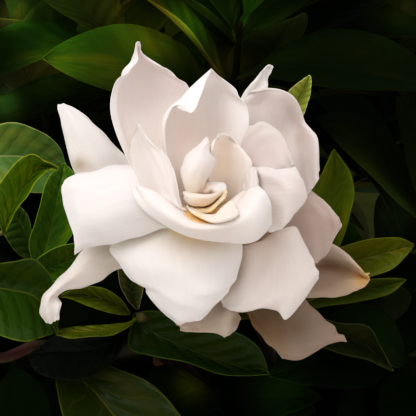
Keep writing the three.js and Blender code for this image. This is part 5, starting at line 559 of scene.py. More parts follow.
        [(210.3, 71.6, -7), (210.3, 70, -7), (211, 69.2, -7), (211.7, 69.2, -7), (212.4, 69.9, -7), (213, 71.2, -7)],
    ],
    "third_petal_2": [
        [(209.3931, 243.0246, -24.7707), (213.1548, 245.4297, -24.4302), (215.4707, 248.9997, -23.9248), (215.9301, 253.1016, -23.344)],
        [(220, 222, -11), (227, 222, -12), (234, 225, -12), (239, 230, -9)],
        [(234, 181, -9), (246, 181, -7.6), (256, 184, -6.2), (264, 194, -4)],
        [(239, 151, -9), (251, 150, -7.6), (267, 154, -6), (284, 174, -3)],
        [(243.3, 136, -8.6), (256, 132, -7.4), (276, 140, -6.2), (292, 165, -3.5)],
        [(249.8, 128, -7.8), (262.5, 121.9, -7.4), (282, 133.5, -7.5), (297, 164, -5)],
    ],
    "third_petal_3": [
        [(213.3693, 245.647, -24.3994), (215.5657, 249.2763, -23.8856), (215.8888, 253.3885, -23.3034), (214.2813, 257.2545, -22.7561)],
        [(232, 222, -4), (235, 227, -5), (237, 232, -6), (238, 238, -7)],
        [(249, 174, -2.5), (252, 195, 0.5), (255, 213, 1.5), (256, 231, 0)],
        [(258.5, 167, 1.3), (266, 183, 3.6), (272, 206, 4), (270, 233, 2)],
        [(276, 168.8, 4.6), (286, 182, 6.8), (290, 203, 6.5), (281, 230, 3)],
        [(292.5, 167.3, 3.8), (301, 181.5, 5), (303.5, 198, 4.5), (288, 223, 3)],
        [(298, 170, 1.5), (304.5, 187, 2.2), (306.8, 199, 1.5), (295, 213, 1)],
    ],
    "third_petal_4": [
        [(215.6515, 249.5552, -23.8461), (215.199, 255.6674, -22.9808), (210.7539, 260.3439, -22.3187)],
        [(227, 230, -7), (231, 235, -7), (234, 240, -8)],
        [(239, 205, -2), (246, 213, 1), (254, 224, -1)],
        [(241.5, 190, 1.5), (251, 197, 5.4), (260, 204, 5.5)],
        [(245, 177.5, 1.8), (251.5, 179, 5), (258.3, 182, 5.4)],
        [(249.3, 167.8, 1), (253, 166.2, 3), (256.8, 168.4, 3)],
    ],
    "third_petal_5": [
        [(197.2953, 258.9874, -22.5108), (199.5205, 260.4889, -22.2982), (202.0988, 261.4434, -22.1631), (204.8641, 261.7893, -22.1141), (207.6381, 261.5043, -22.1545), (210.2422, 260.6068, -22.2815)],
        [(184, 234, -7), (192, 237, -6), (203, 239, -5), (215, 239, -5), (226, 236, -6), (234, 231, -8)],
        [(161, 199, -2), (175, 204, 0), (195, 207, 2.5), (215, 209, 3.5), (231, 202, 2), (243, 192, -1)],
        [(153, 193, 1), (169, 202.5, 5), (193, 218, 9.5), (219.5, 220, 11), (237.5, 203.5, 8), (250, 186, 3)],
        [(147, 185.3, 2.5), (165, 201.6, 8.3), (191, 222.8, 13.2), (219.5, 224.5, 14.8), (242, 203.5, 11), (256.5, 183, 6)],
        [(137, 185.6, 3), (155.5, 206.5, 9.2), (188.5, 227.6, 14.2), (222.5, 229.5, 15), (250, 214, 15.6), (266, 191.5, 10)],
        [(131.5, 189, 2), (149.5, 211.5, 7.2), (185.5, 232.8, 10.4), (225, 238, 11), (256, 229, 14.2), (272, 206, 10.4)],
        [(130.5, 192.5, 1), (147, 213.5, 5), (184, 235.5, 6.3), (226, 243.6, 6.5), (255, 242, 10), (273.5, 226, 7.6)],
    ],
    "third_petal_6": [
        [(194.7627, 255.5818, -22.9929), (194.0136, 251.5139, -23.5688), (195.2124, 247.5321, -24.1325), (198.1465, 244.3424, -24.5841)],
        [(178, 228, -9), (180, 223, -10), (184, 218, -10), (190, 214, -9)],
        [(152, 206, -2), (161, 204, 2), (172, 206, 6), (185.8, 213, 8)],
        [(136, 188, -7), (149, 188, 0), (163, 190, 5.5), (179.6, 200, 8.2)],
        [(130, 170, -10.5), (142, 169, -3.5), (158, 169, 3.5), (174.4, 175, 6)],
        [(129.5, 152, -12), (138.5, 150.5, -6), (151, 150.5, 0), (166.8, 158, 3.2)],
        [(133, 138, -12), (138, 136.5, -6), (144.5, 138, -1.5), (151.5, 142.5, 1)],
        [(136.6, 127.5, -4), (137.4, 124.6, -3), (139, 124.3, -2), (141, 127.3, -2)],
    ],
    "inner_petal_1": [
        [(200.3831, 247.9279, -22.5765), (202.5911, 246.6269, -22.7607), (205.1988, 246.2177, -22.8186), (207.7736, 246.7681, -22.7407)],
        [(193, 216, -4), (197, 214, -1), (202, 213, 0), (206, 214, -3)],
        [(184.5, 190, 5), (190.5, 191.5, 9), (198, 191, 9), (205, 188, 6)],
        [(180.2, 176.5, 5), (187.5, 176.5, 10.5), (198.5, 176.5, 10.5), (209.3, 176.7, 6)],
        [(182, 163.5, 4), (189, 163, 9.4), (204, 163, 9.4), (217, 161.3, 4)],
        [(187.5, 154, 3), (194, 152, 6.6), (203, 151, 7.6), (212, 153, 4.5)],
        [(199.5, 145.3, 3), (203, 142.5, 4), (207, 142.5, 4.5), (210, 145.5, 3)],
        [(204.3, 138.8, 3), (205.7, 137.3, 3), (207.2, 137.3, 3), (208.4, 139.2, 3)],
    ],
    "inner_petal_2": [
        [(204.4042, 246.2394, -22.8156), (205.9994, 246.2838, -22.8093), (207.5343, 246.6728, -22.7542), (208.9165, 247.383, -22.6536), (210.0625, 248.3716, -22.5137), (210.9034, 249.5789, -22.3428)],
        [(205, 217, -6), (206.5, 217, -6.5), (210, 216, -9), (216, 215, -10), (223, 216, -9), (230, 218, -7)],
        [(205, 187, 0), (207, 187.5, 1.3), (212, 186, -4.5), (223, 184, -6.5), (236, 184, -5.5), (248, 186, -3)],
        [(210.4, 156.5, 3.2), (212, 157.5, 4.9), (214.8, 159, -3), (225, 160, -6.8), (239, 162, -5.8), (251.3, 165, -2)],
        [(211, 148.2, 4), (213, 147.5, 5.8), (215.4, 147, -1), (224, 147, -6), (235.5, 149, -6.5), (245.3, 153, -4.2)],
        [(212.8, 141.3, 3.6), (214.9, 140.4, 5.4), (217.2, 140, 0.5), (224, 139, -4.2), (231.5, 140.6, -6.4), (238.3, 145, -6)],
        [(217.2, 136.9, 2.8), (218.6, 136.1, 4.2), (219.9, 134.9, 1.8), (223.2, 133.8, -1), (227, 134, -3.5), (231.5, 137.6, -5.5)],
    ],
    "inner_petal_3": [
        [(201.2477, 247.2762, -22.6688), (202.6542, 246.6049, -22.7638), (204.202, 246.2588, -22.8128), (205.798, 246.2588, -22.8128), (207.3458, 246.6049, -22.7638), (208.7523, 247.2762, -22.6688)],
        [(200, 213, 0), (202, 211, 0), (205, 209, 0), (208, 208, 0), (211, 209, 0), (213, 212, 0)],
        [(194, 199, 6), (199, 196, 6.5), (206, 194.5, 7), (213, 194, 7), (219, 194.5, 6), (222, 197, 5)],
        [(191, 191, 6.5), (198, 189, 6.5), (206, 187.3, 6.3), (215, 187, 6), (223, 188.5, 5), (226.5, 192, 4.5)],
        [(195, 184.8, 6), (201, 183, 5), (207.5, 181.6, 4), (216, 180.7, 3), (224, 182.3, 3), (227.5, 187, 3.5)],
    ],
    "inner_petal_4": [
        [(200.7994, 256.4147, -21.375), (202.499, 257.3396, -21.2441), (204.4335, 257.763, -21.1841), (206.4212, 257.645, -21.2008), (208.2754, 256.9968, -21.2926)],
        [(197, 222, -4), (201, 224, -3), (205, 225, -3), (210, 224, -3), (214, 221, -4)],
        [(185, 203, 2), (191, 205.5, 4.5), (200, 206.6, 6.2), (209.5, 204, 5.5), (217.5, 196.5, 3)],
        [(183.3, 200.5, 5.6), (190.5, 203.8, 8.3), (201, 205.4, 9.6), (212, 202.3, 9), (221.2, 195, 6)],
        [(182.4, 194, 7), (190, 196.5, 10), (201, 198.3, 11.3), (212.5, 196.8, 10.7), (222.8, 191.3, 7.4)],
        [(183, 190, 6), (191.5, 191.7, 8.8), (202, 193.2, 10), (212.5, 193, 9.6), (222, 189, 7)],
    ],
    "inner_petal_5": [
        [(204.4042, 257.7606, -21.1844), (205.9994, 257.7162, -21.1907), (207.5343, 257.3272, -21.2458), (208.9165, 256.617, -21.3464), (210.0625, 255.6284, -21.4863), (210.9034, 254.4211, -21.6572)],
        [(198, 227, -5), (204, 229, -4), (211, 228, -4), (218, 224, -4), (224, 217, -4), (227, 208, -5)],
        [(188.5, 205, 2.6), (197, 208.4, 4.8), (204.5, 209.6, 6.4), (212, 206, 6.4), (219.6, 198, 5), (225.8, 190, 3)],
        [(187, 206.2, 5.7), (196, 210.3, 8.8), (204, 212.4, 10.8), (212.6, 209.8, 11.2), (221, 201.6, 9.8), (227.6, 194.4, 7.3)],
        [(187, 204.8, 5.3), (196, 208.6, 8.2), (203.5, 209.7, 10), (210.2, 207.5, 10.2), (217.6, 199.6, 8.9), (224.8, 191.6, 6.8)],
    ],
    "inner_petal_6": [
        [(202.7493, 257.4271, -21.2317), (204.303, 257.7516, -21.1857), (205.8988, 257.7294, -21.1889), (207.4404, 257.3618, -21.2409), (208.8348, 256.6709, -21.3387), (209.9981, 255.6985, -21.4764)],
        [(200, 230, -6), (205, 231, -6), (210, 231, -6), (216, 229, -6), (223, 226, -6), (229, 218, -7)],
        [(188, 205.4, 3.2), (195, 210.4, 5.6), (204, 214.4, 8.6), (214.4, 214.8, 10.5), (226, 210.6, 10), (234, 206, 8.2)],
        [(186.5, 207.4, 8), (194.6, 214, 11.2), (204, 218.8, 13.7), (214.8, 222, 15.5), (228.6, 219.4, 16.4), (239, 216, 16)],
        [(186.2, 206.6, 8.3), (194, 212.4, 11.6), (202.3, 216.8, 13.9), (212.1, 220, 15.5), (225.8, 213.8, 15.9), (236, 206.5, 14.4)],
        [(185.8, 205, 7.6), (193.5, 210.4, 10.8), (201.5, 214.3, 12.8), (210.3, 216.5, 14), (220, 208.2, 14.2), (230.3, 198.4, 12)],
    ],
}
LEAVES = {
    "leaf_left_upper": [
        [(-57, 166, -64), (-56, 169, -65), (-57, 172, -64)],
        [(-30, 136, -55), (-32, 160, -60), (-30, 178, -56)],
        [(-4, 125.5, -50), (-6, 156, -57), (-2, 186, -53)],
        [(19, 123, -49), (20, 156, -57), (24, 192, -54)],
        [(42, 132, -51), (42, 160, -58), (47, 192, -56)],
        [(60, 148, -55), (58, 166, -59), (61, 186, -58)],
        [(67, 168, -59), (67.5, 172, -60), (68, 176, -60)],
    ],
    "leaf_left_front": [
        [(2, 231, -38), (4, 232, -39), (6, 231, -38)],
        [(-7, 201, -31), (10, 213, -36), (17, 209, -32)],
        [(0, 180, -28), (19, 195, -34), (28, 194, -29)],
        [(14, 163.5, -27), (28, 181, -34), (37, 181, -29)],
        [(33, 153.5, -28), (37, 168, -34), (44, 171.5, -31)],
        [(47, 161, -31), (50, 166, -34), (52, 169.5, -33)],
        [(56.5, 168.5, -34), (57.5, 169.3, -34.5), (58, 170, -34)],
    ],
    "leaf_left_inner": [
        [(34, 268, -47), (37, 270, -48), (40, 269, -47)],
        [(29, 244, -42), (46, 247, -47), (66, 243, -43)],
        [(36, 219, -40), (53, 220, -47), (80, 217, -42)],
        [(42, 196, -41), (58, 195, -47), (82, 195, -43)],
        [(48, 178, -43), (62, 177, -48), (76, 176, -46)],
        [(62, 164, -49), (64, 163, -49), (66, 164, -49)],
    ],
    "leaf_left_small": [
        [(14, 287, -45), (15, 289, -46), (16, 291, -45)],
        [(36, 259.5, -37), (42, 272, -42), (46, 283, -38)],
        [(48, 251.8, -35), (58, 265, -41), (66, 280, -37)],
        [(60, 246.2, -34), (74, 258, -40), (88, 271, -36)],
        [(75, 243, -34), (88, 250, -38), (100, 258, -36)],
        [(104, 246, -38), (105, 247, -38), (106, 248, -38)],
    ],
    "leaf_left_dark": [
        [(33, 263, -51), (36, 262, -52), (39, 260, -51)],
        [(16, 252, -46), (29, 243, -51), (34, 238, -48)],
        [(6, 238, -44), (20, 224, -51), (28, 217, -48)],
        [(2, 226, -46), (11, 213, -50), (20, 206, -48)],
        [(3, 199, -49), (4.5, 198, -49), (6, 198, -49)],
    ],
    "leaf_left_broad": [
        [(-72, 296, -44), (-71, 298, -45), (-70, 301, -44)],
        [(-42, 270, -33), (-42, 288, -38), (-46, 314, -31)],
        [(-14, 267, -27), (-12, 287, -34), (-17, 327, -23)],
        [(11, 261.5, -25), (10, 290, -33), (5, 338, -19)],
        [(36, 260, -26), (33, 296, -33), (25, 342, -19)],
        [(56, 288, -30), (47, 312, -34), (42, 337.3, -24)],
        [(58, 329.5, -33), (57.5, 331.5, -33), (56.5, 332.8, -33)],
    ],
    "leaf_under_curl": [
        [(136, 317, -45), (137, 318.5, -45), (136, 320, -45)],
        [(128, 322, -43), (127, 325.5, -41), (127, 327.5, -38)],
        [(112, 324, -41), (112, 329.5, -39), (111, 335, -33)],
        [(92, 325, -40), (92, 332, -38), (91, 337.6, -31)],
        [(73, 327, -40), (73, 332.5, -38), (73, 338, -32)],
        [(59, 330, -38), (58, 333, -37), (60, 336, -36)],
        [(56.8, 333, -37), (56.5, 333.7, -37), (57, 334.3, -37)],
    ],
    "leaf_olive": [
        [(129, 311, -47), (130, 313, -48), (129, 315, -47)],
        [(121, 299, -42), (120, 307, -46), (117, 314.5, -42)],
        [(105, 289, -38), (103, 299, -43), (98, 309.8, -38)],
        [(84, 286, -36.5), (84, 294.5, -40.5), (82, 303.2, -36.5)],
        [(70, 290, -34.5), (70, 294.5, -36.5), (68, 298.3, -34.5)],
        [(61, 295.8, -33.5), (60.5, 296.5, -33.5), (61, 297.3, -33.5)],
    ],
    "leaf_centre_small": [
        [(135, 308, -49), (137, 309, -50), (139, 309, -49)],
        [(126, 298, -45), (133, 297, -49), (141, 300, -46)],
        [(120, 284, -41), (130, 281, -47), (143, 287, -43)],
        [(118, 266, -39), (127, 262, -45), (139, 268, -42)],
        [(121, 247, -40), (124, 246, -42), (127, 247, -41)],
    ],
    "leaf_lower_left": [
        [(80, 338, -62), (82, 337, -63), (84, 337, -62)],
        [(57, 366, -52), (76, 370, -57), (103, 362, -54)],
        [(57.5, 392, -45), (97, 395, -52), (150, 383, -48)],
        [(66, 424, -40), (119, 422, -49), (182, 418, -44)],
        [(92, 455, -39), (143, 450, -48), (196, 452, -43)],
        [(150, 482, -45), (168, 480, -48), (190, 478, -46)],
        [(186, 494, -48), (187, 495, -48), (188, 495, -48)],
    ],
    "leaf_lower_shadow": [
        [(134, 325, -55), (135, 327, -56), (134, 329, -55)],
        [(112, 333, -52), (108, 346, -54), (112, 362, -49)],
        [(86, 336.5, -50), (80, 352, -51), (84, 379, -46)],
        [(60, 333.5, -48), (56, 352, -49), (56, 379, -45)],
        [(42, 344, -47), (40, 354, -48), (36, 371, -46)],
        [(28.7, 354.5, -48), (28, 356, -48), (28.6, 357.5, -48)],
    ],
    "leaf_lower_centre": [
        [(135, 313, -51), (134.5, 315, -52), (133, 317, -51)],
        [(152, 311, -47), (142, 326, -52), (129, 347, -47)],
        [(182, 316, -43), (165, 338.5, -49), (152, 355.5, -43)],
        [(214, 324, -38), (192, 350, -45), (186, 361.5, -38)],
        [(244, 335, -34), (222, 361, -41), (219, 374, -34)],
        [(260, 350, -33), (249, 367, -37), (246, 376.8, -33)],
        [(268.3, 372.5, -34), (269, 374, -34), (268, 375, -34)],
    ],
    "leaf_young": [
        [(286, 131, -62), (288, 132, -63), (290, 132, -62)],
        [(283, 112, -58), (292, 113, -62), (303, 116, -59)],
        [(286, 95.5, -56), (299, 97, -60), (308.5, 100, -57)],
        [(296, 84.5, -54), (305, 85, -57), (311.3, 87, -55)],
        [(308, 76, -54), (309.5, 75.5, -54), (311, 77, -54)],
    ],
    "leaf_right": [
        [(214, 316, -60), (216, 318, -61), (218, 320, -60)],
        [(252, 288, -48), (256, 301, -54), (262, 317, -50)],
        [(295, 264, -41), (302, 281, -47), (312, 300, -43)],
        [(342, 246.3, -38), (349, 262, -43), (352, 283, -39)],
        [(370, 237.8, -37), (377, 254, -42), (375, 275, -38)],
        [(393, 237.3, -38), (397, 249, -41), (394, 267.5, -38)],
        [(406, 239.5, -39), (407, 246, -41), (407, 255, -40)],
        [(413.2, 244, -41), (413.8, 245.3, -41), (413.5, 246.5, -41)],
    ],
    "leaf_right_lower": [
        [(262, 317, -72), (263, 319, -73), (264, 321, -72)],
        [(300, 291, -66), (306, 299, -70), (311, 309, -66)],
        [(338, 284.5, -62), (346, 292, -66), (352, 302.5, -62)],
        [(374, 279, -60), (380, 286, -63), (386, 295.5, -60)],
        [(405, 279, -61), (406, 280, -61), (405, 281.5, -61)],
    ],
    "leaf_right_upper": [
        [(329, 262, -86), (331, 264, -87), (333, 263, -86)],
        [(311, 228, -80), (331, 228, -85), (347, 226, -81)],
        [(311, 196, -78), (332, 196, -84), (354, 191, -79)],
        [(323, 170, -78), (335, 170, -82), (349, 171, -79)],
        [(332.5, 150.5, -79), (334, 149.5, -79), (335.5, 150.5, -79)],
    ],
    "leaf_right_dark": [
        [(258, 318, -64), (259, 320, -65), (258, 322, -64)],
        [(296, 311, -55), (297, 325, -61), (296, 340, -56)],
        [(336, 322, -52), (335, 336, -58), (334, 351, -52)],
        [(366, 326, -51), (363, 343, -57), (362, 358.5, -51)],
        [(381, 346, -52), (380, 356, -55), (380, 365.5, -52)],
        [(392, 369.5, -53), (393, 370.5, -53), (393, 371.5, -53)],
    ],
}
STEMS = [
    [(0, 0, 96, 3.2), (0.5, 0, 112, 7.6), (0, 0, 128, 7.4), (-2, 1, 145, 6.9), (1, 3, 160, 6.5), (3, 2, 176, 6.3)],
    [(3, 2, 172, 4.2), (-1, -16, 184, 3.75), (-8, -36, 203, 3.16), (-12, -55, 224, 2.58), (-15, -74, 242, 2.04), (-20.37, -87.39, 249.69, 1.7)],
    [(-20.37, -87.39, 249.69, 1.7), (-16.84, -84.6, 248.58, 1.72), (-10.9, -80.42, 245.72, 1.75), (-6.37, -77.83, 247.51, 1.77), (-2.07, -78.43, 247.11, 1.78), (-0.87, -80.63, 250.31, 1.8)],
    [(-12, -55, 224, 2.3), (-27.53, -62.72, 224.52, 2.15), (-34.89, -71.28, 229.83, 2.03), (-45.11, -79.84, 235.12, 1.91), (-52.45, -83.12, 237.57, 1.83), (-62.82, -87.3, 235.7, 1.73), (-74.4, -89.93, 241.89, 1.61), (-82.58, -87.65, 251.51, 1.5), (-84.56, -86.64, 256.04, 1.45), (-85.09, -80.43, 264.63, 1.36), (-83.73, -70.86, 275.69, 1.23), (-80.54, -61.48, 286.34, 1.1)],
    [(-85.09, -80.43, 264.63, 1.1), (-77.09, -80.33, 269.58, 1.03), (-67.76, -83.05, 273.21, 0.96), (-60.6, -85.71, 276.95, 0.9)],
    [(-83.72, -86.95, 254.18, 1.2), (-74.1, -87.02, 255.22, 1.12), (-65.14, -86.26, 256.85, 1.04), (-57.93, -86.08, 258.43, 0.97), (-51.46, -82.34, 262.9, 0.9)],
    [(-27.53, -62.72, 224.52, 1.3), (-33.35, -70.62, 231.23, 1.09), (-38.15, -77.67, 237.42, 0.9)],
    [(4, 3, 174, 2.8), (12, -12, 188, 2.48), (20, -30, 206, 2.09), (15.6, -60.53, 233.95, 1.48), (20.85, -61.78, 236.01, 1.4), (28.85, -54.06, 238.35, 1.23), (35.93, -47.84, 242.24, 1.08), (38.72, -46.73, 246.97, 1)],
    [(15.6, -60.53, 233.95, 1.2), (16.06, -67.49, 237.95, 1.04), (15.61, -73.57, 241.47, 0.9)],
    [(20.85, -61.78, 236.01, 1), (17.32, -66.34, 238.04, 0.8)],
    [(-5.87, -77.93, 247.71, 1.5), (1.23, -72.17, 242.12, 1.4), (6.16, -65.23, 247.53, 1.3), (12.97, -55.62, 263.41, 1.12), (19.71, -50.26, 279.63, 0.95), (24.42, -51.1, 294.4, 0.8)],
    [(3, 2, 170, 3.4), (22.42, -0.09, 193.2, 2.72), (46.16, -2.63, 214, 2)],
    [(3, 2, 170, 3.4), (18.73, 16.37, 197.34, 2.72), (37.96, 33.94, 223.2, 2)],
    [(3, 2, 170, 3.4), (1.76, 22.87, 200.04, 2.72), (0.24, 48.37, 229.2, 2)],
    [(3, 2, 170, 3.4), (-12.98, 15.68, 196.44, 2.72), (-32.52, 32.4, 221.2, 2)],
    [(3, 2, 170, 3.4), (-17.5, -0.09, 192.12, 2.72), (-42.56, -2.63, 211.6, 2)],
    [(3, 2, 170, 3.4), (17.78, -9.25, 185.64, 2.72), (35.84, -23, 197.2, 2)],
    [(3, 2, 170, 3.4), (19.05, 6.86, 182.94, 2.71), (38.67, 12.79, 191.2, 2)],
    [(3, 2, 170, 3.4), (7.49, 21.5, 186.54, 2.72), (12.98, 45.33, 199.2, 2)],
    [(3, 2, 170, 3.4), (-13.75, 12.08, 184.2, 2.72), (-34.23, 24.4, 194, 2)],
    [(3, 2, 170, 3.4), (-12.86, -9.25, 184.74, 2.72), (-32.24, -23, 195.2, 2)],
    [(3, 2, 170, 4), (8.19, 8.45, 206.88, 3.01), (14.53, 16.33, 244.4, 2)],
    [(3, 2, 170, 4), (-5.18, 10.36, 208.14, 3.02), (-15.17, 20.57, 247.2, 2)],
    [(3, 2, 170, 4), (4.23, -3.89, 204, 3), (5.73, -11.08, 238, 2)],
    [(3, 2, 170, 3.4), (2.79, -6.63, 181.32, 2.65), (2.53, -17.19, 187.6, 2)],
]
TWIGS = [
    [(46.46, -2.67, 214.26), (55.46, -3.63, 222.15), (78.69, -5.23, 242.31), (110.91, -9.59, 262)],
    [(38.17, 34.13, 223.48), (44.45, 39.87, 231.94), (61.61, 56.63, 256.27), (90.39, 81.85, 285)],
    [(0.22, 48.64, 229.5), (-0.25, 56.53, 238.53), (-1.66, 87.3, 268.27), (-3.91, 117.93, 300)],
    [(-32.74, 32.58, 221.48), (-39.3, 38.2, 229.8), (-61.13, 56.76, 256.81), (-85.8, 77.99, 280)],
    [(-42.88, -2.67, 211.84), (-52.32, -3.63, 219.19), (-76.58, -8.92, 238.83), (-110.91, -9.59, 256)],
    [(36.13, -23.21, 197.38), (44.63, -29.69, 202.83), (62.7, -45.88, 212.32), (85.11, -60.49, 220)],
    [(39.03, 12.9, 191.35), (49.68, 16.12, 195.83), (59.9, 17.07, 197.65), (92.18, 28.98, 205)],
    [(13.06, 45.67, 199.38), (15.45, 56.06, 204.9), (19.8, 74.19, 218.01), (27.95, 110.32, 225)],
    [(-34.54, 24.59, 194.15), (-44.06, 30.32, 198.71), (-61.83, 40.73, 200.53), (-90.07, 58, 212)],
    [(-32.54, -23.21, 195.36), (-41.5, -29.56, 200.2), (-60.44, -42, 210.52), (-85.11, -60.49, 215)],
    [(14.59, 16.41, 244.79), (16.55, 18.84, 256.37), (18.62, 25.68, 293.46), (31.82, 37.82, 338)],
    [(-15.27, 20.67, 247.58), (-18.15, 23.62, 258.85), (-31.27, 37.73, 298.87), (-42.43, 48.43, 345)],
    [(5.75, -11.16, 238.39), (6.27, -13.65, 250.12), (7.7, -18.28, 283.44), (9.84, -30.71, 322)],
    [(2.52, -17.53, 187.8), (2.26, -27.84, 193.94), (1.83, -31.42, 197.09), (1.81, -45.97, 196)],
]
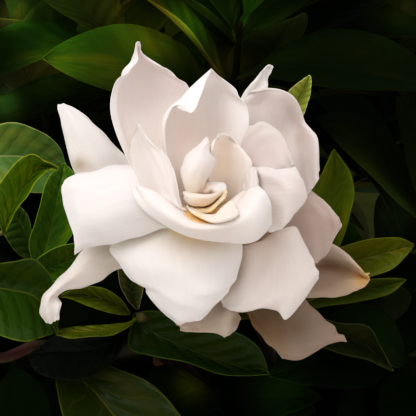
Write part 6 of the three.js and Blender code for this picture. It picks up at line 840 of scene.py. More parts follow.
CANOPY = [
    [
        (55.97, -3.67, 222.6, 0.5673, -0.7885, 0.2376, -0.0161, 0.2779, 0.9605, 58.6, 25.5, 0.528, 0.35),
        (55.97, -3.67, 222.6, 0.4407, 0.8437, 0.3065, 0.12, -0.3937, 0.9114, 68.4, 29.1, 0.852, 0.262),
        (65.62, -4.22, 231.49, 0.9797, -0.1943, 0.0487, -0.0641, -0.0735, 0.9952, 72.3, 31.7, 0.805, 0.207),
        (65.62, -4.22, 231.49, -0.2025, 0.0035, 0.9793, 0.9364, -0.2918, 0.1947, 72, 33.2, 0.708, 0.19),
        (75.26, -4.89, 239.73, 0.4977, -0.7218, 0.481, 0.0239, 0.5657, 0.8242, 69.5, 28.8, 0.731, 0.341),
        (75.26, -4.89, 239.73, 0.5258, 0.757, 0.3879, -0.1726, -0.3516, 0.9201, 69.9, 29.6, 0.483, 0.167),
        (86.11, -6.13, 247.26, 0.9486, -0.1277, -0.2895, 0.2976, 0.0487, 0.9535, 70.7, 31.2, 0.466, 0.321),
        (86.11, -6.13, 247.26, 0.1283, 0.0181, 0.9916, 0.8831, 0.4529, -0.1225, 59.8, 24.3, 0.58, 0.223),
        (98.43, -7.83, 254.64, 0.7337, -0.62, 0.2781, 0.2247, 0.6076, 0.7618, 61.2, 28.7, 0.474, 0.173),
        (98.43, -7.83, 254.64, 0.6998, 0.3192, 0.639, -0.5527, -0.3248, 0.7675, 64.1, 26.7, 0.919, 0.346),
        (107.85, -9.17, 260.16, 0.9851, -0.165, -0.0489, 0.061, 0.069, 0.9957, 52.1, 24.3, 0.471, 0.232),
        (107.85, -9.17, 260.16, 0.2208, 0.2867, 0.9322, 0.8068, -0.5907, -0.0094, 57.5, 27, 0.519, 0.271),
        (109.21, -9.35, 260.98, 0.4575, -0.6916, 0.5589, -0.0613, 0.6025, 0.7958, 45.5, 18.2, 0.62, 0.317),
        (86.11, -6.13, 247.26, 0.5798, 0.6275, 0.5197, -0.2197, -0.4938, 0.8414, 50, 21.9, 0.741, 0.29),
        (72.74, -4.69, 237.7, -0.2953, -0.3397, 0.8929, 0.9554, -0.1069, 0.2753, 66.6, 30.3, 0.665, 0.132),
        (51.31, -3.25, 218.53, 0.7092, -0.6808, -0.1831, 0.0246, -0.2357, 0.9715, 55.6, 25.6, 0.851, 0.15),
        (75.26, -4.89, 239.73, -0.1229, -0.2358, 0.964, 0.8922, -0.4516, 0.0033, 60.6, 29, 0.305, 0.127),
    ],
    [
        (45.1, 40.5, 232.86, 0.8552, 0.0268, 0.5177, -0.5183, 0.0261, 0.8548, 58, 24.1, 0.599, 0.255),
        (45.1, 40.5, 232.86, -0.3189, 0.7959, 0.5146, 0.6474, -0.2136, 0.7316, 56.9, 23.9, 0.649, 0.356),
        (50.94, 46.35, 241.8, 0.5057, 0.8599, 0.0696, -0.0395, -0.0575, 0.9976, 65, 26.7, 0.833, 0.344),
        (50.94, 46.35, 241.8, -0.2246, -0.3116, 0.9233, 0.619, 0.6862, 0.3821, 59, 27.6, 0.999, 0.357),
        (58.62, 53.85, 252.63, 0.9236, 0.1432, 0.3556, -0.3808, 0.2361, 0.894, 65, 26.7, 0.802, 0.176),
        (58.62, 53.85, 252.63, -0.2321, 0.8665, 0.4419, 0.5421, -0.262, 0.7984, 57.2, 25.9, 0.716, 0.175),
        (66.33, 60.87, 261.43, 0.5195, 0.8528, 0.0531, 0.2914, -0.2353, 0.9272, 61.2, 25.8, 1.018, 0.183),
        (66.33, 60.87, 261.43, -0.0406, 0.1157, 0.9925, -0.0171, 0.993, -0.1165, 57.6, 23.8, 0.738, 0.29),
        (73.25, 66.94, 268.38, 0.9903, 0.0336, 0.1349, -0.139, 0.2549, 0.9569, 63.3, 26.1, 0.88, 0.201),
        (73.25, 66.94, 268.38, -0.3882, 0.5413, 0.7458, 0.8849, -0.0072, 0.4658, 56.7, 23, 0.861, 0.274),
        (80.64, 73.37, 275.52, 0.3208, 0.9367, -0.1401, 0.503, -0.0431, 0.8632, 66.3, 30.7, 1.036, 0.277),
        (80.64, 73.37, 275.52, 0.3807, 0.1549, 0.9116, 0.7414, -0.6403, -0.2008, 71.2, 31.9, 0.455, 0.331),
        (88.02, 79.78, 282.66, 0.8244, -0.2756, 0.4944, -0.3139, 0.5044, 0.8044, 59.8, 27.1, 0.613, 0.328),
        (88.02, 79.78, 282.66, 0.0524, 0.8064, 0.5891, 0.3143, -0.5732, 0.7567, 58.9, 27.5, 0.687, 0.33),
        (89.18, 80.79, 283.81, 0.8105, 0.5708, 0.1315, -0.0483, -0.1586, 0.9862, 44.6, 18.6, 0.468, 0.176),
        (89.18, 80.79, 283.81, 0.674, 0.6243, -0.395, 0.284, 0.2747, 0.9186, 41.1, 15.9, 0.505, 0.286),
        (50.94, 46.35, 241.8, 0.4464, -0.213, 0.8691, -0.2786, 0.8899, 0.3612, 66.5, 29.3, 0.504, 0.268),
        (58.62, 53.85, 252.63, -0.2986, 0.4101, 0.8618, 0.6565, -0.5671, 0.4974, 57.7, 23.3, 0.922, 0.27),
        (73.25, 66.94, 268.38, -0.4186, 0.8615, 0.2874, 0.0534, -0.2926, 0.9547, 55.8, 24.6, 0.416, 0.28),
        (44.14, 39.58, 231.51, -0.2012, 0.2218, 0.9541, 0.6881, -0.6612, 0.2988, 55.6, 25.9, 0.474, 0.126),
        (39.82, 35.6, 225.66, 0.3664, -0.2155, 0.9051, -0.8489, 0.3208, 0.42, 61.4, 28.1, 0.659, 0.199),
        (60.38, 55.5, 254.82, -0.088, 0.8865, 0.4543, 0.2761, -0.4165, 0.8662, 42.8, 17.2, 0.272, 0.205),
        (80.64, 73.37, 275.52, -0.0107, 0.9392, -0.3431, 0.7422, 0.2374, 0.6267, 59.4, 26.1, 0.559, 0.189),
    ],
    [
        (-0.25, 56.53, 238.53, 0.8109, 0.5847, 0.0238, -0.2711, 0.3393, 0.9008, 60.9, 27.3, 0.901, 0.231),
        (-0.25, 56.53, 238.53, -0.6301, 0.0577, 0.7744, 0.6971, 0.4814, 0.5314, 68.7, 31.5, 0.59, 0.253),
        (-0.69, 66.71, 248.37, -0.4281, 0.8778, 0.215, -0.2428, -0.3409, 0.9082, 72.8, 31.1, 0.699, 0.24),
        (-0.69, 66.71, 248.37, 0.3072, -0.0894, 0.9474, -0.6656, 0.6913, 0.2811, 61.1, 26.4, 0.787, 0.237),
        (-1.14, 77.1, 258.3, 0.5747, 0.8184, -0.0019, -0.1935, 0.1381, 0.9713, 75.2, 31, 0.656, 0.231),
        (-1.14, 77.1, 258.3, -0.5147, 0.3245, 0.7936, 0.404, 0.9082, -0.1094, 73, 30.7, 0.916, 0.347),
        (-1.52, 84.88, 265.86, -0.5832, 0.7857, 0.2062, 0.2253, -0.0874, 0.9704, 64.2, 29.3, 0.966, 0.272),
        (-1.52, 84.88, 265.86, 0.4141, -0.025, 0.9099, -0.8857, 0.2197, 0.4091, 70.5, 29.4, 0.828, 0.287),
        (-2.12, 94.38, 275.46, 0.472, 0.8691, 0.1481, -0.1292, -0.098, 0.9868, 49.5, 22.6, 0.681, 0.334),
        (-2.12, 94.38, 275.46, -0.4776, 0.0991, 0.873, 0.7969, 0.4674, 0.3829, 57.3, 23.7, 0.622, 0.281),
        (-2.82, 103.8, 285.24, -0.4367, 0.899, 0.0337, 0.1768, 0.049, 0.983, 38.7, 21.2, 0.581, 0.244),
        (-2.82, 103.8, 285.24, 0.3783, 0.1934, 0.9052, -0.9193, 0.1928, 0.343, 60.8, 28, 0.856, 0.243),
        (-3.56, 113.22, 295.1, 0.4526, 0.8332, 0.3178, -0.268, -0.2128, 0.9396, 28, 16.8, 0.871, 0.356),
        (-3.56, 113.22, 295.1, -0.5983, 0.2241, 0.7693, 0.7956, 0.0522, 0.6036, 71.8, 30.1, 0.534, 0.175),
        (-3.8, 116.55, 298.56, 0.6065, 0.5139, 0.6067, -0.7139, 0.0162, 0.7, 38.5, 17.2, 0.698, 0.303),
        (-3.8, 116.55, 298.56, -0.5933, 0.7515, 0.2887, 0.2926, -0.1328, 0.947, 25.4, 15.3, 0.598, 0.342),
        (-3.88, 117.52, 299.57, -0.1893, 0.3873, 0.9023, 0.6632, -0.6272, 0.4084, 38.1, 15.7, 0.325, 0.27),
        (-1.14, 77.1, 258.3, 0.3064, -0.1737, 0.9359, -0.8198, 0.4516, 0.3522, 52.1, 24.4, 0.715, 0.222),
        (-2.12, 94.38, 275.46, -0.7503, 0.2586, 0.6084, 0.6542, 0.1578, 0.7397, 43.9, 18.4, 0.806, 0.308),
        (-3.56, 113.22, 295.1, -0.5963, 0.7685, 0.2322, 0.3515, -0.0101, 0.9361, 31.8, 14.1, 0.598, 0.24),
        (-1.81, 89.67, 270.65, 0.7043, 0.7057, -0.0768, -0.0122, 0.1203, 0.9927, 72.3, 33.7, 0.779, 0.149),
        (-1.66, 87.3, 268.27, 0.943, 0.1525, 0.2959, 0.028, -0.922, 0.3861, 49.8, 19.6, 0.12, 0.14),
    ],
    [
        (-39.3, 38.2, 229.8, -0.3315, 0.9225, -0.1977, -0.3054, 0.0933, 0.9476, 65.6, 28, 0.492, 0.286),
        (-39.3, 38.2, 229.8, -0.4294, -0.4969, 0.7541, 0.1664, 0.7772, 0.6069, 67, 31.4, 0.549, 0.277),
        (-47.17, 44.88, 239.92, -0.9794, 0.1484, 0.1368, 0.1535, 0.1078, 0.9823, 69.5, 28.4, 0.822, 0.211),
        (-47.17, 44.88, 239.92, -0.0488, 0.716, 0.6964, -0.3572, -0.6636, 0.6573, 50.6, 23.5, 0.653, 0.255),
        (-55.12, 51.63, 249.89, -0.6695, 0.7323, -0.1248, -0.0809, 0.0951, 0.9922, 60.2, 27.7, 0.569, 0.278),
        (-55.12, 51.63, 249.89, -0.2104, -0.1927, 0.9584, 0.1434, 0.9637, 0.2252, 69.7, 32.7, 0.712, 0.249),
        (-61.13, 56.76, 256.81, -0.99, 0.0565, 0.1292, 0.1218, -0.1182, 0.9855, 58.4, 25.6, 0.601, 0.358),
        (-61.13, 56.76, 256.81, 0.1789, 0.0355, 0.9832, -0.5317, 0.8443, 0.0663, 52.8, 24.5, 0.483, 0.253),
        (-69.14, 63.64, 264.82, -0.2266, 0.9514, -0.2087, -0.2436, 0.1521, 0.9579, 68.4, 31, 0.727, 0.33),
        (-69.14, 63.64, 264.82, -0.3807, -0.1354, 0.9147, -0.0462, 0.9908, 0.1274, 62, 24.8, 0.825, 0.309),
        (-77.47, 70.81, 272.41, -0.993, 0.0966, 0.0674, 0.0744, 0.0707, 0.9947, 69.2, 30.6, 0.76, 0.304),
        (-77.47, 70.81, 272.41, 0.0883, 0.4845, 0.8703, -0.8411, -0.4318, 0.3257, 69.9, 32.4, 0.737, 0.329),
        (-84.55, 76.92, 278.85, -0.3623, 0.9247, -0.1173, -0.1937, 0.0484, 0.9799, 58.3, 22.5, 0.578, 0.283),
        (-84.55, 76.92, 278.85, -0.9299, -0.1418, 0.3395, 0.2692, 0.3666, 0.8906, 58.6, 23, 0.619, 0.249),
        (-85.42, 77.67, 279.66, -0.6312, 0.3715, 0.6809, 0.3916, -0.6051, 0.6932, 35.3, 14.8, 0.636, 0.319),
        (-37.33, 36.52, 227.33, 0.0077, 0.8606, 0.5092, -0.2239, -0.4948, 0.8397, 74.8, 34.1, 0.386, 0.236),
        (-61.13, 56.76, 256.81, -0.1398, 0.7727, 0.6192, -0.0541, -0.6304, 0.7744, 73.2, 31.9, 0.769, 0.241),
        (-59.16, 55.08, 254.63, 0.282, 0.8643, 0.4166, -0.3267, -0.3217, 0.8887, 67.6, 28.8, 0.366, 0.147),
        (-34.7, 34.27, 224, -0.6878, -0.4778, 0.5464, 0.6446, -0.0561, 0.7624, 52.3, 22.3, 0.79, 0.222),
    ],
    [
        (-52.86, -3.73, 219.62, -0.8546, 0.3233, -0.4063, -0.4507, -0.0734, 0.8896, 63.4, 27.3, 0.863, 0.296),
        (-52.86, -3.73, 219.62, 0.0245, -0.4917, 0.8704, -0.3991, 0.7935, 0.4594, 59.5, 26.2, 0.982, 0.233),
        (-62.89, -6.29, 228.4, -0.4831, -0.8634, -0.1452, -0.1708, -0.0697, 0.9828, 55.9, 26.1, 1.044, 0.319),
        (-62.89, -6.29, 228.4, -0.5676, 0.5692, 0.5948, -0.1368, -0.7776, 0.6136, 55.6, 24.4, 0.718, 0.316),
        (-72.96, -8.45, 236.41, -0.9719, 0.1901, -0.1388, -0.1818, -0.2319, 0.9556, 60.3, 24.5, 0.903, 0.218),
        (-72.96, -8.45, 236.41, 0.1895, -0.3866, 0.9026, -0.9627, 0.1079, 0.2483, 57.7, 27.1, 0.571, 0.323),
        (-84.45, -9.41, 243.3, -0.5985, -0.7997, 0.0471, 0.0333, 0.0339, 0.9989, 57.5, 26.7, 0.99, 0.191),
        (-84.45, -9.41, 243.3, -0.6357, 0.5727, 0.5176, 0.1478, -0.5678, 0.8098, 65.3, 28.9, 0.461, 0.342),
        (-97.59, -9.54, 249.67, -0.9744, -0.2024, -0.0978, -0.1038, 0.0192, 0.9944, 70.8, 32.2, 0.768, 0.27),
        (-97.59, -9.54, 249.67, -0.4657, -0.5428, 0.6989, 0.2264, 0.6904, 0.6871, 73.8, 29.9, 0.651, 0.215),
        (-107.65, -9.54, 254.4, -0.7712, -0.5959, 0.2239, -0.0917, 0.452, 0.8873, 65.1, 28.8, 0.876, 0.285),
        (-107.65, -9.54, 254.4, -0.7843, 0.4944, 0.3747, 0.0756, -0.5233, 0.8488, 66.7, 29.2, 0.609, 0.198),
        (-110.37, -9.58, 255.74, -0.6614, 0.2978, 0.6884, 0.5551, -0.4229, 0.7163, 40.4, 15.9, 0.326, 0.226),
        (-52.86, -3.73, 219.62, -0.8959, -0.3822, -0.2265, -0.2138, -0.0762, 0.9739, 67, 29.6, 0.595, 0.352),
        (-97.59, -9.54, 249.67, -0.8859, 0.0007, -0.4638, -0.4599, -0.1305, 0.8783, 68.8, 28.4, 0.481, 0.293),
        (-107.65, -9.54, 254.4, -0.8415, 0.5403, -0.0014, -0.015, -0.0207, 0.9997, 63.6, 28.1, 0.559, 0.25),
    ],
    [
        (45.16, -30.14, 203.12, 0.7648, -0.4849, -0.4242, 0.3407, -0.2544, 0.9051, 58.9, 27.4, 0.548, 0.204),
        (45.16, -30.14, 203.12, 0.2394, -0.2658, 0.9338, 0.0152, 0.9627, 0.2701, 55.3, 24.8, 0.636, 0.237),
        (55, -39.33, 208.62, 0.984, 0.0083, -0.1782, 0.1589, -0.4948, 0.8544, 75, 34.3, 0.561, 0.236),
        (55, -39.33, 208.62, -0.0648, -0.9957, 0.0656, 0.5176, 0.0227, 0.8553, 62.2, 25.7, 0.71, 0.316),
        (64.28, -47.06, 212.97, 0.5463, -0.5974, -0.5871, 0.3831, -0.4451, 0.8094, 60.5, 25.4, 0.849, 0.338),
        (64.28, -47.06, 212.97, -0.2733, -0.6351, 0.7225, 0.9479, -0.0499, 0.3147, 49.8, 21.1, 1.013, 0.291),
        (74.52, -53.84, 216.56, 0.9597, 0.2442, -0.1392, 0.1484, -0.0196, 0.9887, 55.2, 24.5, 0.5, 0.317),
        (74.52, -53.84, 216.56, 0.148, -0.8275, 0.5416, 0.4727, 0.5402, 0.6962, 70.2, 30.8, 0.496, 0.253),
        (83.48, -59.46, 219.46, 0.8734, -0.487, 0.0046, -0.0612, -0.1003, 0.9931, 57.7, 23.5, 0.483, 0.248),
        (83.48, -59.46, 219.46, 0.8285, 0.0605, 0.5567, -0.3882, -0.6545, 0.6488, 47.2, 20.7, 0.57, 0.322),
        (84.62, -60.18, 219.84, 0.512, -0.4398, 0.7378, 0.4658, 0.8639, 0.1917, 42.3, 16.4, 0.506, 0.194),
        (84.62, -60.18, 219.84, 0.5953, -0.6316, -0.4966, 0.4011, -0.302, 0.8648, 27.8, 11.5, 0.681, 0.184),
        (64.28, -47.06, 212.97, -0.0807, -0.9822, 0.1694, -0.2053, 0.1827, 0.9615, 49.5, 21.7, 1.018, 0.26),
        (42.4, -27.83, 201.53, -0.0845, -0.9963, 0.017, 0.1518, 0.004, 0.9884, 59.3, 25.2, 0.437, 0.247),
        (42.4, -27.83, 201.53, -0.1163, -0.2454, 0.9624, 0.4208, -0.8899, -0.1761, 68.5, 32.7, 0.445, 0.183),
        (39.5, -25.64, 199.66, -0.1558, -0.7346, 0.6604, 0.3716, 0.5758, 0.7282, 57.3, 25.3, 0.612, 0.136),
        (40.36, -26.26, 200.24, 0.9208, -0.0391, -0.388, 0.3515, -0.3478, 0.8692, 46, 19.9, 0.298, 0.285),
        (57.27, -41.38, 209.79, -0.3255, -0.7416, 0.5866, 0.8278, 0.0763, 0.5558, 60.9, 26.2, 0.894, 0.198),
    ],
    [
        (50.11, 16.2, 195.96, 0.7055, 0.606, -0.3675, 0.4337, 0.041, 0.9001, 55.4, 22.5, 0.588, 0.3),
        (50.11, 16.2, 195.96, 0.6783, -0.2844, 0.6775, -0.4004, 0.63, 0.6654, 49.3, 21.4, 0.48, 0.244),
        (65.45, 18.93, 198.88, 0.3892, 0.8438, 0.3695, 0.1233, -0.4453, 0.8868, 59.6, 27.1, 1.044, 0.234),
        (65.45, 18.93, 198.88, 0.9154, -0.311, -0.2557, 0.3823, 0.4722, 0.7943, 64.4, 29.1, 0.953, 0.216),
        (78.52, 23.81, 201.87, 0.7451, 0.5336, -0.4, 0.4462, 0.0468, 0.8937, 68.7, 30.3, 0.733, 0.187),
        (78.52, 23.81, 201.87, 0.7348, 0.1012, 0.6707, -0.5197, -0.5513, 0.6526, 72.1, 31.5, 0.599, 0.161),
        (87.8, 27.35, 204, 0.5619, 0.7004, 0.4402, 0.4277, -0.7015, 0.5701, 62.4, 28.1, 0.585, 0.169),
        (87.8, 27.35, 204, 0.9682, -0.2433, -0.0585, 0.1697, 0.4665, 0.8681, 66.5, 30.8, 0.573, 0.172),
        (90.35, 28.29, 204.58, 0.4935, 0.8504, -0.1824, 0.3812, -0.023, 0.9242, 52, 21, 0.308, 0.342),
        (91.63, 28.78, 204.87, 0.9437, -0.0401, 0.3283, -0.3199, 0.1411, 0.9369, 42.5, 18.4, 0.323, 0.265),
        (78.52, 23.81, 201.87, 0.6435, -0.7622, 0.0705, 0.3274, 0.3573, 0.8747, 44.2, 20.5, 0.572, 0.291),
        (52.97, 16.11, 196.51, 0.3023, -0.9429, -0.1399, 0.1958, -0.0822, 0.9772, 57.4, 24.1, 0.605, 0.187),
        (46.01, 15.17, 194.47, 0.7937, 0.587, 0.1598, 0.1764, -0.4735, 0.863, 55.1, 27.5, 0.71, 0.277),
    ],
    [
        (15.69, 57.07, 205.62, -0.3852, 0.872, -0.3019, -0.2692, 0.2067, 0.9406, 71.3, 30.9, 0.745, 0.194),
        (15.69, 57.07, 205.62, 0.6507, 0.0171, 0.7592, -0.7145, 0.3524, 0.6044, 56, 24, 0.784, 0.263),
        (18.22, 67.48, 214.49, -0.6845, 0.3477, 0.6408, 0.6954, 0.0473, 0.7171, 74.5, 32.2, 0.801, 0.18),
        (18.22, 67.48, 214.49, 0.7171, 0.6852, -0.1277, -0.1484, 0.3291, 0.9325, 61.1, 28.2, 0.978, 0.32),
        (20.77, 78.41, 219.33, -0.25, 0.8629, -0.4393, 0.3119, 0.5012, 0.8071, 73.4, 31.3, 0.604, 0.166),
        (23.33, 89.77, 221.66, -0.6366, 0.6737, 0.3753, 0.6095, 0.1414, 0.7801, 63.1, 27.9, 0.969, 0.26),
        (23.33, 89.77, 221.66, 0.6959, 0.6146, -0.3716, 0.0283, 0.4936, 0.8692, 75.3, 30.8, 0.952, 0.265),
        (26.14, 102.25, 223.61, -0.2124, 0.9396, -0.2682, -0.0349, 0.267, 0.9631, 49.7, 23.3, 0.994, 0.192),
        (26.14, 102.25, 223.61, 0.7948, 0.4758, 0.3766, -0.565, 0.3538, 0.7454, 56.6, 23.4, 0.804, 0.184),
        (27.52, 108.4, 224.67, -0.4601, 0.8611, -0.2165, 0.2102, 0.3425, 0.9157, 36.3, 16.4, 0.445, 0.317),
        (27.52, 108.4, 224.67, -0.3146, 0.7957, 0.5176, 0.3371, -0.4161, 0.8445, 31.6, 16.8, 0.623, 0.348),
        (27.82, 109.74, 224.9, 0.4021, 0.8868, 0.2278, -0.3386, -0.0871, 0.9369, 30.4, 13.2, 0.654, 0.165),
        (15.69, 57.07, 205.62, 0.9662, 0.2538, 0.0451, -0.0953, 0.189, 0.9773, 59.7, 24.9, 0.875, 0.251),
        (23.33, 89.77, 221.66, 0.3367, 0.6444, 0.6866, -0.5523, -0.4554, 0.6983, 46.1, 21.6, 0.973, 0.324),
        (13.98, 49.72, 201.35, 0.0475, 0.6917, -0.7206, 0.1649, 0.7061, 0.6887, 55.2, 25.9, 0.922, 0.248),
        (23.33, 89.77, 221.66, 0.992, 0.1246, 0.0178, 0.1256, -0.9698, -0.2093, 85.6, 37.3, 0.421, 0.24),
        (15.34, 55.56, 204.58, 0.0749, -0.3341, -0.9396, -0.0434, -0.9424, 0.3316, 60.5, 25.4, 0.302, 0.159),
    ],
    [
        (-44.06, 30.32, 198.71, -0.9357, 0.0561, -0.3483, -0.3375, 0.1452, 0.9301, 68.9, 28.3, 0.743, 0.166),
        (-44.06, 30.32, 198.71, -0.1425, 0.9329, 0.3307, -0.5872, -0.3487, 0.7305, 68.8, 28.8, 0.594, 0.226),
        (-57.02, 37.87, 199.52, -0.863, -0.1196, 0.4908, 0.1786, 0.8367, 0.5178, 58.6, 24.9, 0.734, 0.301),
        (-57.02, 37.87, 199.52, -0.3469, 0.7355, -0.582, -0.398, 0.4464, 0.8014, 62.5, 26, 0.644, 0.316),
        (-67.41, 44.11, 202.43, -0.9717, -0.1859, -0.1456, -0.198, 0.3058, 0.9313, 72.9, 31.6, 0.502, 0.315),
        (-67.41, 44.11, 202.43, -0.1987, 0.8104, 0.5512, -0.79, -0.4652, 0.3993, 59.8, 24.5, 0.863, 0.258),
        (-76.95, 49.95, 206.37, -0.9485, -0.1649, 0.2703, 0.1389, 0.5507, 0.8231, 55.1, 25.5, 0.504, 0.318),
        (-76.95, 49.95, 206.37, -0.5102, 0.8043, -0.3045, -0.4314, 0.067, 0.8997, 64, 29.5, 0.898, 0.222),
        (-86.87, 56.04, 210.67, -0.7033, 0.5638, -0.4331, -0.5381, -0.024, 0.8425, 50.2, 23.5, 0.736, 0.296),
        (-86.87, 56.04, 210.67, -0.2351, 0.9305, 0.2807, -0.014, -0.292, 0.9563, 71.2, 33.1, 0.782, 0.165),
        (-88.46, 57.02, 211.32, -0.8242, -0.4236, 0.3759, 0.1437, 0.4856, 0.8623, 42.8, 17, 0.437, 0.336),
        (-89.59, 57.71, 211.8, -0.3678, 0.6827, 0.6313, -0.2057, -0.7218, 0.6608, 35.6, 13.9, 0.613, 0.214),
        (-89.59, 57.71, 211.8, -0.918, 0.378, -0.1201, -0.1274, 0.0058, 0.9918, 28.8, 11.7, 0.608, 0.288),
        (-57.02, 37.87, 199.52, -0.368, 0.226, 0.902, -0.9267, -0.0092, -0.3757, 36.5, 15.2, 0.8, 0.192),
        (-57.02, 37.87, 199.52, -0.9571, 0.116, -0.2654, -0.2324, 0.2392, 0.9427, 54.7, 22.2, 0.842, 0.333),
        (-67.41, 44.11, 202.43, -0.3266, 0.9034, -0.2778, -0.1523, 0.2398, 0.9588, 56.3, 24.9, 0.638, 0.237),
        (-47.25, 32.18, 199.11, -0.3223, 0.5779, -0.7498, -0.7677, 0.3039, 0.5642, 43, 21.2, 0.644, 0.222),
        (-41.39, 28.73, 197.88, -0.007, 0.8213, -0.5705, -0.7099, 0.3978, 0.5813, 66.7, 31.6, 0.983, 0.288),
    ],
    [
        (-41.5, -29.56, 200.2, -0.4652, -0.8833, -0.0578, -0.0518, -0.0381, 0.9979, 62.7, 29.4, 0.558, 0.323),
        (-41.5, -29.56, 200.2, -0.9738, 0.1934, 0.1198, 0.0155, -0.4691, 0.883, 50, 20.8, 0.844, 0.339),
        (-53.33, -37.18, 207.31, -0.0267, -0.4567, 0.8892, -0.7955, 0.5484, 0.2578, 49.2, 21.4, 0.97, 0.218),
        (-53.33, -37.18, 207.31, -0.9162, -0.0134, -0.4004, -0.3928, -0.1666, 0.9044, 53.7, 23.1, 0.564, 0.347),
        (-62.93, -43.78, 211.27, 0.0692, -0.9931, -0.095, -0.4911, -0.1168, 0.8632, 60, 25.3, 0.625, 0.214),
        (-73.83, -51.94, 213.33, -0.6266, -0.1189, 0.7702, 0.6335, -0.6533, 0.4146, 65.4, 26.5, 0.766, 0.241),
        (-73.83, -51.94, 213.33, -0.6018, -0.1597, -0.7825, -0.684, -0.4027, 0.6083, 61.8, 24.8, 0.872, 0.325),
        (-82.33, -58.4, 214.53, -0.2174, -0.9451, -0.2441, -0.2627, -0.1842, 0.9471, 60.9, 26, 1.048, 0.296),
        (-82.33, -58.4, 214.53, -0.7722, -0.3707, 0.516, 0.3225, 0.471, 0.8211, 63.6, 29.2, 0.728, 0.279),
        (-83.52, -59.29, 214.75, 0.0189, -0.9944, 0.1042, -0.5577, 0.076, 0.8265, 43, 16.4, 0.445, 0.214),
        (-84.63, -60.13, 214.92, -0.9172, -0.3967, 0.0379, 0.0628, -0.0499, 0.9968, 31.4, 13.7, 0.636, 0.208),
        (-38.84, -27.74, 198.75, 0.1291, -0.0427, 0.9907, -0.7059, -0.7056, 0.0616, 59.9, 25.2, 0.351, 0.235),
        (-35.97, -25.7, 197.21, 0.2765, -0.4275, 0.8607, -0.9559, -0.2145, 0.2005, 57.1, 26, 0.662, 0.174),
        (-35.97, -25.7, 197.21, -0.9583, 0.2005, -0.2037, -0.2851, -0.6193, 0.7315, 66.1, 28.9, 0.744, 0.195),
        (-35.97, -25.7, 197.21, 0.4705, -0.8169, 0.3337, -0.4717, 0.0867, 0.8775, 42.1, 18.7, 0.375, 0.176),
        (-48.92, -34.34, 204.73, 0.3783, -0.8532, 0.3591, -0.5032, 0.1361, 0.8534, 53.1, 22.7, 0.28, 0.081),
        (-44.93, -31.8, 202.23, 0.0685, -0.3036, 0.9503, -0.6285, -0.7529, -0.1952, 54, 24.9, 0.818, 0.169),
    ],
    [
        (16.55, 18.84, 256.37, -0.4887, 0.6485, 0.5836, 0.5313, -0.3094, 0.7887, 44.6, 18.6, 0.478, 0.222),
        (16.55, 18.84, 256.37, 0.7661, -0.4698, 0.4386, -0.1808, 0.4973, 0.8485, 44.6, 18.5, 0.763, 0.304),
        (16.86, 21.4, 271.35, 0.0332, -0.5045, 0.8628, -0.4192, 0.7766, 0.4703, 70.3, 28.6, 0.496, 0.167),
        (17.38, 23.65, 283.87, -0.5893, 0.4563, 0.6666, 0.437, -0.514, 0.7382, 72.5, 30, 0.727, 0.33),
        (17.38, 23.65, 283.87, 0.6692, 0.155, 0.7268, -0.6939, -0.2196, 0.6858, 65.3, 26.7, 0.87, 0.244),
        (19.27, 26.44, 296.64, -0.4296, -0.1686, 0.8871, 0.8969, 0.0344, 0.4409, 71.9, 29.2, 0.698, 0.24),
        (19.27, 26.44, 296.64, 0.653, -0.0643, 0.7547, -0.7528, 0.0545, 0.656, 43.3, 19, 0.978, 0.334),
        (22.88, 29.96, 310.05, -0.0011, 0.7095, 0.7047, -0.1859, -0.6926, 0.6969, 68.6, 31.9, 1.026, 0.244),
        (22.88, 29.96, 310.05, 0.5454, -0.274, 0.7921, -0.6117, 0.5159, 0.5997, 72.8, 30.6, 0.739, 0.308),
        (26.23, 32.91, 320.53, -0.4016, -0.3237, 0.8567, 0.5995, 0.6143, 0.5131, 60.5, 27.1, 0.745, 0.174),
        (26.23, 32.91, 320.53, 0.3483, 0.5138, 0.7841, -0.0245, -0.8312, 0.5555, 36.2, 16.2, 0.583, 0.193),
        (29.68, 35.9, 331.07, -0.0496, 0.6533, 0.7555, -0.366, -0.7157, 0.5948, 68.6, 30.7, 0.619, 0.22),
        (29.68, 35.9, 331.07, 0.6648, -0.3171, 0.6764, -0.5466, 0.4107, 0.7297, 68, 31.2, 0.458, 0.297),
        (31.25, 37.31, 336.15, -0.5707, 0.332, 0.7511, 0.727, -0.2211, 0.6501, 54.6, 23, 0.456, 0.309),
        (31.25, 37.31, 336.15, -0.0665, -0.4183, 0.9059, 0.3736, 0.8314, 0.4114, 56.2, 24, 0.31, 0.257),
        (31.65, 37.67, 337.45, 0.423, 0.0947, 0.9012, -0.8229, -0.3763, 0.4257, 40.4, 16, 0.663, 0.286),
        (17.38, 23.65, 283.87, -0.5132, -0.1154, 0.8505, 0.8297, 0.1868, 0.526, 56.2, 25.6, 0.565, 0.241),
        (19.27, 26.44, 296.64, 0.0883, 0.8114, 0.5778, 0.652, -0.4856, 0.5823, 53.5, 21.5, 0.476, 0.327),
        (22.88, 29.96, 310.05, 0.7985, -0.2036, 0.5665, -0.5523, 0.1266, 0.824, 58.1, 24.7, 1.043, 0.231),
        (26.23, 32.91, 320.53, 0.1864, -0.3131, 0.9313, 0.1067, 0.9487, 0.2976, 56, 24.9, 0.853, 0.249),
        (17.38, 23.65, 283.87, 0.8479, 0.2677, 0.4577, -0.44, -0.1264, 0.8891, 74.7, 35.4, 0.89, 0.204),
        (16.83, 20.91, 268.44, -0.3523, 0.8934, 0.2786, -0.5395, -0.4371, 0.7196, 28.2, 11, 0.208, 0.201),
    ],
    [
        (-18.15, 23.62, 258.85, -0.3676, -0.5951, 0.7147, 0.0709, 0.7483, 0.6595, 62.3, 26.7, 0.738, 0.237),
        (-18.15, 23.62, 258.85, 0.2651, 0.5493, 0.7924, -0.5106, -0.6172, 0.5987, 53.7, 22.4, 0.667, 0.284),
        (-22.16, 27.97, 270.77, 0.4778, -0.5295, 0.701, -0.3572, 0.6119, 0.7057, 46.7, 19.9, 0.868, 0.348),
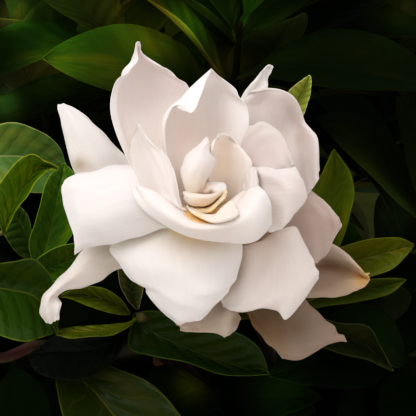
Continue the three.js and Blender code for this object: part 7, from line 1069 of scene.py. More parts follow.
        (-22.16, 27.97, 270.77, -0.9175, 0.3947, -0.0489, -0.0014, 0.1197, 0.9928, 43.2, 17.9, 0.965, 0.273),
        (-26.31, 32.48, 282.94, -0.5406, -0.6032, 0.5864, 0.4131, 0.4169, 0.8097, 73.6, 33.8, 0.877, 0.324),
        (-26.31, 32.48, 282.94, 0.315, 0.7414, 0.5925, -0.5143, -0.3913, 0.7631, 58.4, 25.5, 0.743, 0.184),
        (-30.37, 36.8, 295.75, 0.0241, -0.3379, 0.9409, 0.2966, 0.9012, 0.316, 49.1, 21.6, 0.676, 0.293),
        (-33.79, 40.25, 308.35, -0.7294, -0.1639, 0.6642, 0.6696, 0.0276, 0.7422, 60.2, 26.5, 0.596, 0.162),
        (-33.79, 40.25, 308.35, 0.3335, 0.785, 0.522, -0.399, -0.3842, 0.8326, 58.4, 26.2, 0.569, 0.219),
        (-36.97, 43.29, 321.55, 0.3209, -0.2814, 0.9043, -0.7536, 0.5025, 0.4238, 64.6, 27, 0.756, 0.253),
        (-36.97, 43.29, 321.55, -0.6909, 0.5391, 0.4817, 0.419, -0.2444, 0.8745, 65.1, 30.6, 0.53, 0.192),
        (-39.3, 45.47, 331.64, -0.5577, -0.5722, 0.6014, 0.4027, 0.447, 0.7988, 56.7, 24.8, 1.017, 0.225),
        (-39.3, 45.47, 331.64, 0.0375, 0.7731, 0.6332, -0.2998, -0.5958, 0.7451, 73.5, 33.8, 0.736, 0.347),
        (-41.98, 48, 343.1, -0.5082, -0.4721, 0.7203, 0.2805, 0.7001, 0.6567, 60.3, 24.1, 0.466, 0.196),
        (-41.98, 48, 343.1, 0.524, -0.017, 0.8516, -0.8042, 0.3196, 0.5012, 58.4, 23.3, 0.633, 0.244),
        (-42.29, 48.3, 344.43, -0.2013, 0.5759, 0.7924, -0.4478, -0.7736, 0.4485, 41.6, 17.3, 0.513, 0.359),
        (-30.37, 36.8, 295.75, -0.6928, 0.1092, 0.7128, 0.6717, -0.2619, 0.693, 71.1, 29.5, 0.878, 0.198),
        (-36.97, 43.29, 321.55, 0.5229, 0.5206, 0.675, -0.4109, -0.5399, 0.7346, 56.5, 24.9, 0.931, 0.238),
        (-39.3, 45.47, 331.64, -0.2349, -0.543, 0.8062, 0.2076, 0.7822, 0.5874, 60, 26.3, 0.582, 0.251),
        (-22.16, 27.97, 270.77, -0.1416, 0.6697, 0.729, 0.1317, -0.7172, 0.6843, 52.2, 24.7, 0.855, 0.297),
        (-23.16, 29.06, 273.66, -0.9496, -0.2008, 0.2405, 0.2573, -0.0619, 0.9643, 59.7, 25.3, 0.866, 0.145),
        (-27.37, 33.62, 286.15, -0.4615, -0.3489, 0.8156, 0.1983, 0.8556, 0.4782, 57.4, 25.2, 0.547, 0.189),
    ],
    [
        (6.33, -13.85, 251.51, 0.9261, -0.0088, 0.3772, -0.3673, 0.2079, 0.9066, 47.1, 21.8, 1.039, 0.221),
        (6.33, -13.85, 251.51, -0.6483, -0.3702, 0.6653, 0.5568, 0.3655, 0.7459, 67.5, 27.2, 0.561, 0.176),
        (6.88, -15.34, 265.11, 0.5774, -0.4583, 0.6756, -0.6138, 0.3019, 0.7294, 40.4, 18.8, 0.7, 0.329),
        (7.44, -17.16, 278.07, 0.674, -0.1746, 0.7178, -0.6709, 0.2622, 0.6937, 60.7, 26.2, 0.885, 0.318),
        (7.44, -17.16, 278.07, -0.5544, 0.0042, 0.8322, 0.7675, -0.3841, 0.5132, 51.8, 22.4, 0.636, 0.21),
        (8.09, -20.33, 291.04, -0.3665, -0.0158, 0.9303, 0.9302, 0.0167, 0.3667, 62.8, 26.1, 0.747, 0.23),
        (8.09, -20.33, 291.04, 0.5875, -0.511, 0.6275, -0.4084, 0.4822, 0.7751, 38.5, 16.9, 0.702, 0.286),
        (9.45, -28.41, 315.13, -0.3322, 0.2116, 0.9192, 0.7139, -0.5806, 0.3916, 57.2, 25.6, 0.477, 0.318),
        (9.73, -30.07, 320.11, 0.4197, 0.3354, 0.8434, -0.5277, -0.6659, 0.5274, 53.5, 20.4, 0.428, 0.225),
        (6.33, -13.85, 251.51, -0.2656, 0.8629, 0.43, 0.2292, -0.3767, 0.8975, 53.8, 22.8, 0.793, 0.32),
        (7.44, -17.16, 278.07, -0.0857, -0.9603, 0.2654, 0.2953, 0.2299, 0.9273, 41.1, 17.4, 0.798, 0.318),
        (8.27, -21.37, 294.4, -0.8618, -0.2643, 0.433, 0.5068, -0.4104, 0.7581, 63, 30.1, 0.429, 0.244),
        (6.17, -13.26, 247.75, -0.3488, -0.7536, 0.5572, 0.3867, 0.4258, 0.818, 64.6, 30.3, 0.833, 0.24),
        (9.45, -28.41, 315.13, 0.6401, 0.4716, 0.6065, -0.2628, -0.6073, 0.7497, 43.2, 20.5, 0.259, 0.205),
        (8.66, -23.61, 301.24, 0.872, -0.2909, 0.3937, -0.4704, -0.2756, 0.8383, 67.4, 28.7, 0.896, 0.234),
    ],
    [
        (2.26, -27.84, 193.94, 0.4735, 0.2701, 0.8384, -0.7761, -0.3223, 0.5421, 41.9, 19.2, 0.806, 0.318),
        (2.26, -27.84, 193.94, -0.4339, -0.898, -0.0736, 0.3578, -0.2467, 0.9006, 65.5, 27.3, 0.531, 0.292),
        (1.81, -42.07, 196.37, -0.4532, -0.841, 0.2955, -0.1539, 0.4003, 0.9034, 63.2, 27.1, 0.782, 0.197),
        (1.81, -42.07, 196.37, 0.5059, -0.7794, -0.3696, -0.5773, -0.6243, 0.5263, 67.3, 27.6, 0.882, 0.16),
        (1.81, -43.98, 196.2, 0.4789, -0.7146, 0.5099, -0.8616, -0.2714, 0.4289, 48.4, 19.3, 0.582, 0.324),
        (1.81, -45.37, 196.06, -0.0113, -0.988, -0.154, 0.1527, -0.1539, 0.9762, 30.1, 12.4, 0.549, 0.304),
        (2.26, -27.84, 193.94, -0.2958, -0.8589, -0.4182, 0.1509, -0.4743, 0.8673, 59.4, 26, 1.03, 0.231),
        (1.8, -38.01, 196.81, -0.1602, -0.7649, 0.6239, 0.5203, 0.4717, 0.7118, 58.4, 25.8, 0.838, 0.138),
        (1.83, -31.42, 197.09, 0.8642, -0.4951, -0.09, -0.2849, -0.6288, 0.7235, 57.2, 24.5, 0.677, 0.291),
        (1.83, -31.42, 197.09, 0.5116, -0.8014, 0.3099, -0.7193, -0.2021, 0.6647, 51.5, 21.7, 0.317, 0.117),
    ],
]
WORLD = 1.0
WORLD_TINT = (1.0, 0.95, 0.93)
TONE = [(0.05, 0.025), (0.16, 0.125), (0.5, 0.49), (0.86, 0.85)]
# name, place, size, power, colour, aimed at
LIGHTS = [
    ("key", (-0.65, -0.62, 1.65), 0.8, 8.5, (0.99, 0.99, 1.0), (0, -0.1, 0.29)),
]


# ---------------------------------------------------------------- petals
PETAL_SHADE_HIGHLIGHT_AND_COLOUR_SPOTS = {
    # petal: (x, y, radius, colour multiplied in, strength); most spots are painted shade in creases, hollows, dimples
    # and on shaded parts, some are painted highlights, the rest the petals' own colour such as the orange tip and the
    # peach and yellow centre
    "outer_petal_1": [(79, 165, 8, (0.56, 0.47, 0.36), 0.9), (90, 167.5, 7, (0.80, 0.74, 0.66), 0.6), (62, 150, 30, (0.97, 0.96, 0.92), 0.5)],
    "outer_petal_5": [(363, 279, 10, (1.06, 0.78, 0.34), 0.95), (352, 280, 13, (1.18, 1.12, 1.0), 0.7), (327, 263, 7, (0.68, 0.56, 0.46), 0.7),
                      (337, 266, 6, (0.68, 0.56, 0.46), 0.6), (347, 269, 5, (0.70, 0.58, 0.46), 0.55), (328, 288, 18, (0.90, 0.80, 0.68), 0.6)],
    "outer_petal_4": [(255, 325, 26, (0.66, 0.58, 0.32), 0.9), (302, 326, 10, (0.76, 0.70, 0.64), 0.5), (276, 347, 20, (0.86, 0.80, 0.64), 0.6), (332, 334, 20, (1.15, 1.12, 1.12), 0.6)],
    "outer_petal_3": [(180, 330, 22, (0.95, 0.90, 0.82), 0.5), (237, 321, 7.5, (0.70, 0.60, 0.52), 0.85), (214, 326, 9, (1.10, 1.10, 1.08), 0.6)],
    "outer_petal_2": [(100, 268, 34, (0.93, 0.89, 0.82), 0.6), (48, 312, 14, (1.0, 0.97, 0.92), 0.5)],
    "outer_petal_6": [(255, 84, 16, (0.96, 0.92, 0.86), 0.5)],
    "second_petal_1": [(165, 110, 60, (0.97, 0.92, 0.905), 0.8)],
    "third_petal_1": [(190, 135, 30, (1.0, 0.93, 0.90), 0.8), (205, 160, 30, (1.0, 0.93, 0.87), 0.7)],
    "third_petal_2": [(265, 160, 45, (0.97, 0.92, 0.91), 0.6), (249, 157, 6, (0.86, 0.84, 0.82), 0.6)],
    "second_petal_6": [(299, 138, 7, (0.84, 0.76, 0.70), 0.8), (301, 158, 13, (0.93, 0.91, 0.91), 0.6), (276, 112, 16, (0.97, 0.955, 0.955), 0.5)],
    "third_petal_3": [(250, 205, 24, (0.985, 0.92, 0.86), 0.5)],
    "third_petal_5": [(205, 238, 34, (0.97, 0.92, 0.89), 0.7), (240, 188, 10, (0.98, 0.88, 0.80), 0.6)],
    "second_petal_3": [(190, 236, 30, (1.0, 0.93, 0.86), 0.8), (176, 231, 5, (0.94, 0.88, 0.56), 0.75), (185, 235.5, 5, (0.94, 0.88, 0.56), 0.75), (195, 239, 5, (0.94, 0.88, 0.60), 0.7)],
    "second_petal_4": [(262, 236, 26, (1.0, 0.95, 0.86), 0.5)],
    "second_petal_2": [(70, 215, 60, (0.985, 0.99, 0.99), 0.5)],
    "inner_petal_2": [(222, 164, 17, (0.98, 0.85, 0.72), 0.75), (224, 143, 11, (0.96, 0.88, 0.80), 0.7)],
    "inner_petal_1": [(196, 176, 22, (0.99, 0.93, 0.87), 0.6)],
    "inner_petal_3": [(207, 192, 10, (0.97, 0.83, 0.68), 0.7), (204.5, 187, 3.2, (0.84, 0.60, 0.46), 0.75), (211, 191.5, 2.4, (0.35, 0.26, 0.20), 0.9)],
    "inner_petal_4": [(200, 205, 9, (1.0, 0.82, 0.62), 0.75), (219, 199, 6, (0.97, 0.78, 0.56), 0.7), (211, 192, 1.8, (0.45, 0.34, 0.26), 0.85)],
    "inner_petal_5": [(209, 212, 11, (1.0, 0.84, 0.56), 0.8), (228, 195, 10, (0.99, 0.90, 0.78), 0.6)],
    "inner_petal_6": [(198, 218, 7, (1.0, 0.84, 0.42), 0.7)],
}
# colour factor of each petal below: its own tone, with painted shade on the petals that lie in shadow and painted light
# on lit ones; ROLL further down: how far each margin rolls back, mm: at the first column, the last column, the tip
PETAL_TONE_AND_PAINTED_SHADE = {
    "outer_petal_1": (0.98, 0.97, 0.96),
    "outer_petal_3": (0.60, 0.53, 0.46),
    "outer_petal_4": (0.33, 0.27, 0.22),
    "outer_petal_5": (0.60, 0.53, 0.45),
    "second_petal_5": (0.62, 0.53, 0.49),
    "second_petal_6": (0.85, 0.81, 0.80),
    "inner_petal_5": (0.95, 0.83, 0.64),
    "third_petal_1": (1.06, 1.05, 1.05),
    "third_petal_2": (0.82, 0.78, 0.77),
    "third_petal_3": (0.89, 0.85, 0.84),
    "third_petal_6": (0.92, 0.88, 0.86),
    "second_petal_4": (0.94, 0.89, 0.87),
    "inner_petal_2": (1.07, 1.04, 1.02),
    "third_petal_5": (0.98, 0.96, 0.95),
    "second_petal_2": (0.97, 0.96, 0.97),
    "outer_petal_2": (0.90, 0.88, 0.86),
    "outer_petal_6": (1.10, 1.12, 1.13),
    "inner_petal_1": (0.98, 0.95, 0.94),
    "inner_petal_4": (0.97, 0.90, 0.82),
    "inner_petal_6": (0.97, 0.90, 0.82),
    "third_petal_4": (0.90, 0.86, 0.84),
    "second_petal_1": (1.03, 1.02, 1.03),
}
ROLL = {"default": (0.7, 0.7, 0.5), "second_petal_1": (1.2, 0.5, 0.3), "second_petal_2": (0.9, 0.9, 1.0),
        "third_petal_3": (0.2, 0.6, 0.4), "third_petal_1": (0.7, 0.15, 0.3),
        "inner": (0.3, 0.3, 0.4)}


FOOT = {"third_petal_1": (1.0, 0.955, 0.915), "third_petal_2": (1.0, 0.955, 0.915), "third_petal_3": (1.0, 0.95, 0.88),
        "third_petal_4": (1.0, 0.96, 0.92), "third_petal_6": (1.0, 0.95, 0.90), "inner_petal_2": (1.0, 0.93, 0.83)}
SLIM = ("second_petal_1", "outer_petal_6", "third_petal_6", "third_petal_1", "inner_petal_1")


def petal(name, rows, seed):
    inner = name.startswith("inner")
    nu, nv = (45, 33) if inner else (61, 45)
    us = np.linspace(0, 1, nu)
    vs = 0.5 - 0.5 * np.cos(np.pi * (0.06 + 0.88 * np.linspace(0, 1, nv)))
    vs = (vs - vs[0]) / (vs[-1] - vs[0])
    G = lattice(rows, us, vs)
    U, V = np.meshgrid(us, 2 * vs - 1, indexing="ij")
    # small nicks and bays of the margin, in the petal's own face
    d1 = np.gradient(G, axis=1); d1 /= np.maximum(np.linalg.norm(d1, axis=-1, keepdims=True), 1e-9)
    d0 = np.gradient(G, axis=0); d0 /= np.maximum(np.linalg.norm(d0, axis=-1, keepdims=True), 1e-9)
    nick = (0.10 if inner else 0.20) * Waves(seed + 90, 7, 2.5, 7.0)(U * 1.3, np.sign(V) * 1.1) * smooth(0.72, 1.0, np.abs(V)) * smooth(0.3, 0.45, U) * (1 - smooth(0.82, 0.95, U))
    G = G + d1 * nick[..., None]
    if name not in SLIM and not inner and name not in ("outer_petal_4", "outer_petal_5"):
        G = G + d0 * (0.16 * Waves(seed + 91, 7, 2.0, 5.0)(V * 0.8, U * 0.0) * smooth(0.86, 1.0, U) * (1 - smooth(0.8, 1.0, np.abs(V))))[..., None]
    N = grid_normals(G)
    if (N[nu // 3:, nv // 4: -nv // 4] @ FRONT).mean() < 0:
        N = -N
    r = ROLL.get(name, ROLL["inner"] if inner else ROLL["default"])
    roll = r[0] * smooth(0.80, 1.0, -V) ** 1.5 + r[1] * smooth(0.80, 1.0, V) ** 1.5 + r[2] * smooth(0.93, 1.0, U) ** 1.5
    roll *= smooth(0.18, 0.4, U)
    if name in SLIM:
        roll *= 1 - smooth(0.70, 0.86, U)
    wv = Waves(seed)
    body = 0.16 * wv(U * 1.6, V * 0.7) * smooth(0.15, 0.4, U)
    ripple = 0.36 * Waves(seed + 50, 5, 1.5, 4.0)(U * 1.8, np.sign(V) * 1.7) * np.abs(V) ** 4 * smooth(0.3, 0.5, U)
    if name in SLIM:
        ripple *= 1 - smooth(0.70, 0.86, U)
    if inner:
        body *= 0.6; ripple *= 0.5
    G = G + N * (body + ripple - roll)[..., None]
    N = grid_normals(G)
    if (N[nu // 3:, nv // 4: -nv // 4] @ FRONT).mean() < 0:
        N = -N
    edge = np.minimum(np.minimum(1 - np.abs(V), (1 - U) * 1.5), 1)
    thick = 0.26 + 0.42 * smooth(0, 0.35, edge) + 0.25 * (1 - smooth(0.0, 0.4, U))
    if inner:
        thick *= 0.75
    V3, F, idx, side = shell(G, N, thick)
    uu, vv = U.ravel()[idx], V.ravel()[idx]
    # painted shade and light of each petal, over its own tone
    tint = np.tile(np.array(PETAL_TONE_AND_PAINTED_SHADE.get(name, (1, 1, 1)), float), (len(V3), 1))
    foot = np.array(FOOT.get(name, (0.97, 0.93, 0.74) if not inner else (1.0, 0.88, 0.66)))
    reach = 0.42 if not inner else 0.55
    f = (1 - smooth(0.05, reach, uu))[:, None]
    tint = tint * (1 - f) + tint * foot * f
    pl = plane_of(V3)
    if name == "third_petal_5":  # the honey-coloured hollow inside the lip
        w = ((1 - smooth(0.50, 0.57, uu)) * (1 - smooth(212, 226, pl[:, 0])) * smooth(182, 187, pl[:, 0]) * 0.95)[:, None]
        tint = tint * (1 - w + w * np.array((0.98, 0.70, 0.30)))
    # painted shade, painted highlights and the petals' own colour, spot by spot
    for (x, y, rad, c, k) in PETAL_SHADE_HIGHLIGHT_AND_COLOUR_SPOTS.get(name, []):
        w = (np.exp(-(((pl[:, 0] - x) ** 2 + (pl[:, 1] - y) ** 2) / (rad * rad))) * k)[:, None]
        tint = tint * (1 - w + w * np.array(c))
    ob = mesh_of("fine_" + name, V3, F,
                 {"u": uu, "v": vv, "seed": np.full(len(V3), seed * 0.37), "tint": tint})
    return ob


PETAL = petal_material()
for k, (name, rows) in enumerate(PETALS.items()):
    piece(petal(name, rows, k + 1), PETAL, "petal", name)

# ---------------------------------------------------------------- leaves round the bloom
LEAF_DARK = leaf_material("leaf_glossy_dark", (0.010, 0.030, 0.004), (0.022, 0.062, 0.007), (0.055, 0.075, 0.006),
                          (0.17, 0.24, 0.06), (0.12, 0.19, 0.045), (0.085, 0.13, 0.04))
LEAF_LIT = leaf_material("leaf_glossy_mid", (0.020, 0.055, 0.006), (0.040, 0.105, 0.012), (0.085, 0.13, 0.008),
                         (0.22, 0.30, 0.07), (0.15, 0.22, 0.05), (0.10, 0.16, 0.045))
LEAF_YOUNG = leaf_material("leaf_young_yellow_green", (0.11, 0.17, 0.012), (0.19, 0.26, 0.02), (0.24, 0.24, 0.02),
                           (0.36, 0.44, 0.10), (0.30, 0.38, 0.08), (0.22, 0.28, 0.05), (0.25, 0.38))
# each leaf's tint here is painted light and shade: lighter where light falls, darker in shadow
HERO = {  # leaf: material, tint, undulation of its margin in mm
    "leaf_left_upper": (LEAF_LIT, (1.0, 1.0, 1.0), 0.7),
    "leaf_left_front": (LEAF_LIT, (1.15, 1.1, 0.6), 0.9),
    "leaf_left_inner": (LEAF_LIT, (0.8, 0.85, 0.8), 0.4),
    "leaf_left_small": (LEAF_DARK, (1.1, 1.1, 1.0), 0.4),
    "leaf_left_dark": (LEAF_DARK, (1.0, 1.0, 1.0), 0.3),
    "leaf_left_broad": (LEAF_LIT, (0.8, 0.9, 0.8), 0.5),
    "leaf_under_curl": (LEAF_YOUNG, (0.75, 0.75, 0.7), 0.3),
    "leaf_olive": (LEAF_YOUNG, (0.36, 0.36, 0.3), 0.3),
    "leaf_centre_small": (LEAF_DARK, (1.6, 1.3, 1.0), 0.3),
    "leaf_lower_left": (LEAF_DARK, (1.5, 1.3, 1.0), 0.7),
    "leaf_lower_shadow": (LEAF_DARK, (0.6, 0.65, 0.8), 0.4),
    "leaf_lower_centre": (LEAF_DARK, (1.0, 1.05, 1.0), 0.6),
    "leaf_young": (LEAF_YOUNG, (1.0, 1.0, 1.0), 0.2),
    "leaf_right": (LEAF_YOUNG, (0.42, 0.48, 0.4), 0.6),
    "leaf_right_lower": (LEAF_LIT, (0.9, 0.9, 0.8), 0.4),
    "leaf_right_upper": (LEAF_LIT, (0.75, 0.75, 0.6), 0.4),
    "leaf_right_dark": (LEAF_DARK, (0.8, 0.85, 0.9), 0.5),
}


CALM = {"leaf_right": 0.3, "leaf_right_lower": 0.8, "leaf_right_upper": 0.9, "leaf_right_dark": 0.6, "leaf_left_upper": 0.3,
        "leaf_lower_left": 0.2, "leaf_lower_shadow": 0.6, "leaf_left_dark": 0.4}
# painted light and shade of each leaf: lighter where light falls, darker in shadow, and a raised blue paints a sheen
LEAF_PAINTED_LIGHT_AND_SHADE = {
    "leaf_left_upper": (3.70, 2.60, 5.50),
    "leaf_left_front": (2.80, 2.10, 0.60),
    "leaf_left_inner": (2.90, 2.40, 1.30),
    "leaf_left_small": (2.80, 2.50, 0.90),
    "leaf_left_dark": (2.50, 1.90, 1.60),
    "leaf_left_broad": (1.20, 0.90, 0.40),
    "leaf_under_curl": (1.10, 1.00, 0.30),
    "leaf_olive": (2.30, 2.10, 1.50),
    "leaf_centre_small": (3.00, 2.00, 6.50),
    "leaf_lower_left": (0.85, 0.62, 0.06),
    "leaf_lower_shadow": (0.12, 0.16, 0.08),
    "leaf_lower_centre": (0.95, 0.92, 0.34),
    "leaf_young": (2.40, 2.00, 5.50),
    "leaf_right": (1.50, 1.10, 0.12),
    "leaf_right_lower": (2.60, 1.50, 0.40),
    "leaf_right_upper": (4.00, 2.20, 0.40),
    "leaf_right_dark": (1.40, 0.85, 0.70),
}


def hero_leaf(name, rows, seed, wave):
    nu, nv = 73, 33
    us = np.linspace(0, 1, nu)
    vs = np.linspace(0, 1, nv)
    G = lattice(rows, us, vs)
    N = grid_normals(G)
    if (N[nu // 4: -nu // 6, 4:-4] @ np.array([0, -0.55, 0.83])).mean() < 0:
        N = -N
    U, V = np.meshgrid(us, 2 * vs - 1, indexing="ij")
    aV = np.abs(V)
    q = U * 8.5 - aV ** 0.8 * 1.5
    quilt = 0.10 * np.cos(2 * np.pi * q) * smooth(0.05, 0.3, aV) * smooth(1.0, 0.7, aV)
    rib = -0.28 * np.exp(-(V / 0.07) ** 2)
    wv = wave * 0.55 * Waves(seed, 5, 1.0, 3.0)(U * 1.5, np.sign(V) * 1.3) * aV ** 2.5 * smooth(0.1, 0.35, U)
    G = G + N * (quilt + rib + wv)[..., None]
    N2 = grid_normals(G)
    N = N2 * np.sign((N2 * N).sum(-1, keepdims=True) + 1e-12)
    edge = np.minimum(1 - aV, (1 - U) * 2.2)
    thick = 0.18 + 0.30 * smooth(0, 0.25, edge) + 0.5 * np.exp(-(V / 0.09) ** 2) * (1 - 0.7 * U)
    V3, F, idx, side = shell(G, N, thick)
    n = len(V3)
    m, tint, _ = HERO[name]
    # the tints carry the painted light and shade of each leaf
    return mesh_of("fine_" + name, V3, F, {"u": U.ravel()[idx], "v": V.ravel()[idx], "side": side, "edge": edge.ravel()[idx],
                   "seed": np.full(n, (seed * 0.618) % 1.0), "calm": np.full(n, CALM.get(name, 0.0)),
                   "tint": np.tile(np.array(tint) * np.array(LEAF_PAINTED_LIGHT_AND_SHADE.get(name, (1, 1, 1))), (n, 1))})


for k, (name, rows) in enumerate(LEAVES.items()):
    m, tint, wave = HERO[name]
    slot = "leaf_young" if name in ("leaf_young", "leaf_under_curl") else "leaf"
    piece(hero_leaf(name, rows, 300 + k, wave), m, slot, name)

# ---------------------------------------------------------------- stems
def rings(points, sides, step, start_cap=0.0, end_cap=0.0, wob=0.0, seed=0):
    """A tapered round stem through points (x, y, z, r): vertices and faces."""
    P = np.array(points, float)
    seg = np.linalg.norm(np.diff(P[:, :3], axis=0), axis=1)
    n = max(4, int(seg.sum() / step) + 1)
    C = weights(len(P), np.linspace(0, 1, n)) @ P
    T = np.gradient(C[:, :3], axis=0)
    T /= np.linalg.norm(T, axis=1, keepdims=True)
    side = np.array([1.0, 0.0, 0.0]) if abs(T[0, 0]) < 0.9 else np.array([0.0, 1.0, 0.0])
    wv = Waves(seed, 6, 1.0, 4.0)
    V = []
    for i in range(n):
        side = side - T[i] * (side @ T[i]); side /= np.linalg.norm(side)
        up = np.cross(T[i], side)
        a = np.arange(sides) / sides * 2 * np.pi
        r = C[i, 3] * (1 + wob * wv(np.full(sides, i * 0.03), np.cos(a) * 0.4))
        V.append(C[i, :3] + np.outer(r * np.cos(a), side) + np.outer(r * np.sin(a), up))
    caps = [C[0, :3] - T[0] * C[0, 3] * 0.5, C[-1, :3] + T[-1] * C[-1, 3] * 0.6]
    V = np.concatenate(V + [np.array(caps)])
    F = []
    for i in range(n - 1):
        for a in range(sides):
            b = (a + 1) % sides
            F.append((i * sides + a, i * sides + b, (i + 1) * sides + b, (i + 1) * sides + a))
    c0, c1, e = n * sides, n * sides + 1, (n - 1) * sides
    for a in range(sides):
        b = (a + 1) % sides
        F.append((c0, b, a)); F.append((c1, e + a, e + b))
    return V, F, C


def join(parts):
    V, F, k = [], [], 0
    for v, f in parts:
        V.append(v); F += [tuple(i + k for i in q) for q in f]; k += len(v)
    return np.concatenate(V), F


BARK = bark_material()
parts, skel = [], []
for k, s in enumerate(STEMS):
    v, f, C = rings(s, 14 if max(p[3] for p in s) > 3 else 10, 1.6, wob=0.05, seed=900 + k)
    parts.append((v, f)); skel.append(C)
V, F = join(parts)
stem_ob = mesh_of("fine_woody_stem", V, F)
rm = stem_ob.modifiers.new("r", "REMESH"); rm.mode = "VOXEL"; rm.voxel_size = 0.00055; rm.adaptivity = 0
sm = stem_ob.modifiers.new("s", "SMOOTH"); sm.iterations = 4; sm.factor = 0.5
dg = bpy.context.evaluated_depsgraph_get()
me = bpy.data.meshes.new_from_object(stem_ob.evaluated_get(dg))
stem_ob.modifiers.clear(); stem_ob.data = me
co = np.zeros(len(me.vertices) * 3, np.float32); me.vertices.foreach_get("co", co); co = co.reshape(-1, 3) / MM
S = np.concatenate(skel)
rad = np.zeros(len(co))
for i in range(0, len(co), 4000):
    d = ((co[i:i + 4000, None] - S[None, :, :3]) ** 2).sum(-1)
    rad[i:i + 4000] = S[d.argmin(1), 3]
young = 1 - smooth(1.9, 3.6, rad)
at = me.attributes.new("young", "FLOAT", "POINT"); at.data.foreach_set("value", young.astype(np.float32))
tn = np.ones((len(co), 4), np.float32)
pl = plane_of(co)
red = np.exp(-(((pl[:, 0] - 10) / 45) ** 2 + ((pl[:, 1] - 352) / 16) ** 2))[:, None]
tn[:, :3] = (1 - red) + red * np.array((0.50, 0.03, 0.01))
# painted shade: stems that lie behind the bloom are darkened
stem_painted_shade = (1 - smooth(232, 340, np.maximum(np.abs(pl[:, 0] - 208), np.abs(pl[:, 1] - 208)))) * smooth(-40, -60, pl[:, 2])
tn[:, :3] *= (1 - 0.80 * stem_painted_shade * (1 - 0.4 * red[:, 0]))[:, None]
at = me.attributes.new("tint", "FLOAT_COLOR", "POINT"); at.data.foreach_set("color", tn.ravel())
me.shade_smooth()
stem_ob.name = "fine_woody_stem"
piece(stem_ob, BARK, "bark", "woody_stem")

# ---------------------------------------------------------------- canopy
FOLIAGE_DEEP = leaf_material("foliage_in_shade", (0.009, 0.028, 0.004), (0.020, 0.058, 0.007), (0.042, 0.062, 0.006),
                             (0.10, 0.15, 0.04), (0.085, 0.14, 0.035), (0.075, 0.115, 0.035), (0.5, 0.6), 0.03, 0.02)
FOLIAGE = leaf_material("foliage_glossy", (0.009, 0.028, 0.004), (0.020, 0.058, 0.007), (0.042, 0.062, 0.006),
                        (0.10, 0.15, 0.04), (0.085, 0.14, 0.035), (0.075, 0.115, 0.035), (0.22, 0.36), 0.03)


def share(t):
    s = np.clip((t - 0.07) / 0.93, 0, 1)
    f = np.sin(np.pi * s ** 1.08) ** 0.82 * (1 - 0.12 * s)
    return np.where(t <= 0.07, 0.05, np.maximum(0.05 * (1 - s), f))


# how dark the painted shade on the leaves behind the bloom is
DEEP = 0.23
# soft painted patches of light among the leaves behind the bloom: x, y, radius, share, colour
PAINTED_LIGHT_PATCHES = [(192, 22, 24, 2.6, (0.9, 1.2, 0.3)), (150, 36, 30, 2.6, (1.9, 1.1, 0.4)), (12, 12, 14, 4.0, (1.5, 1.3, 1.2)),
        (62, 18, 42, 1.9, (0.9, 1.1, 0.5)), (104, 66, 34, 0.9, (1.4, 1.0, 0.4)), (54, 70, 24, 1.5, (1.4, 1.1, 0.5)),
        (4, 102, 14, 2.4, (1.1, 1.1, 1.6)), (346, 190, 38, 1.0, (1.6, 1.1, 0.4)), (397, 212, 30, 1.0, (1.1, 1.0, 1.0)),
        (226, 66, 20, 1.2, (1.9, 1.1, 0.4)), (192, 384, 14, 2.4, (2.6, 1.3, 0.4)), (280, 396, 24, 1.0, (0.9, 1.1, 1.0)),
        (382, 350, 34, 0.5, (0.8, 1.2, 0.8)), (398, 12, 22, 0.8, (1.3, 1.0, 0.5)),
        (262, 16, 36, 0.8, (0.9, 1.1, 0.4)), (120, 8, 22, 1.6, (1.4, 1.1, 0.4))]


def painted_shade_and_light(V3, base, inside):
    """Colour factor of points among the leaves: painted shade where they lie behind the bloom, with a few soft painted
    patches of light.
    """
    pl = plane_of(V3)
    add = np.zeros((len(V3), 3))
    for x, y, r0, c, hue in PAINTED_LIGHT_PATCHES:
        add += (c * np.exp(-((pl[:, 0] - x) ** 2 + (pl[:, 1] - y) ** 2) / (r0 * r0)))[:, None] * np.array(hue)
    return base * (1 - inside * (1 - DEEP)) + base * add * inside


def inside_of(mid):
    back = smooth(-205, -235, mid[2])
    return float((1 - smooth(232, 340, max(abs(mid[0] - 208), abs(mid[1] - 208)))) * smooth(-40, -75, mid[2]) * (1 - 0.7 * back))


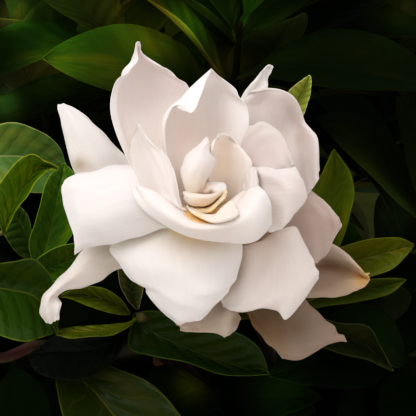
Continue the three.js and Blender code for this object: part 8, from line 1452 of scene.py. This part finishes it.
def canopy_leaf(q, seed):
    foot, d, n = np.array(q[0:3]), np.array(q[3:6]), np.array(q[6:9])
    length, width, bend, fold = q[9:13]
    d = d / np.linalg.norm(d); n = n - d * (n @ d); n /= np.linalg.norm(n)
    across = np.cross(d, n)
    nu, nv = 19, 9
    us = np.concatenate([[0.0, 0.045], np.linspace(0.09, 1, nu - 2)])
    vs = np.linspace(-1, 1, nv)
    f = bend * us
    P = foot + np.outer(length * np.sin(f) / bend, d) - np.outer(length * (1 - np.cos(f)) / bend, n)
    face = np.outer(np.cos(f), n) + np.outer(np.sin(f), d)
    inside = inside_of(plane_of(P[10][None])[0])
    w = width / 2 * share(us) * (1 + 0.05 * inside)
    w[:2] = 0.75
    w[-1] = 0.12
    U, V = np.meshgrid(us, vs, indexing="ij")
    r = np.random.default_rng(seed)
    wave = 0.55 * Waves(seed, 4, 0.9, 2.2)(U * 1.4, np.sign(V) * 1.3) * np.abs(V) ** 2 * smooth(0.1, 0.4, U)
    lift = np.abs(V) * w[:, None] * math.sin(fold) * (1 + 0.25 * np.abs(V)) * smooth(0.0, 0.12, U) + wave
    lift -= 0.25 * np.exp(-(V / 0.2) ** 2) * smooth(0.05, 0.15, U)
    G = P[:, None] + across * (V * w[:, None] * math.cos(fold))[..., None] + face[:, None] * lift[..., None]
    N = grid_normals(G)
    if (N * face[:, None]).sum(-1).mean() < 0:
        N = -N
    edge = np.minimum(1 - np.abs(V), (1 - U) * 2.2)
    thick = 0.30 + 0.25 * smooth(0, 0.3, edge) + 0.6 * np.exp(-(V / 0.15) ** 2) * (1 - 0.7 * U)
    thick[:2] = 1.3
    V3, F, idx, side = shell(G, N, thick)
    k = len(V3)
    # each leaf's own random tone; leaves outside the shaded middle behind the bloom are painted lighter
    shade = r.uniform(0.75, 1.25) * (1.35 - 0.35 * inside)
    warm = r.uniform(0.85, 1.3)
    tint = painted_shade_and_light(V3, np.array((shade * warm, shade, shade * 0.8)), inside)
    calm = np.full(k, inside)
    return V3, F, dict(u=U.ravel()[idx], v=V.ravel()[idx], side=side, edge=edge.ravel()[idx], seed=np.full(k, r.uniform()), tint=tint, calm=calm)


for i, (pts, leaves) in enumerate(zip(TWIGS, CANOPY)):
    n = len(pts) - 1
    tw = [(*p, 1.9 - 0.9 * k / n) for k, p in enumerate(pts)]
    v, f, C = rings(tw, 9, 2.5, wob=0.06, seed=40 + i)
    Vs, Fs, A, k0 = [v], list(f), {}, len(v)
    into = np.array([inside_of(q) for q in plane_of(v)])[:, None]
    shadow = [into.mean() > 0.5] * len(f)
    one = np.ones(len(v))
    # twigs behind the bloom get painted shade
    acc = dict(u=[one * 0.5], v=[one * 0.0 + 0.5], side=[-one], edge=[one], seed=[one * 0.5], calm=[one * 0.0], tint=[np.array((0.75, 0.45, 0.3)) * (1 - 0.85 * into)])
    for j, q in enumerate(leaves):
        v3, f3, a = canopy_leaf(q, 5000 + 100 * i + j)
        Vs.append(v3); Fs += [tuple(int(x) + k0 for x in g) for g in f3]; k0 += len(v3)
        shadow += [a["calm"][0] > 0.5] * len(f3)
        for key in acc:
            acc[key].append(a[key])
    ob = mesh_of("fine_leafy_branch_%d" % (i + 1), np.concatenate(Vs), Fs, {k: np.concatenate(a) for k, a in acc.items()})
    piece(ob, FOLIAGE, "foliage", "leafy_branch_%d" % (i + 1))
    ob.data.materials.append(FOLIAGE_DEEP)
    ob.data.polygons.foreach_set("material_index", np.array(shadow, np.int32))
    ob.data.update()

# ---------------------------------------------------------------- calyx and corolla tube
top = drawn(TUBE_TOP)
Zt = TUBE_AXIS / np.linalg.norm(TUBE_AXIS)
Xt = np.array([1.0, 0, 0]); Yt = np.cross(Zt, Xt)


def lathe_about(profile, seg, ribs=0, amp=0.0):
    """profile: (r, z) open at its ends on the axis."""
    P = np.array(profile, float)
    V, F = [], []
    a = np.arange(seg) / seg * 2 * np.pi
    n = len(P)
    for (r, z) in P[1:-1]:
        rr = r * (1 + amp * np.cos(ribs * a))
        V.append(top + np.outer(rr * np.cos(a), Xt) + np.outer(rr * np.sin(a), Yt) + Zt * z)
    V = np.concatenate(V + [np.array([top + Zt * P[0, 1], top + Zt * P[-1, 1]])])
    m = n - 2
    for i in range(m - 1):
        for k in range(seg):
            l = (k + 1) % seg
            F.append((i * seg + k, i * seg + l, (i + 1) * seg + l, (i + 1) * seg + k))
    for k in range(seg):
        l = (k + 1) % seg
        F.append((m * seg, l, k)); F.append((m * seg + 1, (m - 1) * seg + k, (m - 1) * seg + l))
    return V, F


def spread(profile, n):
    P = np.array(profile, float)
    return (weights(len(P), np.linspace(0, 1, n)) @ P)


TUBE_MAT = soft_green("corolla_tube_cream", (0.72, 0.74, 0.42), (0.86, 0.85, 0.68), 0.45, 0.35)
pr = spread([(6.6, -2.0), (5.2, 1.5), (4.0, 5), (3.3, 9), (2.8, 15), (2.45, 20), (2.4, 23.6)], 26)
pr = np.concatenate([[(0, -1.6)], pr, [(0, 23.9)]])
v, f = lathe_about(pr, 36, 6, 0.05)
ob = mesh_of("fine_corolla_tube", v, f, {"u": np.clip(1 - ((v - top) @ Zt) / 24, 0, 1)})
piece(ob, TUBE_MAT, "corolla_tube", "corolla_tube")

CALYX_MAT = soft_green("calyx_green", (0.10, 0.17, 0.025), (0.22, 0.30, 0.06), 0.4, 0.1)
pr = spread([(2.75, 23.8), (3.9, 25.4), (4.4, 28), (4.4, 30.5), (3.9, 33.5), (2.9, 36.2)], 20)
pr = np.concatenate([[(0, 23.6)], pr, [(0, 36.8)]])
cp = [lathe_about(pr, 48, 6, 0.07)]
for k in range(6):
    a = k / 6 * 2 * math.pi + 0.4
    arm = lambda r, z: top + (Xt * math.cos(a) + Yt * math.sin(a)) * r + Zt * z
    pts = [(*arm(2.6, 28.5), 1.25), (*arm(4.3, 25.6), 1.15), (*arm(6.0, 22), 1.0), (*arm(7.4, 17), 0.75), (*arm(8.7, 11.5), 0.2)]
    vv, ff, _ = rings(pts, 8, 1.2)
    cp.append((vv, ff))
v, f = join(cp)
ob = mesh_of("fine_calyx", v, f, {"u": np.clip(((v - top) @ Zt - 10) / 26, 0, 1)})
piece(ob, CALYX_MAT, "calyx", "calyx")

# ---------------------------------------------------------------- pot
POT_H, RIM_R, RIM_H, NECK_R, FOOT_R, WALL, FLOOR, DRAIN = 150, 88, 25, 80, 58, 6.5, 8, 10
neck = lambda z: FOOT_R + (NECK_R - FOOT_R) * z / (POT_H - RIM_H)


def rounded(pts, r, n=5):
    """A closed outline with its corners rounded by radius r."""
    out = []
    m = len(pts)
    for i in range(m):
        p, a, b = np.array(pts[i], float), np.array(pts[i - 1], float), np.array(pts[(i + 1) % m], float)
        da, db = a - p, b - p
        la, lb = np.linalg.norm(da), np.linalg.norm(db)
        rr = min(r, la * 0.45, lb * 0.45)
        s, e = p + da / la * rr, p + db / lb * rr
        for t in np.linspace(0, 1, n):
            out.append((1 - t) ** 2 * s + 2 * t * (1 - t) * p + t * t * e)
    return np.array(out)


outline = [(DRAIN, 0), (FOOT_R, 0), (neck(POT_H - RIM_H) - 0.4, POT_H - RIM_H), (RIM_R - 2.4, POT_H - RIM_H), (RIM_R, POT_H),
           (NECK_R - 1, POT_H), (neck(POT_H - RIM_H) - WALL, POT_H - RIM_H - 4), (neck(FLOOR) - WALL, FLOOR), (DRAIN, FLOOR)]
prof = rounded(outline, 2.2)
dense = []
for i in range(len(prof)):
    a, b = prof[i], prof[(i + 1) % len(prof)]
    k = max(1, int(np.linalg.norm(b - a) / 5))
    for t in range(k):
        dense.append(a + (b - a) * t / k)
prof = np.array(dense)
seg = 144
ang = np.arange(seg) / seg * 2 * np.pi
wob = Waves(77, 5, 0.3, 1.0)
V = []
for (r, z) in prof:
    dr = 0.22 * wob(np.cos(ang) * 0.6 + z * 0.004, np.sin(ang) * 0.6) * (z > 1.5)
    V.append(np.stack([(r + dr) * np.cos(ang), (r + dr) * np.sin(ang), np.full(seg, z)], 1))
V = np.concatenate(V)
m = len(prof)
F = [(i * seg + k, i * seg + (k + 1) % seg, ((i + 1) % m) * seg + (k + 1) % seg, ((i + 1) % m) * seg + k) for i in range(m) for k in range(seg)]
pot = mesh_of("fine_pot", V, F)
piece(pot, terracotta_material(), "terracotta", "pot")

# ---------------------------------------------------------------- soil: a rough top with chips of bark and a little perlite
SOIL_TOP = 129.0
rng = np.random.default_rng(5)


def inner(z):
    z1 = POT_H - RIM_H - 4
    r0, r1 = neck(FLOOR) - WALL, neck(POT_H - RIM_H) - WALL
    return r0 + (r1 - r0) * (z - FLOOR) / (z1 - FLOOR) if z <= z1 else r1 + (NECK_R - 2 - r1) * (z - z1) / (POT_H - 2.5 - z1)


w1, w2 = Waves(3, 9, 0.8, 2.6), Waves(4, 12, 3.0, 8.0)
R = inner(SOIL_TOP) - 0.5
rad = np.concatenate([np.linspace(0, R - 1, 46)])
seg = 120
ang = np.arange(seg) / seg * 2 * np.pi
V, F = [], []
for i, r in enumerate(rad[1:]):
    x, y = r * np.cos(ang), r * np.sin(ang)
    z = SOIL_TOP + 0.4 + 0.8 * w1(x / 60, y / 60) + 0.55 * w2(x / 60, y / 60) - 1.2 * (r / R) ** 6
    V.append(np.stack([x, y, z], 1))
for z in (SOIL_TOP - 5, 100.0, 60.0, FLOOR + 0.8):
    r = inner(z) - 0.5
    V.append(np.stack([r * np.cos(ang), r * np.sin(ang), np.full(seg, z)], 1))
n = len(V)
V = np.concatenate(V + [np.array([[0, 0, SOIL_TOP + 0.5], [0, 0, FLOOR + 0.8]])])
for i in range(n - 1):
    for k in range(seg):
        l = (k + 1) % seg
        F.append((i * seg + k, (i + 1) * seg + k, (i + 1) * seg + l, i * seg + l))
for k in range(seg):
    l = (k + 1) % seg
    F.append((n * seg, k, l)); F.append((n * seg + 1, (n - 1) * seg + l, (n - 1) * seg + k))
parts = [(V, F)]
tints = [np.tile((1.0, 1.0, 1.0), (len(V), 1))]
cube = np.array([(x, y, z) for x in (-1, 1) for y in (-1, 1) for z in (-1, 1)], float)
ico_f = [(0, 1, 3, 2), (4, 6, 7, 5), (0, 4, 5, 1), (2, 3, 7, 6), (0, 2, 6, 4), (1, 5, 7, 3)]
for k in range(900):
    r = (R - 3.5) * math.sqrt(rng.uniform(0.012, 1)); a = rng.uniform(0, 2 * math.pi)
    x, y = r * math.cos(a), r * math.sin(a)
    perl = rng.random() < 0.10
    s = rng.uniform(0.5, 1.3) if perl else rng.uniform(0.7, 2.6)
    dims = np.array((s, s * rng.uniform(0.7, 1), s * rng.uniform(0.7, 1))) if perl else np.array((s * 1.5, s * rng.uniform(0.45, 0.8), s * rng.uniform(0.22, 0.45)))
    q = cube * dims * rng.uniform(0.72, 1.15, (8, 3))
    e = Matrix.Rotation(rng.uniform(0, 6.28), 3, "Z") @ Matrix.Rotation(rng.normal(0, 0.45), 3, "X") @ Matrix.Rotation(rng.normal(0, 0.45), 3, "Y")
    q = q @ np.array(e).T
    z = SOIL_TOP + 0.4 + 0.8 * float(w1(x / 60, y / 60)) + 0.55 * float(w2(x / 60, y / 60)) - 1.2 * (r / R) ** 6
    q = q + np.array((x, y, z + dims[2] * 0.35))
    parts.append((q, ico_f))
    c = (16, 17, 18) if perl else tuple(np.array((1.0, 0.85, 0.7)) * rng.uniform(0.6, 2.6))
    tints.append(np.tile(c, (8, 1)))
V, F = join(parts)
soil = mesh_of("fine_potting_soil", V, F, {"tint": np.concatenate(tints)}, smooth_on=False)
piece(soil, soil_material(), "soil", "potting_soil")

# ---------------------------------------------------------------- floor, light, camera
floor_mat = Mat("pale_floor")
floor_mat.set("Base Color", floor_mat.mix(floor_mat.noise(floor_mat.coord(), 3.0, 2.0), (0.70, 0.69, 0.67), (0.74, 0.73, 0.71)))
floor_mat.set("Roughness", 0.75)
fm = bpy.data.meshes.new("floor")
dish = [(r, 0.0) for r in (0.6, 1.5, 3.0, 4.5, 6.0)] + [(6.0 + 4.0 * math.sin(t), 4.0 - 4.0 * math.cos(t)) for t in np.linspace(0.1, 1.5, 14)]
n_ = 96
fv = [(0.0, 0.0, 0.0)] + [(r * math.cos(k * 2 * math.pi / n_), r * math.sin(k * 2 * math.pi / n_), z) for r, z in dish for k in range(n_)]
ff = [(0, 1 + k, 1 + (k + 1) % n_) for k in range(n_)]
for i in range(len(dish) - 1):
    for k in range(n_):
        a, b = 1 + i * n_ + k, 1 + i * n_ + (k + 1) % n_
        ff.append((a, a + n_, b + n_, b))
fm.from_pydata(fv, [], ff)
fm.shade_smooth()
fl = bpy.data.objects.new("floor", fm)
bpy.context.scene.collection.objects.link(fl)
fm.materials.append(floor_mat.m)

world = bpy.data.worlds.new("studio")
bpy.context.scene.world = world
world.use_nodes = True
wn = world.node_tree
bg = wn.nodes["Background"]
bg.inputs[0].default_value = (*WORLD_TINT, 1)
bg.inputs[1].default_value = WORLD
bg2 = wn.nodes.new("ShaderNodeBackground")
bg2.inputs[0].default_value = (0.80, 0.81, 0.82, 1)
bg2.inputs[1].default_value = 0.85
lp = wn.nodes.new("ShaderNodeLightPath")
mx = wn.nodes.new("ShaderNodeMixShader")
wn.links.new(lp.outputs["Is Camera Ray"], mx.inputs[0])
wn.links.new(bg.outputs[0], mx.inputs[1]); wn.links.new(bg2.outputs[0], mx.inputs[2])
wn.links.new(mx.outputs[0], wn.nodes["World Output"].inputs[0])


def softbox(name, loc, size, watts, colour, target):
    l = bpy.data.lights.new(name, "AREA")
    l.shape = "DISK"; l.size = size; l.energy = watts; l.color = colour
    o = bpy.data.objects.new(name, l)
    o.location = loc
    o.rotation_euler = (Vector(target) - Vector(loc)).to_track_quat("-Z", "Y").to_euler()
    o.visible_camera = False
    bpy.context.scene.collection.objects.link(o)


for q in LIGHTS:
    softbox(*q)

cam = bpy.data.cameras.new("camera")
cam.angle = 2 * math.atan(58.24 / 700)
cam.clip_start, cam.clip_end = 0.05, 60
co_ = bpy.data.objects.new("camera", cam)
bpy.context.scene.collection.objects.link(co_)
co_.location = Vector((CENTRE + FRONT * REACH) * MM)
co_.rotation_euler = Matrix((tuple(RIGHT), tuple(UP), tuple(FRONT))).transposed().to_euler()
bpy.context.scene.camera = co_
bpy.context.scene.view_settings.view_transform = "Standard"
bpy.context.scene.view_settings.look = "None"
if TONE:
    vs_ = bpy.context.scene.view_settings
    vs_.use_curve_mapping = True
    cm = vs_.curve_mapping
    c_ = cm.curves[3]
    for x, y in TONE:
        c_.points.new(x, y)
    c_.points[len(c_.points) - 1].location = (1.0, 0.975)
    cm.update()

bpy.context.view_layer.update()
